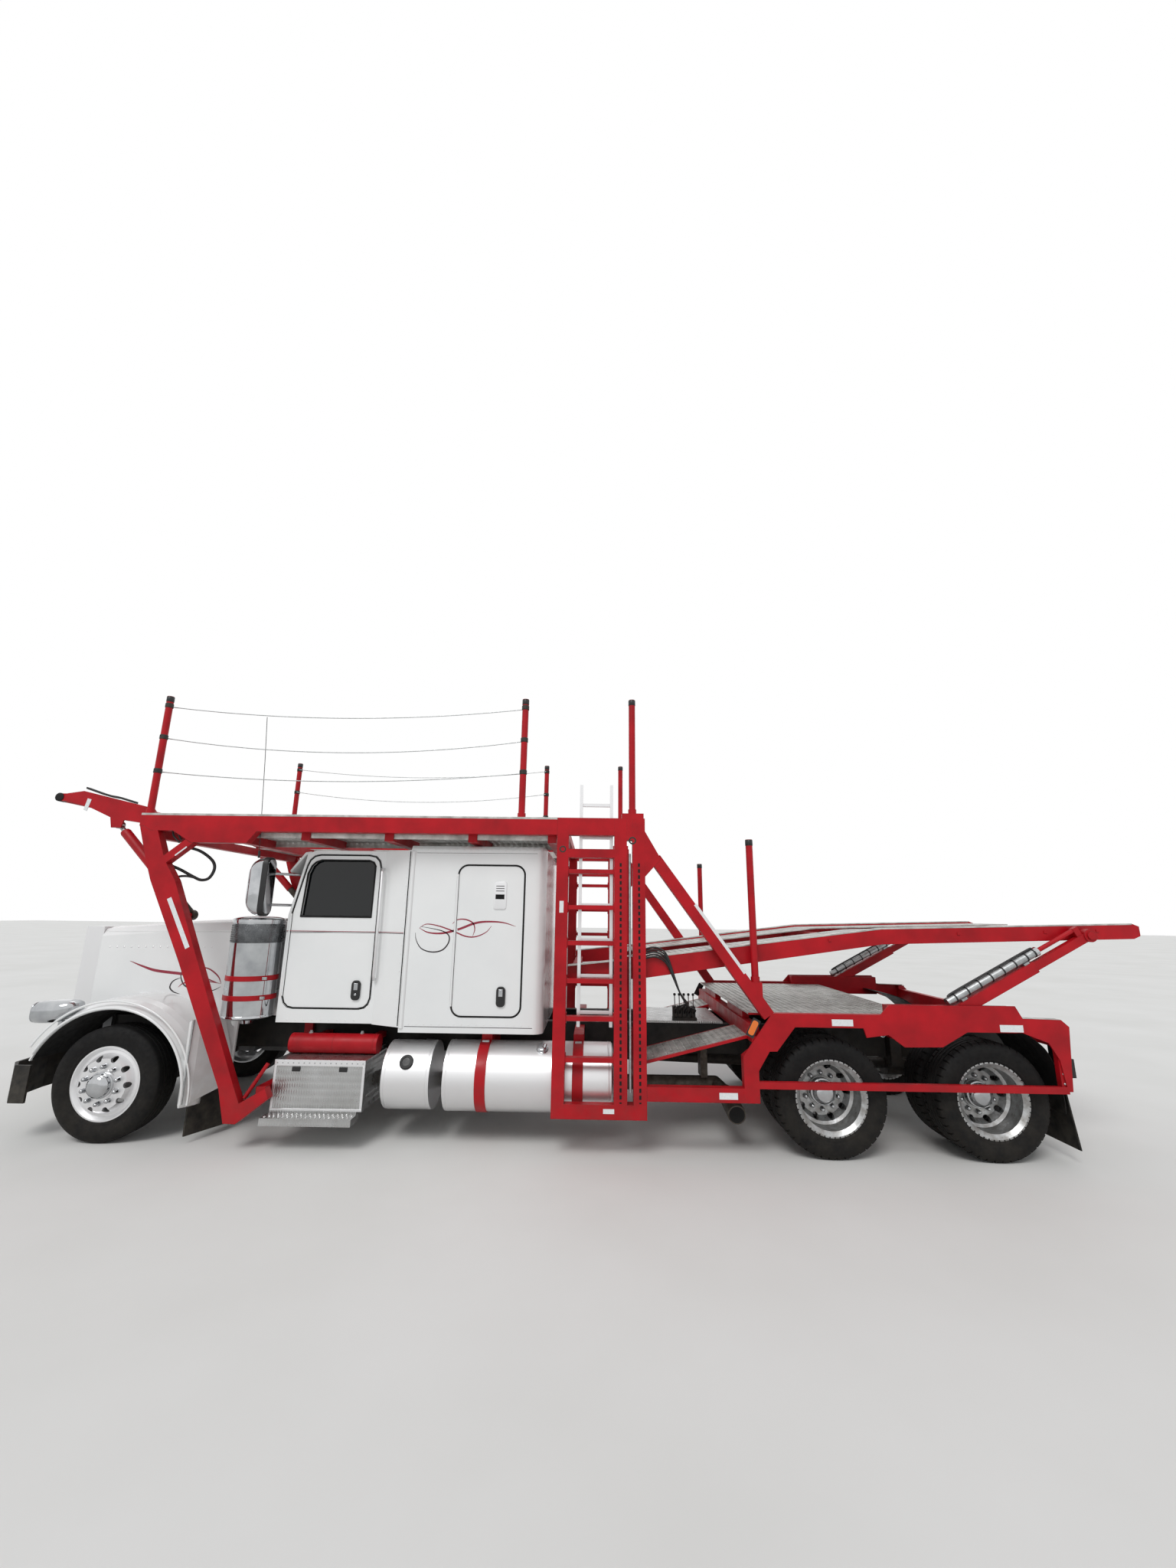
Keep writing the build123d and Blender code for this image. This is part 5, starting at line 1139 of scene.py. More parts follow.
@dataclass
class Cab:
    """The day cab with its doors, windows, handles, rivets, wipers and stripe.

    Attributes:
        half_w: How far the doors' faces stand from the middle of the truck.
        belt_z: The belt stripe's height.
        belt: For each run of it the node, where it starts and ends, and its points.
    """

    half_w: float = 0.970
    door: Line = (
        (1.337, 1.160), (1.355, 1.108), (1.389, 1.077), (1.440, 1.065), (2.020, 1.065), (2.073, 1.077), (2.107, 1.108),
        (2.123, 1.160), (2.123, 2.308), (2.106, 2.371), (2.066, 2.413), (2.002, 2.425), (1.547, 2.425), (1.493, 2.413),
        (1.452, 2.376), (1.429, 2.318), (1.337, 1.890))
    window: Line = (
        (1.415, 1.862), (2.070, 1.862), (2.070, 2.330), (2.050, 2.362), (2.010, 2.378), (1.560, 2.378), (1.508, 2.360),
        (1.472, 2.325), (1.442, 2.251))
    belt_z: float = 1.730
    belt: tuple[tuple[str, float, float, int], ...] = (
        ("cab_shell", 1.302, 1.325, 9), ("cab_door_left", 1.336, 2.124, 3), ("cab_shell", 2.137, 2.420, 9))

    def doors(self) -> None:
        """Edge each door and its window with rubber, and set the latch and its lock."""
        latch = Latch("latch_recess", "latch_paddle", self.half_w, (1.995, 1.220), 0.078, (1.977, 2.014))
        for side in Side:
            body = f"cab_door_{side.label}"
            y = side.value * (self.half_w + 0.001)
            seal = Piece(f"door_seal_{side.label}", SHEET_RUBBER, body, smooth=60)
            seal.tube(closed(at_y(self.door, y)), 0.0055).tube(closed(at_y(self.window, y)), 0.009).make()
            Piece(f"window_channel_{side.label}", SHEET_RUBBER, body, bevel=0.002).block(
                (1.425, y - 0.006, 1.853), (2.062, y + 0.006, 1.872)).make()
            latch.fit(side, body)
            Piece(f"latch_lock_{side.label}", CHROME, body, smooth=60).turn(
                [(0.012, 0.0), (0.012, 0.004), (0.009, 0.006), (0.0005, 0.006)],
                (1.995, side.value * (self.half_w + 0.0165), 1.185), (0, side.value, 0), 16).make()

    def shell_parts(self) -> None:
        """Set the rivets, the grab bar and the rubber boot between cab and sleeper."""
        rows = ([(2.410, 1.02 + 0.075 * i) for i in range(19)], [(1.40 + 0.075 * i, 0.965) for i in range(9)])
        rivets = Piece("cab_rivets", HULL_WHITE, smooth=60)
        for row in rows:
            rivets.heads([on_left("cab_shell", x, z) for x, z in row], OUTWARD, 0.006, 0.003)
        rivets.both()
        high, low = (on_left("cab_shell", 2.15, z)[1] for z in (2.30, 1.32))
        Piece("cab_grab_bars", POLISHED, smooth=60).tube(
            [(2.15, high + 0.01, 2.30), (2.15, high - 0.035, 2.30), (2.155, high - 0.055, 2.27),
             (2.16, low - 0.055, 1.35), (2.155, low - 0.035, 1.32), (2.15, low + 0.01, 1.32)], 0.013, 10).both()
        Piece("cab_sleeper_boot", SHEET_RUBBER, bevel=0.003).block((2.425, -1.098, 0.945), (2.441, -1.060, 2.46)).both()

    def stripe(self) -> None:
        """Brush the thin double stripe along the cab at the belt line."""
        for number, (node, start, end, count) in enumerate(self.belt, 1):
            for finish, word, drop in ((STRIPE_RED, "red", 0.0), (STRIPE_BLACK, "black", -0.009)):
                path = [on_left(node, x, self.belt_z + drop) for x, _, _ in between((start, 0, 0), (end, 0, 0), count)]
                for side in Side:
                    body = "truck" if node == "cab_shell" else f"cab_door_{side.label}"
                    Piece(f"belt_stripe_{number}_{side.label}_{word}", finish, body).ribbon(
                        [(x, side.value * abs(y), z) for x, y, z in path], [0.005] * count, (0.0, side.value, 0.0),
                        0.0008).make()

    def windscreen(self) -> None:
        """Seal the split windscreen and lay the wipers on it."""
        (low_x, low_z), (high_x, high_z) = (1.305, 1.900), (1.410, 2.390)
        ring = [(low_x, -0.880, low_z), (high_x, -0.850, high_z), (high_x, -0.045, high_z), (low_x, -0.045, low_z)]
        Piece("windscreen_seal", SHEET_RUBBER, smooth=60).tube(closed(ring), 0.014).both()
        wipers = Piece("wipers", BLACK_ABS, smooth=60)
        wipers.tube([(1.262, -0.25, 1.868), (1.290, -0.32, 1.915), (1.318, -0.50, 2.02)], 0.007)
        wipers.tube(between((1.300, -0.74, 1.955), (1.330, -0.28, 2.085), 6), 0.006, 6).both()

    def make(self) -> None:
        """Build and dress the cab."""
        dress(HULL_WHITE, "cab_shell", "cab_door_left", "cab_door_right")
        dress(GLASS, "windscreen", "cab_glass_left", "cab_glass_right")
        self.doors()
        self.shell_parts()
        self.stripe()
        self.windscreen()


@dataclass
class Sleeper:
    """The sleeper box with its baggage doors, vents, corner mouldings and brushed scrolls.

    Attributes:
        half_w: How far its sides stand from the middle of the truck.
        door_low: The baggage door's lower front corner; door_high is its upper rear one.
        scrolls: The strokes, the widest one first.
        black_scroll: The number of the black stroke; the others are maroon.
    """

    half_w: float = 1.100
    door_low: Flat = (2.889, 1.034)
    door_high: Flat = (3.491, 2.336)
    scrolls: tuple[Line, ...] = (
        ((3.426, 1.798), (3.305, 1.831), (3.157, 1.836), (3.047, 1.818), (2.921, 1.769), (2.776, 1.731),
         (2.647, 1.735), (2.561, 1.773)),
        ((2.561, 1.773), (2.623, 1.808), (2.735, 1.793), (2.867, 1.75), (2.98, 1.707), (3.072, 1.705), (3.162, 1.745),
         (3.208, 1.799)),
        ((2.528, 1.733), (2.542, 1.666), (2.593, 1.596), (2.687, 1.568), (2.777, 1.585), (2.828, 1.643),
         (2.833, 1.705), (2.785, 1.744), (2.7, 1.766), (2.57, 1.787)),
        ((2.854, 1.812), (2.898, 1.849), (2.971, 1.853), (3.038, 1.824), (3.059, 1.77), (3.044, 1.708)))
    black_scroll: int = 3

    def doors(self) -> None:
        """Edge each baggage door, and set its vent and latch."""
        (x0, z0), (x1, z1) = self.door_low, self.door_high
        outline = [((x0 + x1) / 2 + a, (z0 + z1) / 2 + b) for a, b in rounded(x1 - x0, z1 - z0, 0.086, 7)]
        latch = Latch("baggage_latch", "baggage_paddle", self.half_w, (3.3175, 1.200), 0.075, (3.299, 3.336))
        for side in Side:
            body, sign = f"sleeper_door_{side.label}", side.value
            Piece(f"baggage_seal_{side.label}", SHEET_RUBBER, body, smooth=60).tube(
                closed(at_y(outline, sign * (self.half_w + 0.001))), 0.006).make()
            layers = [
                (sign * (self.half_w + lift), share) for lift, share in ((-0.001, 1.0), (0.008, 0.97), (0.009, 0.9))]
            Piece(f"baggage_vent_{side.label}", POLISHED, body, smooth=50).pillow(
                Axis.Y, (3.2735, 2.068), rounded(0.118, 0.250, 0.022), layers).make()
            low, high = sorted(sign * (self.half_w + lift) for lift in (0.0085, 0.0105))
            # The vent's slots are flat black blocks of painted shade.
            slot = Piece(f"baggage_vent_slot_{side.label}", PAINTED_HOLE_SHADE, body, bevel=0.001)
            slot.block((3.233, low, 2.035), (3.314, high, 2.078))
            for i in range(3):
                slot.block((3.236, low, 2.105 + 0.022 * i), (3.311, high, 2.111 + 0.022 * i))
            slot.make()
            latch.fit(side, body)

    def shell_parts(self) -> None:
        """Set the white corner moulding, the seams and the rivet rows."""
        Piece("sleeper_corner_mouldings", HULL_WHITE, smooth=60).tube(
            [(2.462, -1.092, 0.93), (2.462, -1.094, 1.70), (2.462, -1.092, 2.46)], 0.022, 12).both()
        face = -self.half_w
        Piece("sleeper_seams", STRIPE_BLACK).ribbon(
            [(2.49, face, 2.445), (2.9, face, 2.447), (3.60, face, 2.450)], [0.003] * 3, OUTWARD).ribbon(
            [(2.49, face, 0.945), (3.60, face, 0.945)], [0.005] * 2, OUTWARD).both()
        rivets = Piece("sleeper_rivets", HULL_WHITE, smooth=60)
        for z in (2.475, 0.965):
            rivets.heads([(2.53 + 0.065 * i, face, z) for i in range(17)], OUTWARD, 0.006, 0.0025)
        rivets.both()

    def brushed(self) -> None:
        """Brush the scrolls, each part on the door or the shell that it crosses."""
        for number, stroke in enumerate(self.scrolls, 1):
            path = smooth_path(at_y(stroke, self.half_w), 8)
            widths = brush(len(path), 0.020 if number == 1 else 0.012)
            finish = STRIPE_BLACK if number == self.black_scroll else STRIPE_RED
            runs: list[tuple[bool, list[int]]] = []
            for index, (x, _, z) in enumerate(path):
                on_door = self.door_low[0] < x < self.door_high[0] and self.door_low[1] < z < self.door_high[1]
                if not runs or runs[-1][0] is not on_door:
                    runs.append((on_door, []))
                runs[-1][1].append(index)
            for part, (on_door, indices) in enumerate(runs, 1):
                for side in Side if len(indices) > 1 else ():
                    body = f"sleeper_door_{side.label}" if on_door else "truck"
                    Piece(f"scroll_{number}_{part}_{side.label}", finish, body).ribbon(
                        [(path[i][0], side.value * path[i][1], path[i][2]) for i in indices],
                        [widths[i] for i in indices], (0.0, side.value, 0.0), 0.0008).make()

    def make(self) -> None:
        """Build and dress the sleeper."""
        dress(HULL_WHITE, "sleeper_shell", "sleeper_door_left", "sleeper_door_right")
        self.doors()
        self.shell_parts()
        self.brushed()


@dataclass
class SideGear:
    """Mirrors, air cleaners, tanks, tool boxes and the air tanks along the flanks.

    Attributes:
        mirror: The left mirror's middle as y and z.
        mirror_layers: For each ring of its shell its x and its shares of the width and the height.
        cleaner: The air cleaner's axis as x and distance from the middle of the truck.
        tank_axis: The fuel tank's axis as distance from the middle of the truck and z.
        tank_seams: The x and radius of each raised seam.
        air_tank: The air tank's axis as y and z.
    """

    mirror: Flat = (-1.1625, 2.120)
    mirror_layers: tuple[tuple[float, float, float], ...] = (
        (1.012, 0.40, 0.42), (1.020, 0.60, 0.60), (1.034, 0.76, 0.74), (1.056, 0.88, 0.86), (1.088, 0.96, 0.94),
        (1.120, 0.995, 0.985), (1.150, 1.0, 1.0))
    cleaner: Flat = (1.040, 0.968)
    band_heights: tuple[float, ...] = (1.323, 1.160)
    tank_axis: Flat = (0.915, 0.527)
    tank_seams: Line = ((2.895, 0.282), (4.26, 0.282), (2.38, 0.274), (2.73, 0.274))
    air_tank: Flat = (-0.900, 0.762)

    def mirrors(self) -> None:
        """Build each mirror as a rounded chrome shell with dark glass behind, on two stays."""
        shell = Piece("mirror_shells", CHROME, smooth=60)
        shell.pillow(Axis.X, self.mirror, rounded(0.155, 0.520, 0.07, 7), self.mirror_layers)
        for inner, z in ((1.330, 1.960), (1.395, 2.240)):
            shell.tube([(1.180, -1.100, z), (inner, -0.890, z)], 0.012, 10)
        shell.tube([(1.180, -1.100, 1.90), (1.180, -1.100, 2.34)], 0.012, 10)
        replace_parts(shell.both(), "mirrors")
        Piece("mirror_backs", BLACK_ABS, smooth=60).pillow(
            Axis.X, self.mirror, rounded(0.150, 0.512, 0.066, 7), ((1.150, 1.025), (1.192, 1.02), (1.199, 0.98))).both()
        Piece("mirror_silvering", CHROME, smooth=60).pillow(
            Axis.X, self.mirror, rounded(0.132, 0.480, 0.056, 7), ((1.1990, 1.0), (1.2000, 1.0))).both()

    def air_cleaners(self) -> None:
        """Band each air cleaner, and set its intake screen, lid and bottom bowl."""
        x, y = self.cleaner
        base = (x, -y, 0.0)
        screen = Piece("intake_screens", SCREEN_STEEL, smooth=40)
        screen.turn([(0.2125, 1.625), (0.2145, 1.628), (0.2145, 1.787), (0.2125, 1.790)], base, UPWARD, 64)
        dimple = [(0.0065, 0.0), (0.0055, 0.0012), (0.0045, 0.0012), (0.0040, 0.0)]
        for row in range(8):
            for k in range(64):
                angle = 2 * math.pi * (k + 0.5 * (row % 2)) / 64
                out = (math.cos(angle), math.sin(angle), 0.0)
                screen.turn(dimple, (x + 0.2142 * out[0], -y + 0.2142 * out[1], 1.641 + 0.019 * row), out, 6)
        screen.both()
        bands = Piece("cleaner_bands", RACK_RED, smooth=40)
        clamps = Piece("cleaner_clamp_bolts", ZINC, bevel=0.002)
        for z in self.band_heights:
            bands.turn(
                [(0.2125, z - 0.022), (0.2150, z - 0.020), (0.2150, z + 0.020), (0.2125, z + 0.022)], base, UPWARD, 64)
            clamps.block((x + 0.17, -y - 0.150, z - 0.012), (x + 0.205, -y - 0.128, z + 0.012))
        bands.both()
        Piece("cleaner_lids", CHROME, smooth=40).turn(
            [(0.2125, 1.795), (0.2165, 1.797), (0.2165, 1.828), (0.208, 1.838), (0.17, 1.850), (0.10, 1.858),
             (0.0005, 1.860)], base, UPWARD, 64).turn(
            [(0.2125, 1.012), (0.2155, 1.008), (0.2155, 0.992), (0.19, 0.978), (0.06, 0.966), (0.05, 0.93),
             (0.0005, 0.928)], base, UPWARD, 64).both()
        clamps.both()

    def on_tank(self, x: float, radius: float, degrees: float) -> tuple[Point, Point]:
        """Find a place on the left fuel tank and the direction that its skin faces there.

        Args:
            x: The place along the tank.
            radius: Its distance from the tank's axis.
            degrees: How far it lies above the tank's side.

        Returns:
            The place and the direction.
        """
        y, z = math.cos(math.radians(degrees)), math.sin(math.radians(degrees))
        return (x, -(self.tank_axis[0] + radius * y), self.tank_axis[1] + radius * z), (0, -y, z)

    def tanks(self) -> None:
        """Fit domed heads, seams, filler caps and strap bolts to the fuel tanks."""
        y, z = self.tank_axis
        dome = [(0.278, 0.0), (0.270, 0.010), (0.22, 0.020), (0.12, 0.026), (0.0005, 0.028)]
        heads = Piece("tank_heads", POLISHED, smooth=40).turn(dome, (4.285, -y, z), ASTERN, 64)
        heads.turn([(r * 0.97, d * 0.9) for r, d in dome], (2.355, -y, z), (-1, 0, 0), 64)
        for x, radius in self.tank_seams:
            seam = [(radius, -0.006), (radius + 0.002, -0.003), (radius + 0.002, 0.003), (radius, 0.006)]
            heads.turn(seam, (x, -y, z), ASTERN, 64)
        heads.both()
        Piece("filler_caps", CHROME, smooth=40).turn(
            [(0.052, -0.02), (0.052, 0.004), (0.046, 0.006), (0.046, 0.030), (0.040, 0.035), (0.0005, 0.036)],
            *self.on_tank(3.692, 0.281, 60.0), 24).both()
        Piece("tank_side_caps", BLACK_ABS, smooth=40).turn(
            [(0.060, -0.02), (0.060, 0.006), (0.054, 0.016), (0.036, 0.020), (0.034, 0.014), (0.0005, 0.014)],
            *self.on_tank(2.550, 0.273, 31.5), 28).both()
        bolts = Piece("strap_bolts", ZINC, bevel=0.002)
        for x in (3.185, 4.000):
            bolts.block((x - 0.03, -0.985, 0.800), (x + 0.03, -0.965, 0.822))
        bolts.both()

    def tool_boxes(self) -> None:
        """Trim the lid of each tool box, rivet it, and raise the grip studs of its step."""
        lid = Piece("tool_box_lids", POLISHED, bevel=0.002)
        for x0, x1, z0, z1 in ((1.432, 2.203, 0.628, 0.676), (1.432, 2.203, 0.282, 0.300),
                               (1.432, 1.452, 0.300, 0.628), (2.183, 2.203, 0.300, 0.628)):
            lid.block((x0, -1.1525, z0), (x1, -1.1495, z1))
        lid.both()
        Piece("tool_box_rivets", ZINC, smooth=60).heads(
            [(1.455 + 0.0455 * i, -1.1525, 0.652) for i in range(17)], OUTWARD, 0.006, 0.003).both()
        latch = Piece("tool_box_latches", BLACK_ABS, bevel=0.003)
        for x in (1.62, 2.02):
            latch.block((x - 0.035, -1.158, 0.585), (x + 0.035, -1.150, 0.622))
        latch.both()
        studs = Piece("step_studs", TREAD_PLATE, smooth=50)
        stud = [(0.013, 0.0), (0.012, 0.0025), (0.008, 0.004), (0.006, 0.001), (0.0005, 0.001)]
        for row in range(3):
            for i in range(19):
                studs.turn(stud, (1.445 + 0.038 * i + 0.019 * (row % 2), -1.172 - 0.036 * row, 0.262), UPWARD, 10)
        studs.both()

    def air_tanks(self) -> None:
        """Weld seams and ports on the air tanks."""
        y, z = self.air_tank
        seams = Piece("air_tank_seams", RACK_RED, smooth=40)
        for x in (1.475, 1.83, 2.187):
            seams.turn([(0.0815, -0.005), (0.0835, -0.003), (0.0835, 0.003), (0.0815, 0.005)], (x, y, z), ASTERN, 40)
        seams.both()
        ports = Piece("air_tank_ports", ZINC, smooth=40)
        for x in (1.60, 2.06):
            ports.turn(
                [(0.018, -0.01), (0.018, 0.012), (0.012, 0.012), (0.012, 0.024), (0.0005, 0.025)], (x, y, z + 0.081),
                UPWARD, 6)
        ports.both()

    def make(self) -> None:
        """Build and dress the flanks."""
        dress(CHROME, "air_cleaners", "mirrors")
        dress(HEATED_STEEL, "exhaust")
        dress(POLISHED, "fuel_tanks")
        dress(RACK_RED, "tank_straps", "air_tanks")
        dress(TREAD_PLATE, "step_boxes")
        self.mirrors()
        self.air_cleaners()
        self.tanks()
        self.tool_boxes()
        self.air_tanks()


@dataclass
class Rack:
    """The red carrier rack: top rails, towers, stakes, wire ropes, side frames and their small parts.

    Attributes:
        face: The left outer face of the rack.
        rope_ends: The x of the stakes that the ropes hang between.
        ropes: For each rope its front height, rear height and sag.
        stakes: For each stake its x, its foot and its top.
        loop: The hose loop behind the front leg.
        ramp_strip: The x of each point of the ramp's rubber strip and its gap above the ramp.
        plates: The side frames' reflectors: middle x and z, width and height.
    """

    face: float = -1.300
    stake_y: float = 1.262
    rope_radius: float = 0.004
    rope_ends: Flat = (0.070, 3.460)
    ropes: tuple[Point, ...] = ((3.794, 3.801, 0.100), (3.483, 3.485, 0.125), (3.157, 3.177, 0.085))
    stakes: tuple[Point, ...] = (
        (0.070, 2.755, 3.885), (3.460, 2.755, 3.885), (4.460, 2.800, 3.885), (5.497, 1.372, 2.580))
    rungs: tuple[float, ...] = (2.280, 1.970, 1.670, 1.360, 1.060, 0.740)
    loop: Line = (
        (0.396, 2.468), (0.520, 2.431), (0.611, 2.353), (0.644, 2.276), (0.608, 2.192), (0.537, 2.173), (0.459, 2.202),
        (0.365, 2.261), (0.290, 2.300))
    ramp_strip: Line = (
        (-0.640, 0.024), (-0.560, 0.016), (-0.480, 0.008), (-0.400, 0.004), (-0.320, 0.010), (-0.240, 0.006),
        (-0.160, 0.001))
    lamp: Flat = (5.452, 1.012)
    lamp_tilt: float = 62.0
    plates: tuple[tuple[float, ...], ...] = (
        (7.573, 1.037, 0.190, 0.056), (6.190, 1.062, 0.175, 0.052), (5.229, 0.490, 0.150, 0.050))
    tower_plates: tuple[tuple[float, ...], ...] = ((4.259, 0.362, 0.090, 0.036), (3.842, 1.973, 0.036, 0.100))

    def wires(self) -> None:
        """Hang the three wire ropes of each side between the first two stakes, with their clamps."""
        rope = Piece("stake_ropes", ZINC, smooth=60)
        clamps = Piece("rope_clamps", CAST_IRON, smooth=40)
        (x0, x1), y = self.rope_ends, -self.stake_y
        for front, rear, sag in self.ropes:
            rope.tube([
                (x0 + (x1 - x0) * t, y + 0.034, front + (rear - front) * t - 4 * sag * t * (1 - t))
                for t in [i / 32 for i in range(33)]], self.rope_radius)
            for x, z in ((x0, front), (x1, rear)):
                clamps.turn(
                    [(0.0302, -0.022), (0.0345, -0.018), (0.0345, 0.018), (0.0302, 0.022)], (x, y, z), UPWARD, 24)
                clamps.turn([(0.009, 0.0), (0.009, 0.012), (0.0005, 0.013)], (x, y + 0.033, z), (0, 1, 0), 6)
        rope.both()
        clamps.both()

    def stake_trim(self) -> None:
        """Cap each stake and collar its foot."""
        caps = Piece("stake_caps", BLACK_ABS, smooth=40)
        collars = Piece("stake_collars", RACK_RED, smooth=40)
        for x, low, high in self.stakes:
            caps.turn(
                [(0.0301, -0.055), (0.0325, -0.052), (0.0325, -0.006), (0.028, 0.0)], (x, -self.stake_y, high),
                UPWARD, 24)
            collars.turn([(0.037, 0.0), (0.037, 0.040), (0.0301, 0.044)], (x, -self.stake_y, low), UPWARD, 24)
        caps.both()
        collars.both()

    def aerial(self) -> None:
        """Stand the whip aerial on the left mirror."""
        y = -1.2138
        Piece("whip_aerial", BLACK_ABS, smooth=60).tube(
            [(1.0924, y, 2.372), (1.0674, y, 2.742), (1.030, y, 3.25), (0.9915, y, 3.706)], 0.0028, 6).tube(
            [(1.0934, y, 2.372), (1.0905, y, 2.435)], 0.010, 12).make()

    def top_rails(self) -> None:
        """Lay the grey lip on the rails, line the runways and set the rails' bolts."""
        Piece("rail_lips", DECK_ALUMINIUM, bevel=0.0008).block(
            (0.022, self.face - 0.0004, 2.738), (3.788, -1.2195, 2.7572)).both()
        Piece("runway_side_channels", DECK_ALUMINIUM, bevel=0.001).block(
            (0.80, -1.2070, 2.556), (3.783, -1.1900, 2.6148)).block(
            (0.80, -0.4260, 2.556), (3.783, -0.4210, 2.6148)).both()
        bolts = Piece("rail_bolts", RACK_RED, smooth=60)
        for x in (0.150, 0.760, 1.500, 2.260, 3.020, 3.740):
            bolts.heads([(x + dx, self.face, 2.64) for dx in (-0.022, 0.022)], OUTWARD, 0.008, 0.0004, 6)
        bolts.both()

    def hoses(self) -> None:
        """Loop the nose cylinders' hoses behind the legs and clip the short ones between rail and brace."""
        hose = Piece("nose_hoses", HOSE_RUBBER, smooth=60)
        hose.tube(smooth_path([
            (x, -1.220 + 0.10 * min(1.0, i / 2, (8 - i) / 2), z) for i, (x, z) in enumerate(self.loop)]), 0.013, 10)
        path = [(0.338, 2.120), (0.336, 2.171), (0.363, 2.199), (0.423, 2.204), (0.498, 2.189)]
        hose.tube(smooth_path([(x, -1.205 + 0.02 * i, z) for i, (x, z) in enumerate(path)]), 0.010, 10)
        for path in ([(0.286, 2.618), (0.300, 2.567), (0.330, 2.531), (0.366, 2.500)],
                     [(0.354, 2.612), (0.352, 2.568), (0.380, 2.520)]):
            hose.tube(smooth_path(at_y(path, -1.240)), 0.008)
        hose.both()

    def nose(self) -> None:
        """Sleeve the nose cylinders in red, and set the ramp's rubber strip, roller caps and reflectors."""
        foot, head = (0.520, -1.150, 1.860), (-0.280, -1.150, 2.665)
        Piece("nose_rod_sleeves", RACK_RED, "nose_rods", smooth=40).turn(
            [(0.0368, 0.46), (0.0425, 0.46), (0.0425, 1.035), (0.038, 1.05), (0.0205, 1.05), (0.0205, 1.03),
             (0.0368, 1.02), (0.0368, 0.46)], foot, tuple(Vector(head) - Vector(foot))).both()
        top = [(x, touch("nose_ramp", (x, -1.160, 3.3), (0.0, 0.0, -1.0))[2] + gap) for x, gap in self.ramp_strip]
        Piece("ramp_rubber_strips", HOSE_RUBBER, "nose_ramp", bevel=0.001).prism(
            top + [(x, z + 0.019) for x, z in reversed(top)], -1.180, -1.135).both()
        Piece("nose_roller_caps", SHEET_RUBBER, "nose_ramp", smooth=40).turn(
            [(0.0385, -0.060), (0.0400, -0.056), (0.0400, 0.004), (0.034, 0.007), (0.012, 0.007), (0.0005, 0.007)],
            (-0.860, -1.195, 2.915), OUTWARD).both()
        Piece("nose_reflectors", REFLECTOR, "nose_ramp", bevel=0.0005).prism(
            [(-0.611, 2.797), (-0.578, 2.785), (-0.553, 2.895), (-0.591, 2.905)], -1.1985, -1.1945).both()

    def legs(self) -> None:
        """Set the reflective strips and the foot stay of the front legs."""
        Piece("leg_reflectors", REFLECTOR).ribbon(
            [(0.400, self.face, 2.004), (0.630, self.face, 1.585)], [0.040] * 2, OUTWARD, 0.0004).ribbon(
            [(0.388, self.face, 2.376), (0.482, self.face, 2.455)], [0.012] * 2, OUTWARD, 0.0004).both()
        Piece("leg_foot_stays", RACK_RED, smooth=60).tube(
            [(1.262, -1.250, 0.400), (1.400, -1.200, 0.655)], 0.016, 10).both()

    def reflectors(self, name: str, plates: Iterable[Sequence[float]]) -> None:
        """Stick reflective plates on the rack's outer face.

        Args:
            name: The piece's name.
            plates: For each plate its middle x and z, its width and its height.
        """
        piece = Piece(name, REFLECTOR, bevel=0.0001)
        for x, z, w, h in plates:
            piece.block((x - w / 2, self.face - 0.0004, z - h / 2), (x + w / 2, self.face + 0.0005, z + h / 2))
        piece.both()

    def towers(self) -> None:
        """Set the bosses, slide rods, reflectors and rung welds of the towers."""
        boss = Piece("tower_bosses", CAST_IRON, smooth=40)
        for x, z, radius in ((3.842, 2.473, 0.030), (4.459, 2.555, 0.034)):
            boss.turn(
                [(radius, 0.0), (radius * 0.98, 0.0004), (radius * 0.62, 0.0004), (radius * 0.6, 0.0)],
                (x, self.face, z), OUTWARD)
        boss.both()
        Piece("tower_slide_rods", ZINC, smooth=60).tube(
            [(4.435, -1.285, 0.50), (4.435, -1.285, 2.44)], 0.011, 10).both()
        self.reflectors("tower_reflectors", self.tower_plates)
        welds = Piece("rung_welds", RACK_RED, smooth=60)
        for z in self.rungs:
            for x in (3.896, 4.299):
                welds.tube(closed([(x, -1.245 + a, z + b) for a, b in rounded(0.094, 0.080, 0.008, 2)]), 0.005, 6)
        welds.both()

    def side_frames(self) -> None:
        """Set reflectors, lamps, edge strips, bolts, lips and knobs on the side frames."""
        self.reflectors("side_reflectors", self.plates)
        (x, z), turn = self.lamp, math.radians(self.lamp_tilt)
        across, up = math.cos(turn), math.sin(turn)
        Piece("side_marker_housings", BLACK_ABS).ribbon(
            [(x + reach * across, self.face, z + reach * up) for reach in (-0.076, 0.076)], [0.068] * 2, OUTWARD,
            0.00005).both()
        lens = [(a * across - b * up, a * up + b * across) for a, b in rounded(0.120, 0.050, 0.018)]
        layers = [(self.face - 0.0001 - lift, share) for lift, share in ((0.0, 1.0), (0.0003, 0.98), (0.0004, 0.9))]
        Piece("side_marker_lamps", AMBER, smooth=50).pillow(Axis.Y, self.lamp, lens, layers).both()
        Piece("brace_edge_strips", POLISHED).ribbon(
            [(5.000, self.face, 2.008), (5.405, self.face, 1.443)], [0.026] * 2, OUTWARD, 0.0004).both()
        Piece("side_box_bolts", RACK_RED, smooth=60).heads(
            [(6.64 + 0.055 * i, self.face, 1.195) for i in range(17)], OUTWARD, 0.006, 0.0004, 6).both()
        # Real bolts on the tail post, given pale zinc in place of the rack's red so that the glint on their heads is
        # painted into their colour.
        Piece("tail_post_bolts", ZINC, smooth=60).heads(
            [(7.950, -1.286, 0.62 + 0.075 * i) for i in range(6)], OUTWARD, 0.011, 0.008, 6).both()
        Piece("tail_panel_lips", DECK_ALUMINIUM, bevel=0.0008).prism(
            [(7.676, 1.1155), (7.985, 1.1095), (7.985, 1.1125), (7.676, 1.1185)], -1.2995, -1.225).both()
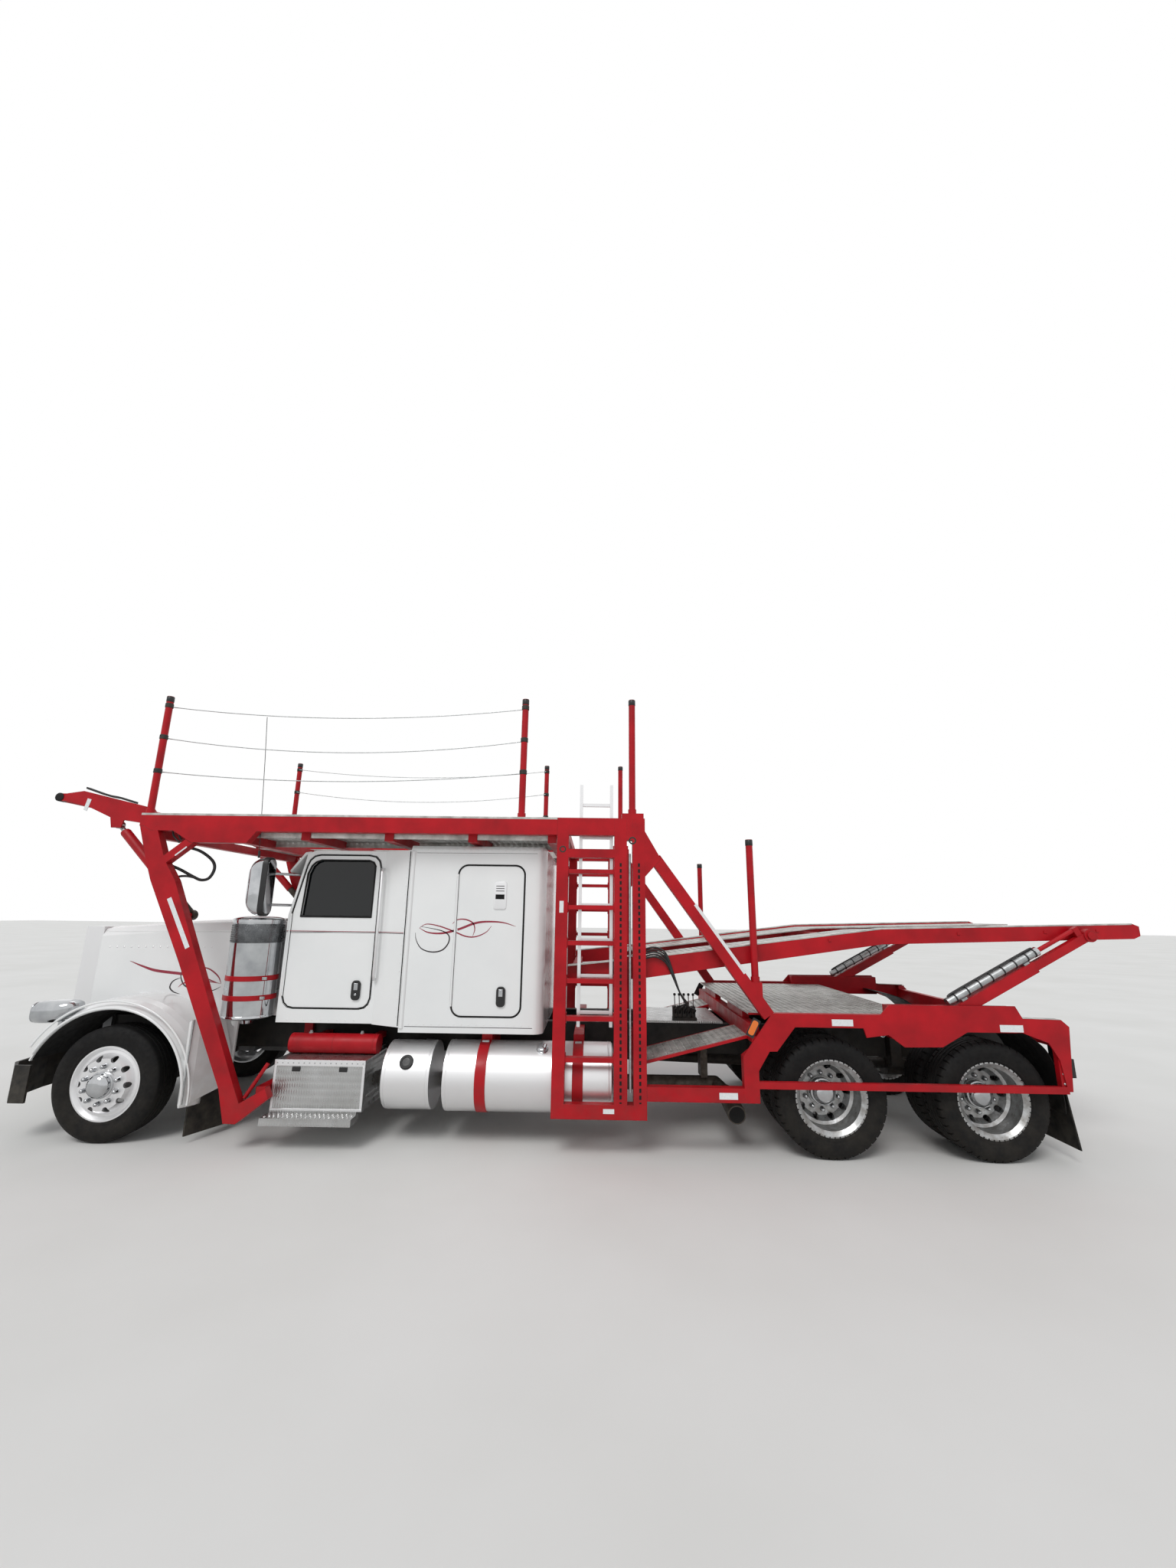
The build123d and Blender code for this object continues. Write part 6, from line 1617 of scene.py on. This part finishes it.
        Piece("side_knobs", CHROME, smooth=40).turn(
            [(0.024, -0.030), (0.024, -0.012), (0.016, -0.010), (0.016, 0.0)], (6.517, self.face, 0.976), OUTWARD,
            20).both()

    def make(self) -> None:
        """Build and dress the rack."""
        dress(RACK_RED, "front_legs", "top_rails", "side_frames", "stakes", "nose_ramp", "deck_rails", "strut_tubes",
              "strut_uppers")
        dress(TOWER_RED_HOLE_SHADE, "towers")
        dress(POLISHED, "ladder")
        dress(HEATED_STEEL, "nose_barrels")
        dress(ZINC, "nose_rods", "strut_barrels")
        self.wires()
        self.stake_trim()
        self.aerial()
        self.top_rails()
        self.hoses()
        self.nose()
        self.legs()
        self.towers()
        self.side_frames()


@dataclass
class Decks:
    """The perforated runways above the cab, over the axles and on the tilting rear deck.

    Attributes:
        rear_line: The top of the rear deck's rails.
        cleats: The foot of each cleat on them.
        ramp_y: How far a wheel ramp's edges lie from the middle of the truck.
    """

    rear_line: Line = ((3.900, 1.480), (4.582, 1.556), (6.640, 1.826), (8.810, 1.893))
    cleats: Line = ((5.30, 1.590), (6.18, 1.706), (7.30, 1.775), (8.05, 1.800), (8.50, 1.815))
    ramp_y: Flat = (0.620, 1.150)
    levers: int = 5
    lever_x: float = 4.925
    lever_pitch: float = 0.045

    def top(self) -> None:
        """Perforate the runways above the cab."""
        sheet = Piece("top_runway_sheets", DECK_ALUMINIUM)
        sheet.perforated((0.110, -1.2077, 2.627), (3.675, 0, 0), (0, 0.7877, 0), (66, 14), 0.012)
        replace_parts(sheet.both(), "top_deck")

    def rear(self) -> None:
        """Perforate the tilting deck's plates, edge its rails and set their cleats."""
        sheet = Piece("rear_runway_sheets", DECK_ALUMINIUM, "rear_deck")
        sheet.perforated((4.400, -1.1047, 1.512), (2.240, 0, 0.288), (0, 0.7247, 0), (38, 12), 0.012)
        sheet.perforated((6.640, -1.1047, 1.800), (2.160, 0, 0.068), (0, 0.7247, 0), (36, 12), 0.012)
        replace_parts(sheet.both(), "deck_plates")
        edge = [(x, z - 0.010) for x, z in self.rear_line] + [(x, z + 0.002) for x, z in reversed(self.rear_line)]
        Piece("rear_rail_edges", DECK_ALUMINIUM, "rear_deck", bevel=0.001).prism(edge, -1.1865, -1.104).both()
        cleats = Piece("rear_rail_cleats", RACK_RED, "rear_deck", bevel=0.003)
        for x, z in self.cleats:
            cleats.block((x - 0.012, -1.192, z), (x + 0.012, -1.180, z + 0.024))
        cleats.both()

    def over_axles(self) -> None:
        """Build the deck over the axles, its feet, its ramps and the catwalk behind the sleeper."""
        sheet = Piece("over_axle_sheets", DECK_ALUMINIUM)
        sheet.perforated((5.450, -1.150, 1.109), (1.450, 0, 0), (0, 2.300, 0), (26, 42), 0.013)
        for y in (-1.125, 0.645):
            sheet.perforated((4.510, y, 0.6945), (0.9297, 0, 0.2320), (0, 0.480, 0), (17, 9), 0.020)
        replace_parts(sheet.make(), "over_axle_deck")
        near, far = self.ramp_y
        bars = Piece("over_axle_bars", RACK_RED, bevel=0.002).block((5.450, -1.178, 1.095), (6.900, -1.1495, 1.110))
        for x in (5.460, 6.725):
            bars.block((x, -0.900, 1.0303), (x + 0.060, -0.300, 1.0965))
        for low, high in ((near, near + 0.026), (far - 0.026, far)):
            bars.prism([(4.490, 0.666), (5.4397, 0.903), (5.4397, 0.927), (4.490, 0.690)], -high, -low)
        bars.prism([(4.490, 0.666), (4.512, 0.6715), (4.512, 0.6955), (4.490, 0.690)], -far, -near)
        for y in (0.640, 1.080):
            bars.block((4.490, -(y + 0.050), 0.5553), (4.550, -y, 0.676))
        bars.both()
        Piece("catwalk", TREAD_PLATE, bevel=0.003).block((4.600, -0.430, 0.8953), (5.380, 0.430, 0.917)).make()

    def controls(self) -> None:
        """Stand the valve bank with its levers on the catwalk and bring the hose loom down to it."""
        bank = Piece("valve_bank", CAST_IRON, bevel=0.004).block((4.905, -0.425, 0.916), (5.135, -0.315, 0.945))
        levers = Piece("valve_levers", CHROME, smooth=60)
        knobs = Piece("valve_knobs", BLACK_ABS, smooth=60)
        loom = Piece("hose_loom", HOSE_RUBBER, smooth=60)
        knob = [(0.0005, -0.014), (0.010, -0.010), (0.014, 0.0), (0.010, 0.010), (0.0005, 0.014)]
        for i in range(self.levers):
            x = self.lever_x + self.lever_pitch * i
            bank.block((x - 0.018, -0.415, 0.944), (x + 0.018, -0.325, 1.045))
            levers.tube([(x, -0.400, 1.040), (x - 0.006, -0.430, 1.150)], 0.005)
            knobs.turn(knob, (x - 0.006, -0.432, 1.160), UPWARD, 12)
            # The hoses lie side by side and on each other
            y, z = -0.008 * (i % 2), 0.020 * i
            loom.tube(smooth_path([
                (4.568, -1.212 + y, 1.545 + z), (4.660, -1.214 + y, 1.560 + z), (4.750, -1.214 + y, 1.510 + z),
                (4.810, -1.214 + y, 1.390 + z / 2), (4.865, -1.195 + y, 1.270), (4.940, -1.020, 1.180 - z / 4),
                (5.000, -0.740, 1.120 - z / 3), (x, -0.520, 1.050 - z / 4), (x, -0.414, 0.985)]), 0.007)
        for piece in (bank, levers, knobs, loom):
            piece.make()

    def make(self) -> None:
        """Build every runway."""
        dress(DECK_ALUMINIUM, "top_deck", "deck_plates", "over_axle_deck")
        self.top()
        self.rear()
        self.over_axles()
        self.controls()


@dataclass
class Struts:
    """Hoses and ties along the rear deck's lifting struts.

    Attributes:
        foot: The left strut's lower eye; head is its upper one.
        tube_up: How far the barrel lies above the line between the eyes.
        ties: How far up the strut each hose tie sits.
        hose: The hose's distances up the strut and heights above that line.
    """

    foot: Point = (7.020, -1.240, 1.080)
    head: Point = (8.370, -1.240, 1.790)
    tube_up: float = 0.092
    ties: tuple[float, ...] = (0.22, 0.34, 0.46, 0.58, 0.70, 0.82, 0.94, 1.02)
    hose: Line = ((0.17, 0.128), (0.24, 0.136), (0.6, 0.137), (0.98, 0.136), (1.03, 0.128))

    @property
    def slope(self) -> Vector:
        """The direction up the strut."""
        return (Vector(self.head) - Vector(self.foot)).normalized()

    def along(self, distance: float, offset: float) -> Point:
        """Give the point at a distance up the left strut and an offset above its middle line."""
        ux, _, uz = self.slope
        return (self.foot[0] + ux * distance - uz * offset, self.foot[1], self.foot[2] + uz * distance + ux * offset)

    def make(self) -> None:
        """Run a hose along each barrel, tie it and set the barrel's gland."""
        path = smooth_path([self.along(*place) for place in self.hose])
        Piece("strut_hoses", HOSE_RUBBER, "strut_tubes", smooth=60).tube(path, 0.009).both()
        ties = Piece("strut_ties", BLACK_ABS, "strut_tubes", smooth=40)
        for distance in self.ties:
            ties.turn(
                [(0.0345, -0.007), (0.0375, -0.006), (0.0375, 0.006), (0.0345, 0.007)],
                self.along(distance, self.tube_up), tuple(self.slope), 24)
        ties.both()
        Piece("strut_glands", CHROME, "strut_tubes", smooth=40).turn(
            [(0.0345, -0.02), (0.0385, -0.018), (0.0385, 0.014), (0.028, 0.018)], self.along(1.045, self.tube_up),
            tuple(self.slope)).both()


@dataclass
class Interior:
    """The seats and the bunk behind the dark windows.

    Attributes:
        seat_y: How far each seat stands from the middle of the truck.
        seat: A seat cushion's side view, a little smaller than the finished pad, as are the next two.
        swell: How far a pad may swell.
        frames: How long the cloth settles.
    """

    seat_y: float = 0.430
    seat: Line = ((1.705, 1.305), (2.135, 1.305), (2.135, 1.405), (1.705, 1.405))
    back: Line = ((2.075, 1.430), (2.140, 1.430), (2.225, 2.105), (2.150, 2.115))
    bunk: Line = ((2.785, 1.290), (3.620, 1.290), (3.620, 1.475), (2.785, 1.475))
    pressure: float = 4.0
    swell: float = 0.022
    frames: int = 20

    def cushion(self, name: str, outline: Sequence[Flat], edges: Flat, voxel: float) -> None:
        """Puff up one upholstered pad.

        Args:
            name: The piece's name.
            outline: The pad's side view as x and z.
            edges: Its left and right edges.
            voxel: The mesh size of the cloth.
        """
        obj = Piece(name, SEAT_CLOTH, smooth=60).prism(outline, *edges).make()
        remesh = obj.modifiers.new("cloth_mesh", "REMESH")
        remesh.mode = "VOXEL"
        remesh.voxel_size = voxel
        self.bake(obj)
        start = [v.co.copy() for v in obj.data.vertices]
        cloth = obj.modifiers.new("stuffing", "CLOTH")
        cloth.settings.use_pressure = True
        cloth.settings.uniform_pressure_force = self.pressure
        cloth.settings.effector_weights.gravity = 0.0
        for number in range(1, self.frames + 1):
            bpy.context.scene.frame_set(number)
        self.bake(obj)
        for vert, place in zip(obj.data.vertices, start):
            move = vert.co - place
            if move.length > self.swell:
                vert.co = place + move * (self.swell / move.length)
        bpy.context.scene.frame_set(1)
        obj.data.shade_smooth()

    def bake(self, obj: bpy.types.Object) -> None:
        """Turn an object's modifiers into its own mesh.

        Args:
            obj: The object.
        """
        graph = bpy.context.evaluated_depsgraph_get()
        mesh = bpy.data.meshes.new_from_object(obj.evaluated_get(graph))
        obj.modifiers.clear()
        obj.data = mesh

    def make(self) -> None:
        """Build both seats and the bunk, in place of their plain solids, and dress the dashboard."""
        dress(BLACK_ABS, "dashboard")
        dress(SEAT_CLOTH, "seats")
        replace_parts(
            Piece("seat_bases", BLACK_ABS, bevel=0.012).block(
                (1.740, -self.seat_y - 0.170, 0.985), (2.060, -self.seat_y + 0.170, 1.290)).both(), "seats")
        piping = Piece("seat_piping", SHEET_RUBBER, smooth=60)
        for side in Side:
            y = side.value * self.seat_y
            self.cushion(f"seat_cushion_{side.label}", self.seat, (y - 0.225, y + 0.225), 0.012)
            self.cushion(f"seat_back_{side.label}", self.back, (y - 0.215, y + 0.215), 0.012)
            corners = ((1.70, -0.2), (1.70, 0.2), (2.06, 0.21), (2.06, -0.21))
            piping.tube(closed([(x, y + b, 1.428) for x, b in corners]), 0.004, 6)
        self.cushion("bunk_mattress", self.bunk, (-1.020, 1.020), 0.022)
        Piece("bunk_box", BLACK_ABS, bevel=0.010).block((2.765, -1.040, 0.942), (3.640, 1.040, 1.268)).make()
        piping.make()


@dataclass
class Chassis:
    """The frame, axles, engine, bumper, hitch, quarter guards and the rear lamps.

    Attributes:
        beam: The rear beam's face and the height of its lamps.
        beam_lamps: How far out each lamp sits, and its radius.
    """

    beam: Flat = (7.985, 0.996)
    beam_lamps: Line = ((0.960, 0.050), (0.830, 0.050), (0.160, 0.020))
    last_axle: Flat = (7.416, 0.460)

    def lamps(self) -> None:
        """Set the red rear lamps on the tail posts' boxes and on the rear beam."""
        x, z = self.beam
        lamp = Piece("rear_lamps", LAMP_RED, smooth=50)
        rings = Piece("rear_lamp_rings", BLACK_ABS, smooth=40)
        for height in (0.702, 0.773):
            lamp.turn(
                [(0.024, 0.0), (0.024, 0.003), (0.018, 0.008), (0.0005, 0.010)], (8.0495, -1.2605, height), ASTERN, 24)
        for y, radius in self.beam_lamps:
            lamp.turn([(radius, 0.0), (radius, 0.004), (radius * 0.8, 0.012), (0.0005, 0.015)], (x, -y, z), ASTERN)
        lamp.both()
        Piece("rear_lamp_boxes", BLACK_ABS, bevel=0.004).block((7.994, -1.2900, 0.665), (8.050, -1.2310, 0.810)).both()
        for y, radius in self.beam_lamps[:2]:
            rim = radius + 0.008
            rings.turn([(radius, 0.0), (rim, 0.001), (rim, 0.006), (radius, 0.008)], (x - 0.0005, -y, z), ASTERN)
        rings.both()

    def guards(self) -> None:
        """Hang a black rubber quarter guard behind each rear wheel, and paint the shade in the exhaust's mouth with a
        flat black disc.
        """
        (x, z), line = self.last_axle, []
        for i in range(28):
            degrees = -8.0 + 94.0 * i / 27
            radius = 0.553 + 0.058 * min(1.0, max(0.0, (degrees - 8.0) / 34.0))
            line.append((x + radius * math.cos(math.radians(degrees)), z + radius * math.sin(math.radians(degrees))))
        # The guard is a real part; its flat black also fills the shaded gap behind the last tyre, so part of it is
        # painted shade.
        Piece("rear_quarter_guards", SHEET_RUBBER).prism(
            [(x + 0.003, z + 0.003) for x, z in line] + [(x - 0.002, z - 0.002) for x, z in reversed(line)],
            -1.230, -0.660).both()
        # A flat black disc in the pipe's mouth paints the shade inside it.
        Piece("exhaust_mouth", PAINTED_HOLE_SHADE, smooth=60).turn(
            [(0.066, 0.0), (0.064, 0.0015), (0.0005, 0.0015)], (5.330, -1.1195, 0.2995), (0.0, -0.993, -0.118)).make()

    def make(self) -> None:
        """Dress the chassis and add its small parts, with a bright bar that clamps each mud flap."""
        dress(FRAME_BLACK, "chassis_frame", "front_bumper", "hitch")
        dress(CAST_IRON, "front_axle", "knuckle_left", "knuckle_right", "tie_rod", "drive_axles")
        dress(ENGINE_GREY, "engine_block")
        dress(SHEET_RUBBER, "mud_flaps")
        self.lamps()
        self.guards()
        Piece("mud_flap_bars", POLISHED, bevel=0.002).prism(
            [(7.981, 0.560), (7.990, 0.600), (8.004, 0.600), (7.995, 0.560)], -1.213, -0.642).both()


@dataclass
class Studio:
    """The pale floor, the soft light and the camera.

    Attributes:
        place: Where the camera stands, in the frame's own coordinates.
        yaw: How far it turns, in radians; pitch and roll are how far it looks up and leans.
        focal_px: Its focal length in pixels of the whole frame.
        ambient: The strength of the light from all round; sun is the key lamp's.
        sun_deg: The key lamp's width in the sky.
        floor: Half the floor's width.
    """

    place: Point = (0.1701, -6.4868, 1.9013)
    yaw: float = -0.0142
    pitch: float = 0.2209
    roll: float = 0.0132
    focal_px: float = 765.2
    image_px: tuple[int, int] = (1536, 2048)
    sensor_mm: float = 36.0
    ambient: float = 0.62
    sun: float = 1.35
    sun_deg: float = 24.0
    sun_from: Point = (0.25, 0.72, -0.9)
    floor: float = 90.0

    def lay_floor(self) -> None:
        """Lay a pale sealed floor that keeps the truck's shadow."""
        mesh = bpy.data.meshes.new("studio_floor")
        corners = [(a * self.floor, b * self.floor, 0) for a, b in ((-1, -1), (1, -1), (1, 1), (-1, 1))]
        mesh.from_pydata(corners, [], [(0, 1, 2, 3)])
        mesh.materials.append(FLOOR_PALE.build())
        obj = bpy.data.objects.new("studio_floor", mesh)
        bpy.context.scene.collection.objects.link(obj)

    def world(self) -> None:
        """Light evenly from all round, and show white behind the truck and in its reflections."""
        world = bpy.data.worlds.new("studio_world")
        bpy.context.scene.world = world
        world.use_nodes = True
        tree = world.node_tree
        tree.nodes.clear()
        rays = add_node(tree, "LightPath").outputs
        seen = rays["Is Camera Ray"]
        for kind in ("Is Glossy Ray", "Is Transmission Ray"):
            seen = add_node(tree, "Math", {"operation": "MAXIMUM"}, {0: seen, 1: rays[kind]}).outputs[0]
        light = add_node(tree, "Background", {"Color": srgb("F4F7FB"), "Strength": self.ambient})
        white = add_node(tree, "Background", {"Color": srgb("FFFFFF"), "Strength": 1.0})
        mixed = add_node(tree, "MixShader", {}, {0: seen, 1: light.outputs[0], 2: white.outputs[0]})
        add_node(tree, "OutputWorld", {}, {"Surface": mixed.outputs[0]})

    def lights(self) -> None:
        """Add one broad key lamp from above the camera's left."""
        data = bpy.data.lights.new("key", "SUN")
        data.energy = self.sun
        data.angle = math.radians(self.sun_deg)
        key = bpy.data.objects.new("key", data)
        bpy.context.scene.collection.objects.link(key)
        key.rotation_euler = Vector(self.sun_from).to_track_quat("-Z", "Y").to_euler()

    def camera(self) -> None:
        """Stand the camera where the photograph was taken from."""
        level = math.cos(self.pitch)
        forward = Vector((math.sin(self.yaw) * level, math.cos(self.yaw) * level, math.sin(self.pitch)))
        right = Vector((math.cos(self.yaw), -math.sin(self.yaw), 0.0))
        above = right.cross(forward)
        across = right * math.cos(self.roll) + above * math.sin(self.roll)
        up = above * math.cos(self.roll) - right * math.sin(self.roll)
        data = bpy.data.cameras.new("photograph_camera")
        data.sensor_width = self.sensor_mm
        data.sensor_fit = "AUTO"
        data.lens = self.focal_px * self.sensor_mm / self.image_px[1]
        data.clip_start, data.clip_end = 0.05, 400.0
        obj = bpy.data.objects.new("photograph_camera", data)
        bpy.context.scene.collection.objects.link(obj)
        turn = Matrix((across, up, -forward)).transposed().to_4x4()
        obj.matrix_world = Matrix.Translation(self.place) @ turn
        bpy.context.scene.camera = obj

    def make(self) -> None:
        """Set up the whole studio."""
        bpy.context.scene.view_settings.view_transform = "Standard"
        self.world()
        self.lights()
        self.lay_floor()
        self.camera()


def wheels() -> list[Wheel]:
    """List every wheel end of the truck.

    Returns:
        The wheel ends, the steered ones first.
    """
    ends = [Wheel(side.label, side, 0.0, Tread.RIBS, (1.022,), 1.172, 1.224) for side in Side]
    for side in Side:
        for number, x in ((1, 6.095), (2, 7.416)):
            ends.append(Wheel(f"{side.label}_{number}", side, x, Tread.LUGS, (0.756, 1.082), 0.954, 1.049))
    return ends


def main() -> None:
    """Build the studio and every sub-assembly in order."""
    logging.basicConfig(level=logging.INFO, format="%(message)s")
    Studio().make()
    for part in (Chassis(), Hood(), Cab(), Sleeper(), SideGear(), Rack(), Decks(), Struts(), Interior(), *wheels()):
        LOG.info("building %s", type(part).__name__)
        part.make()


if __name__ == "__main__":
    main()
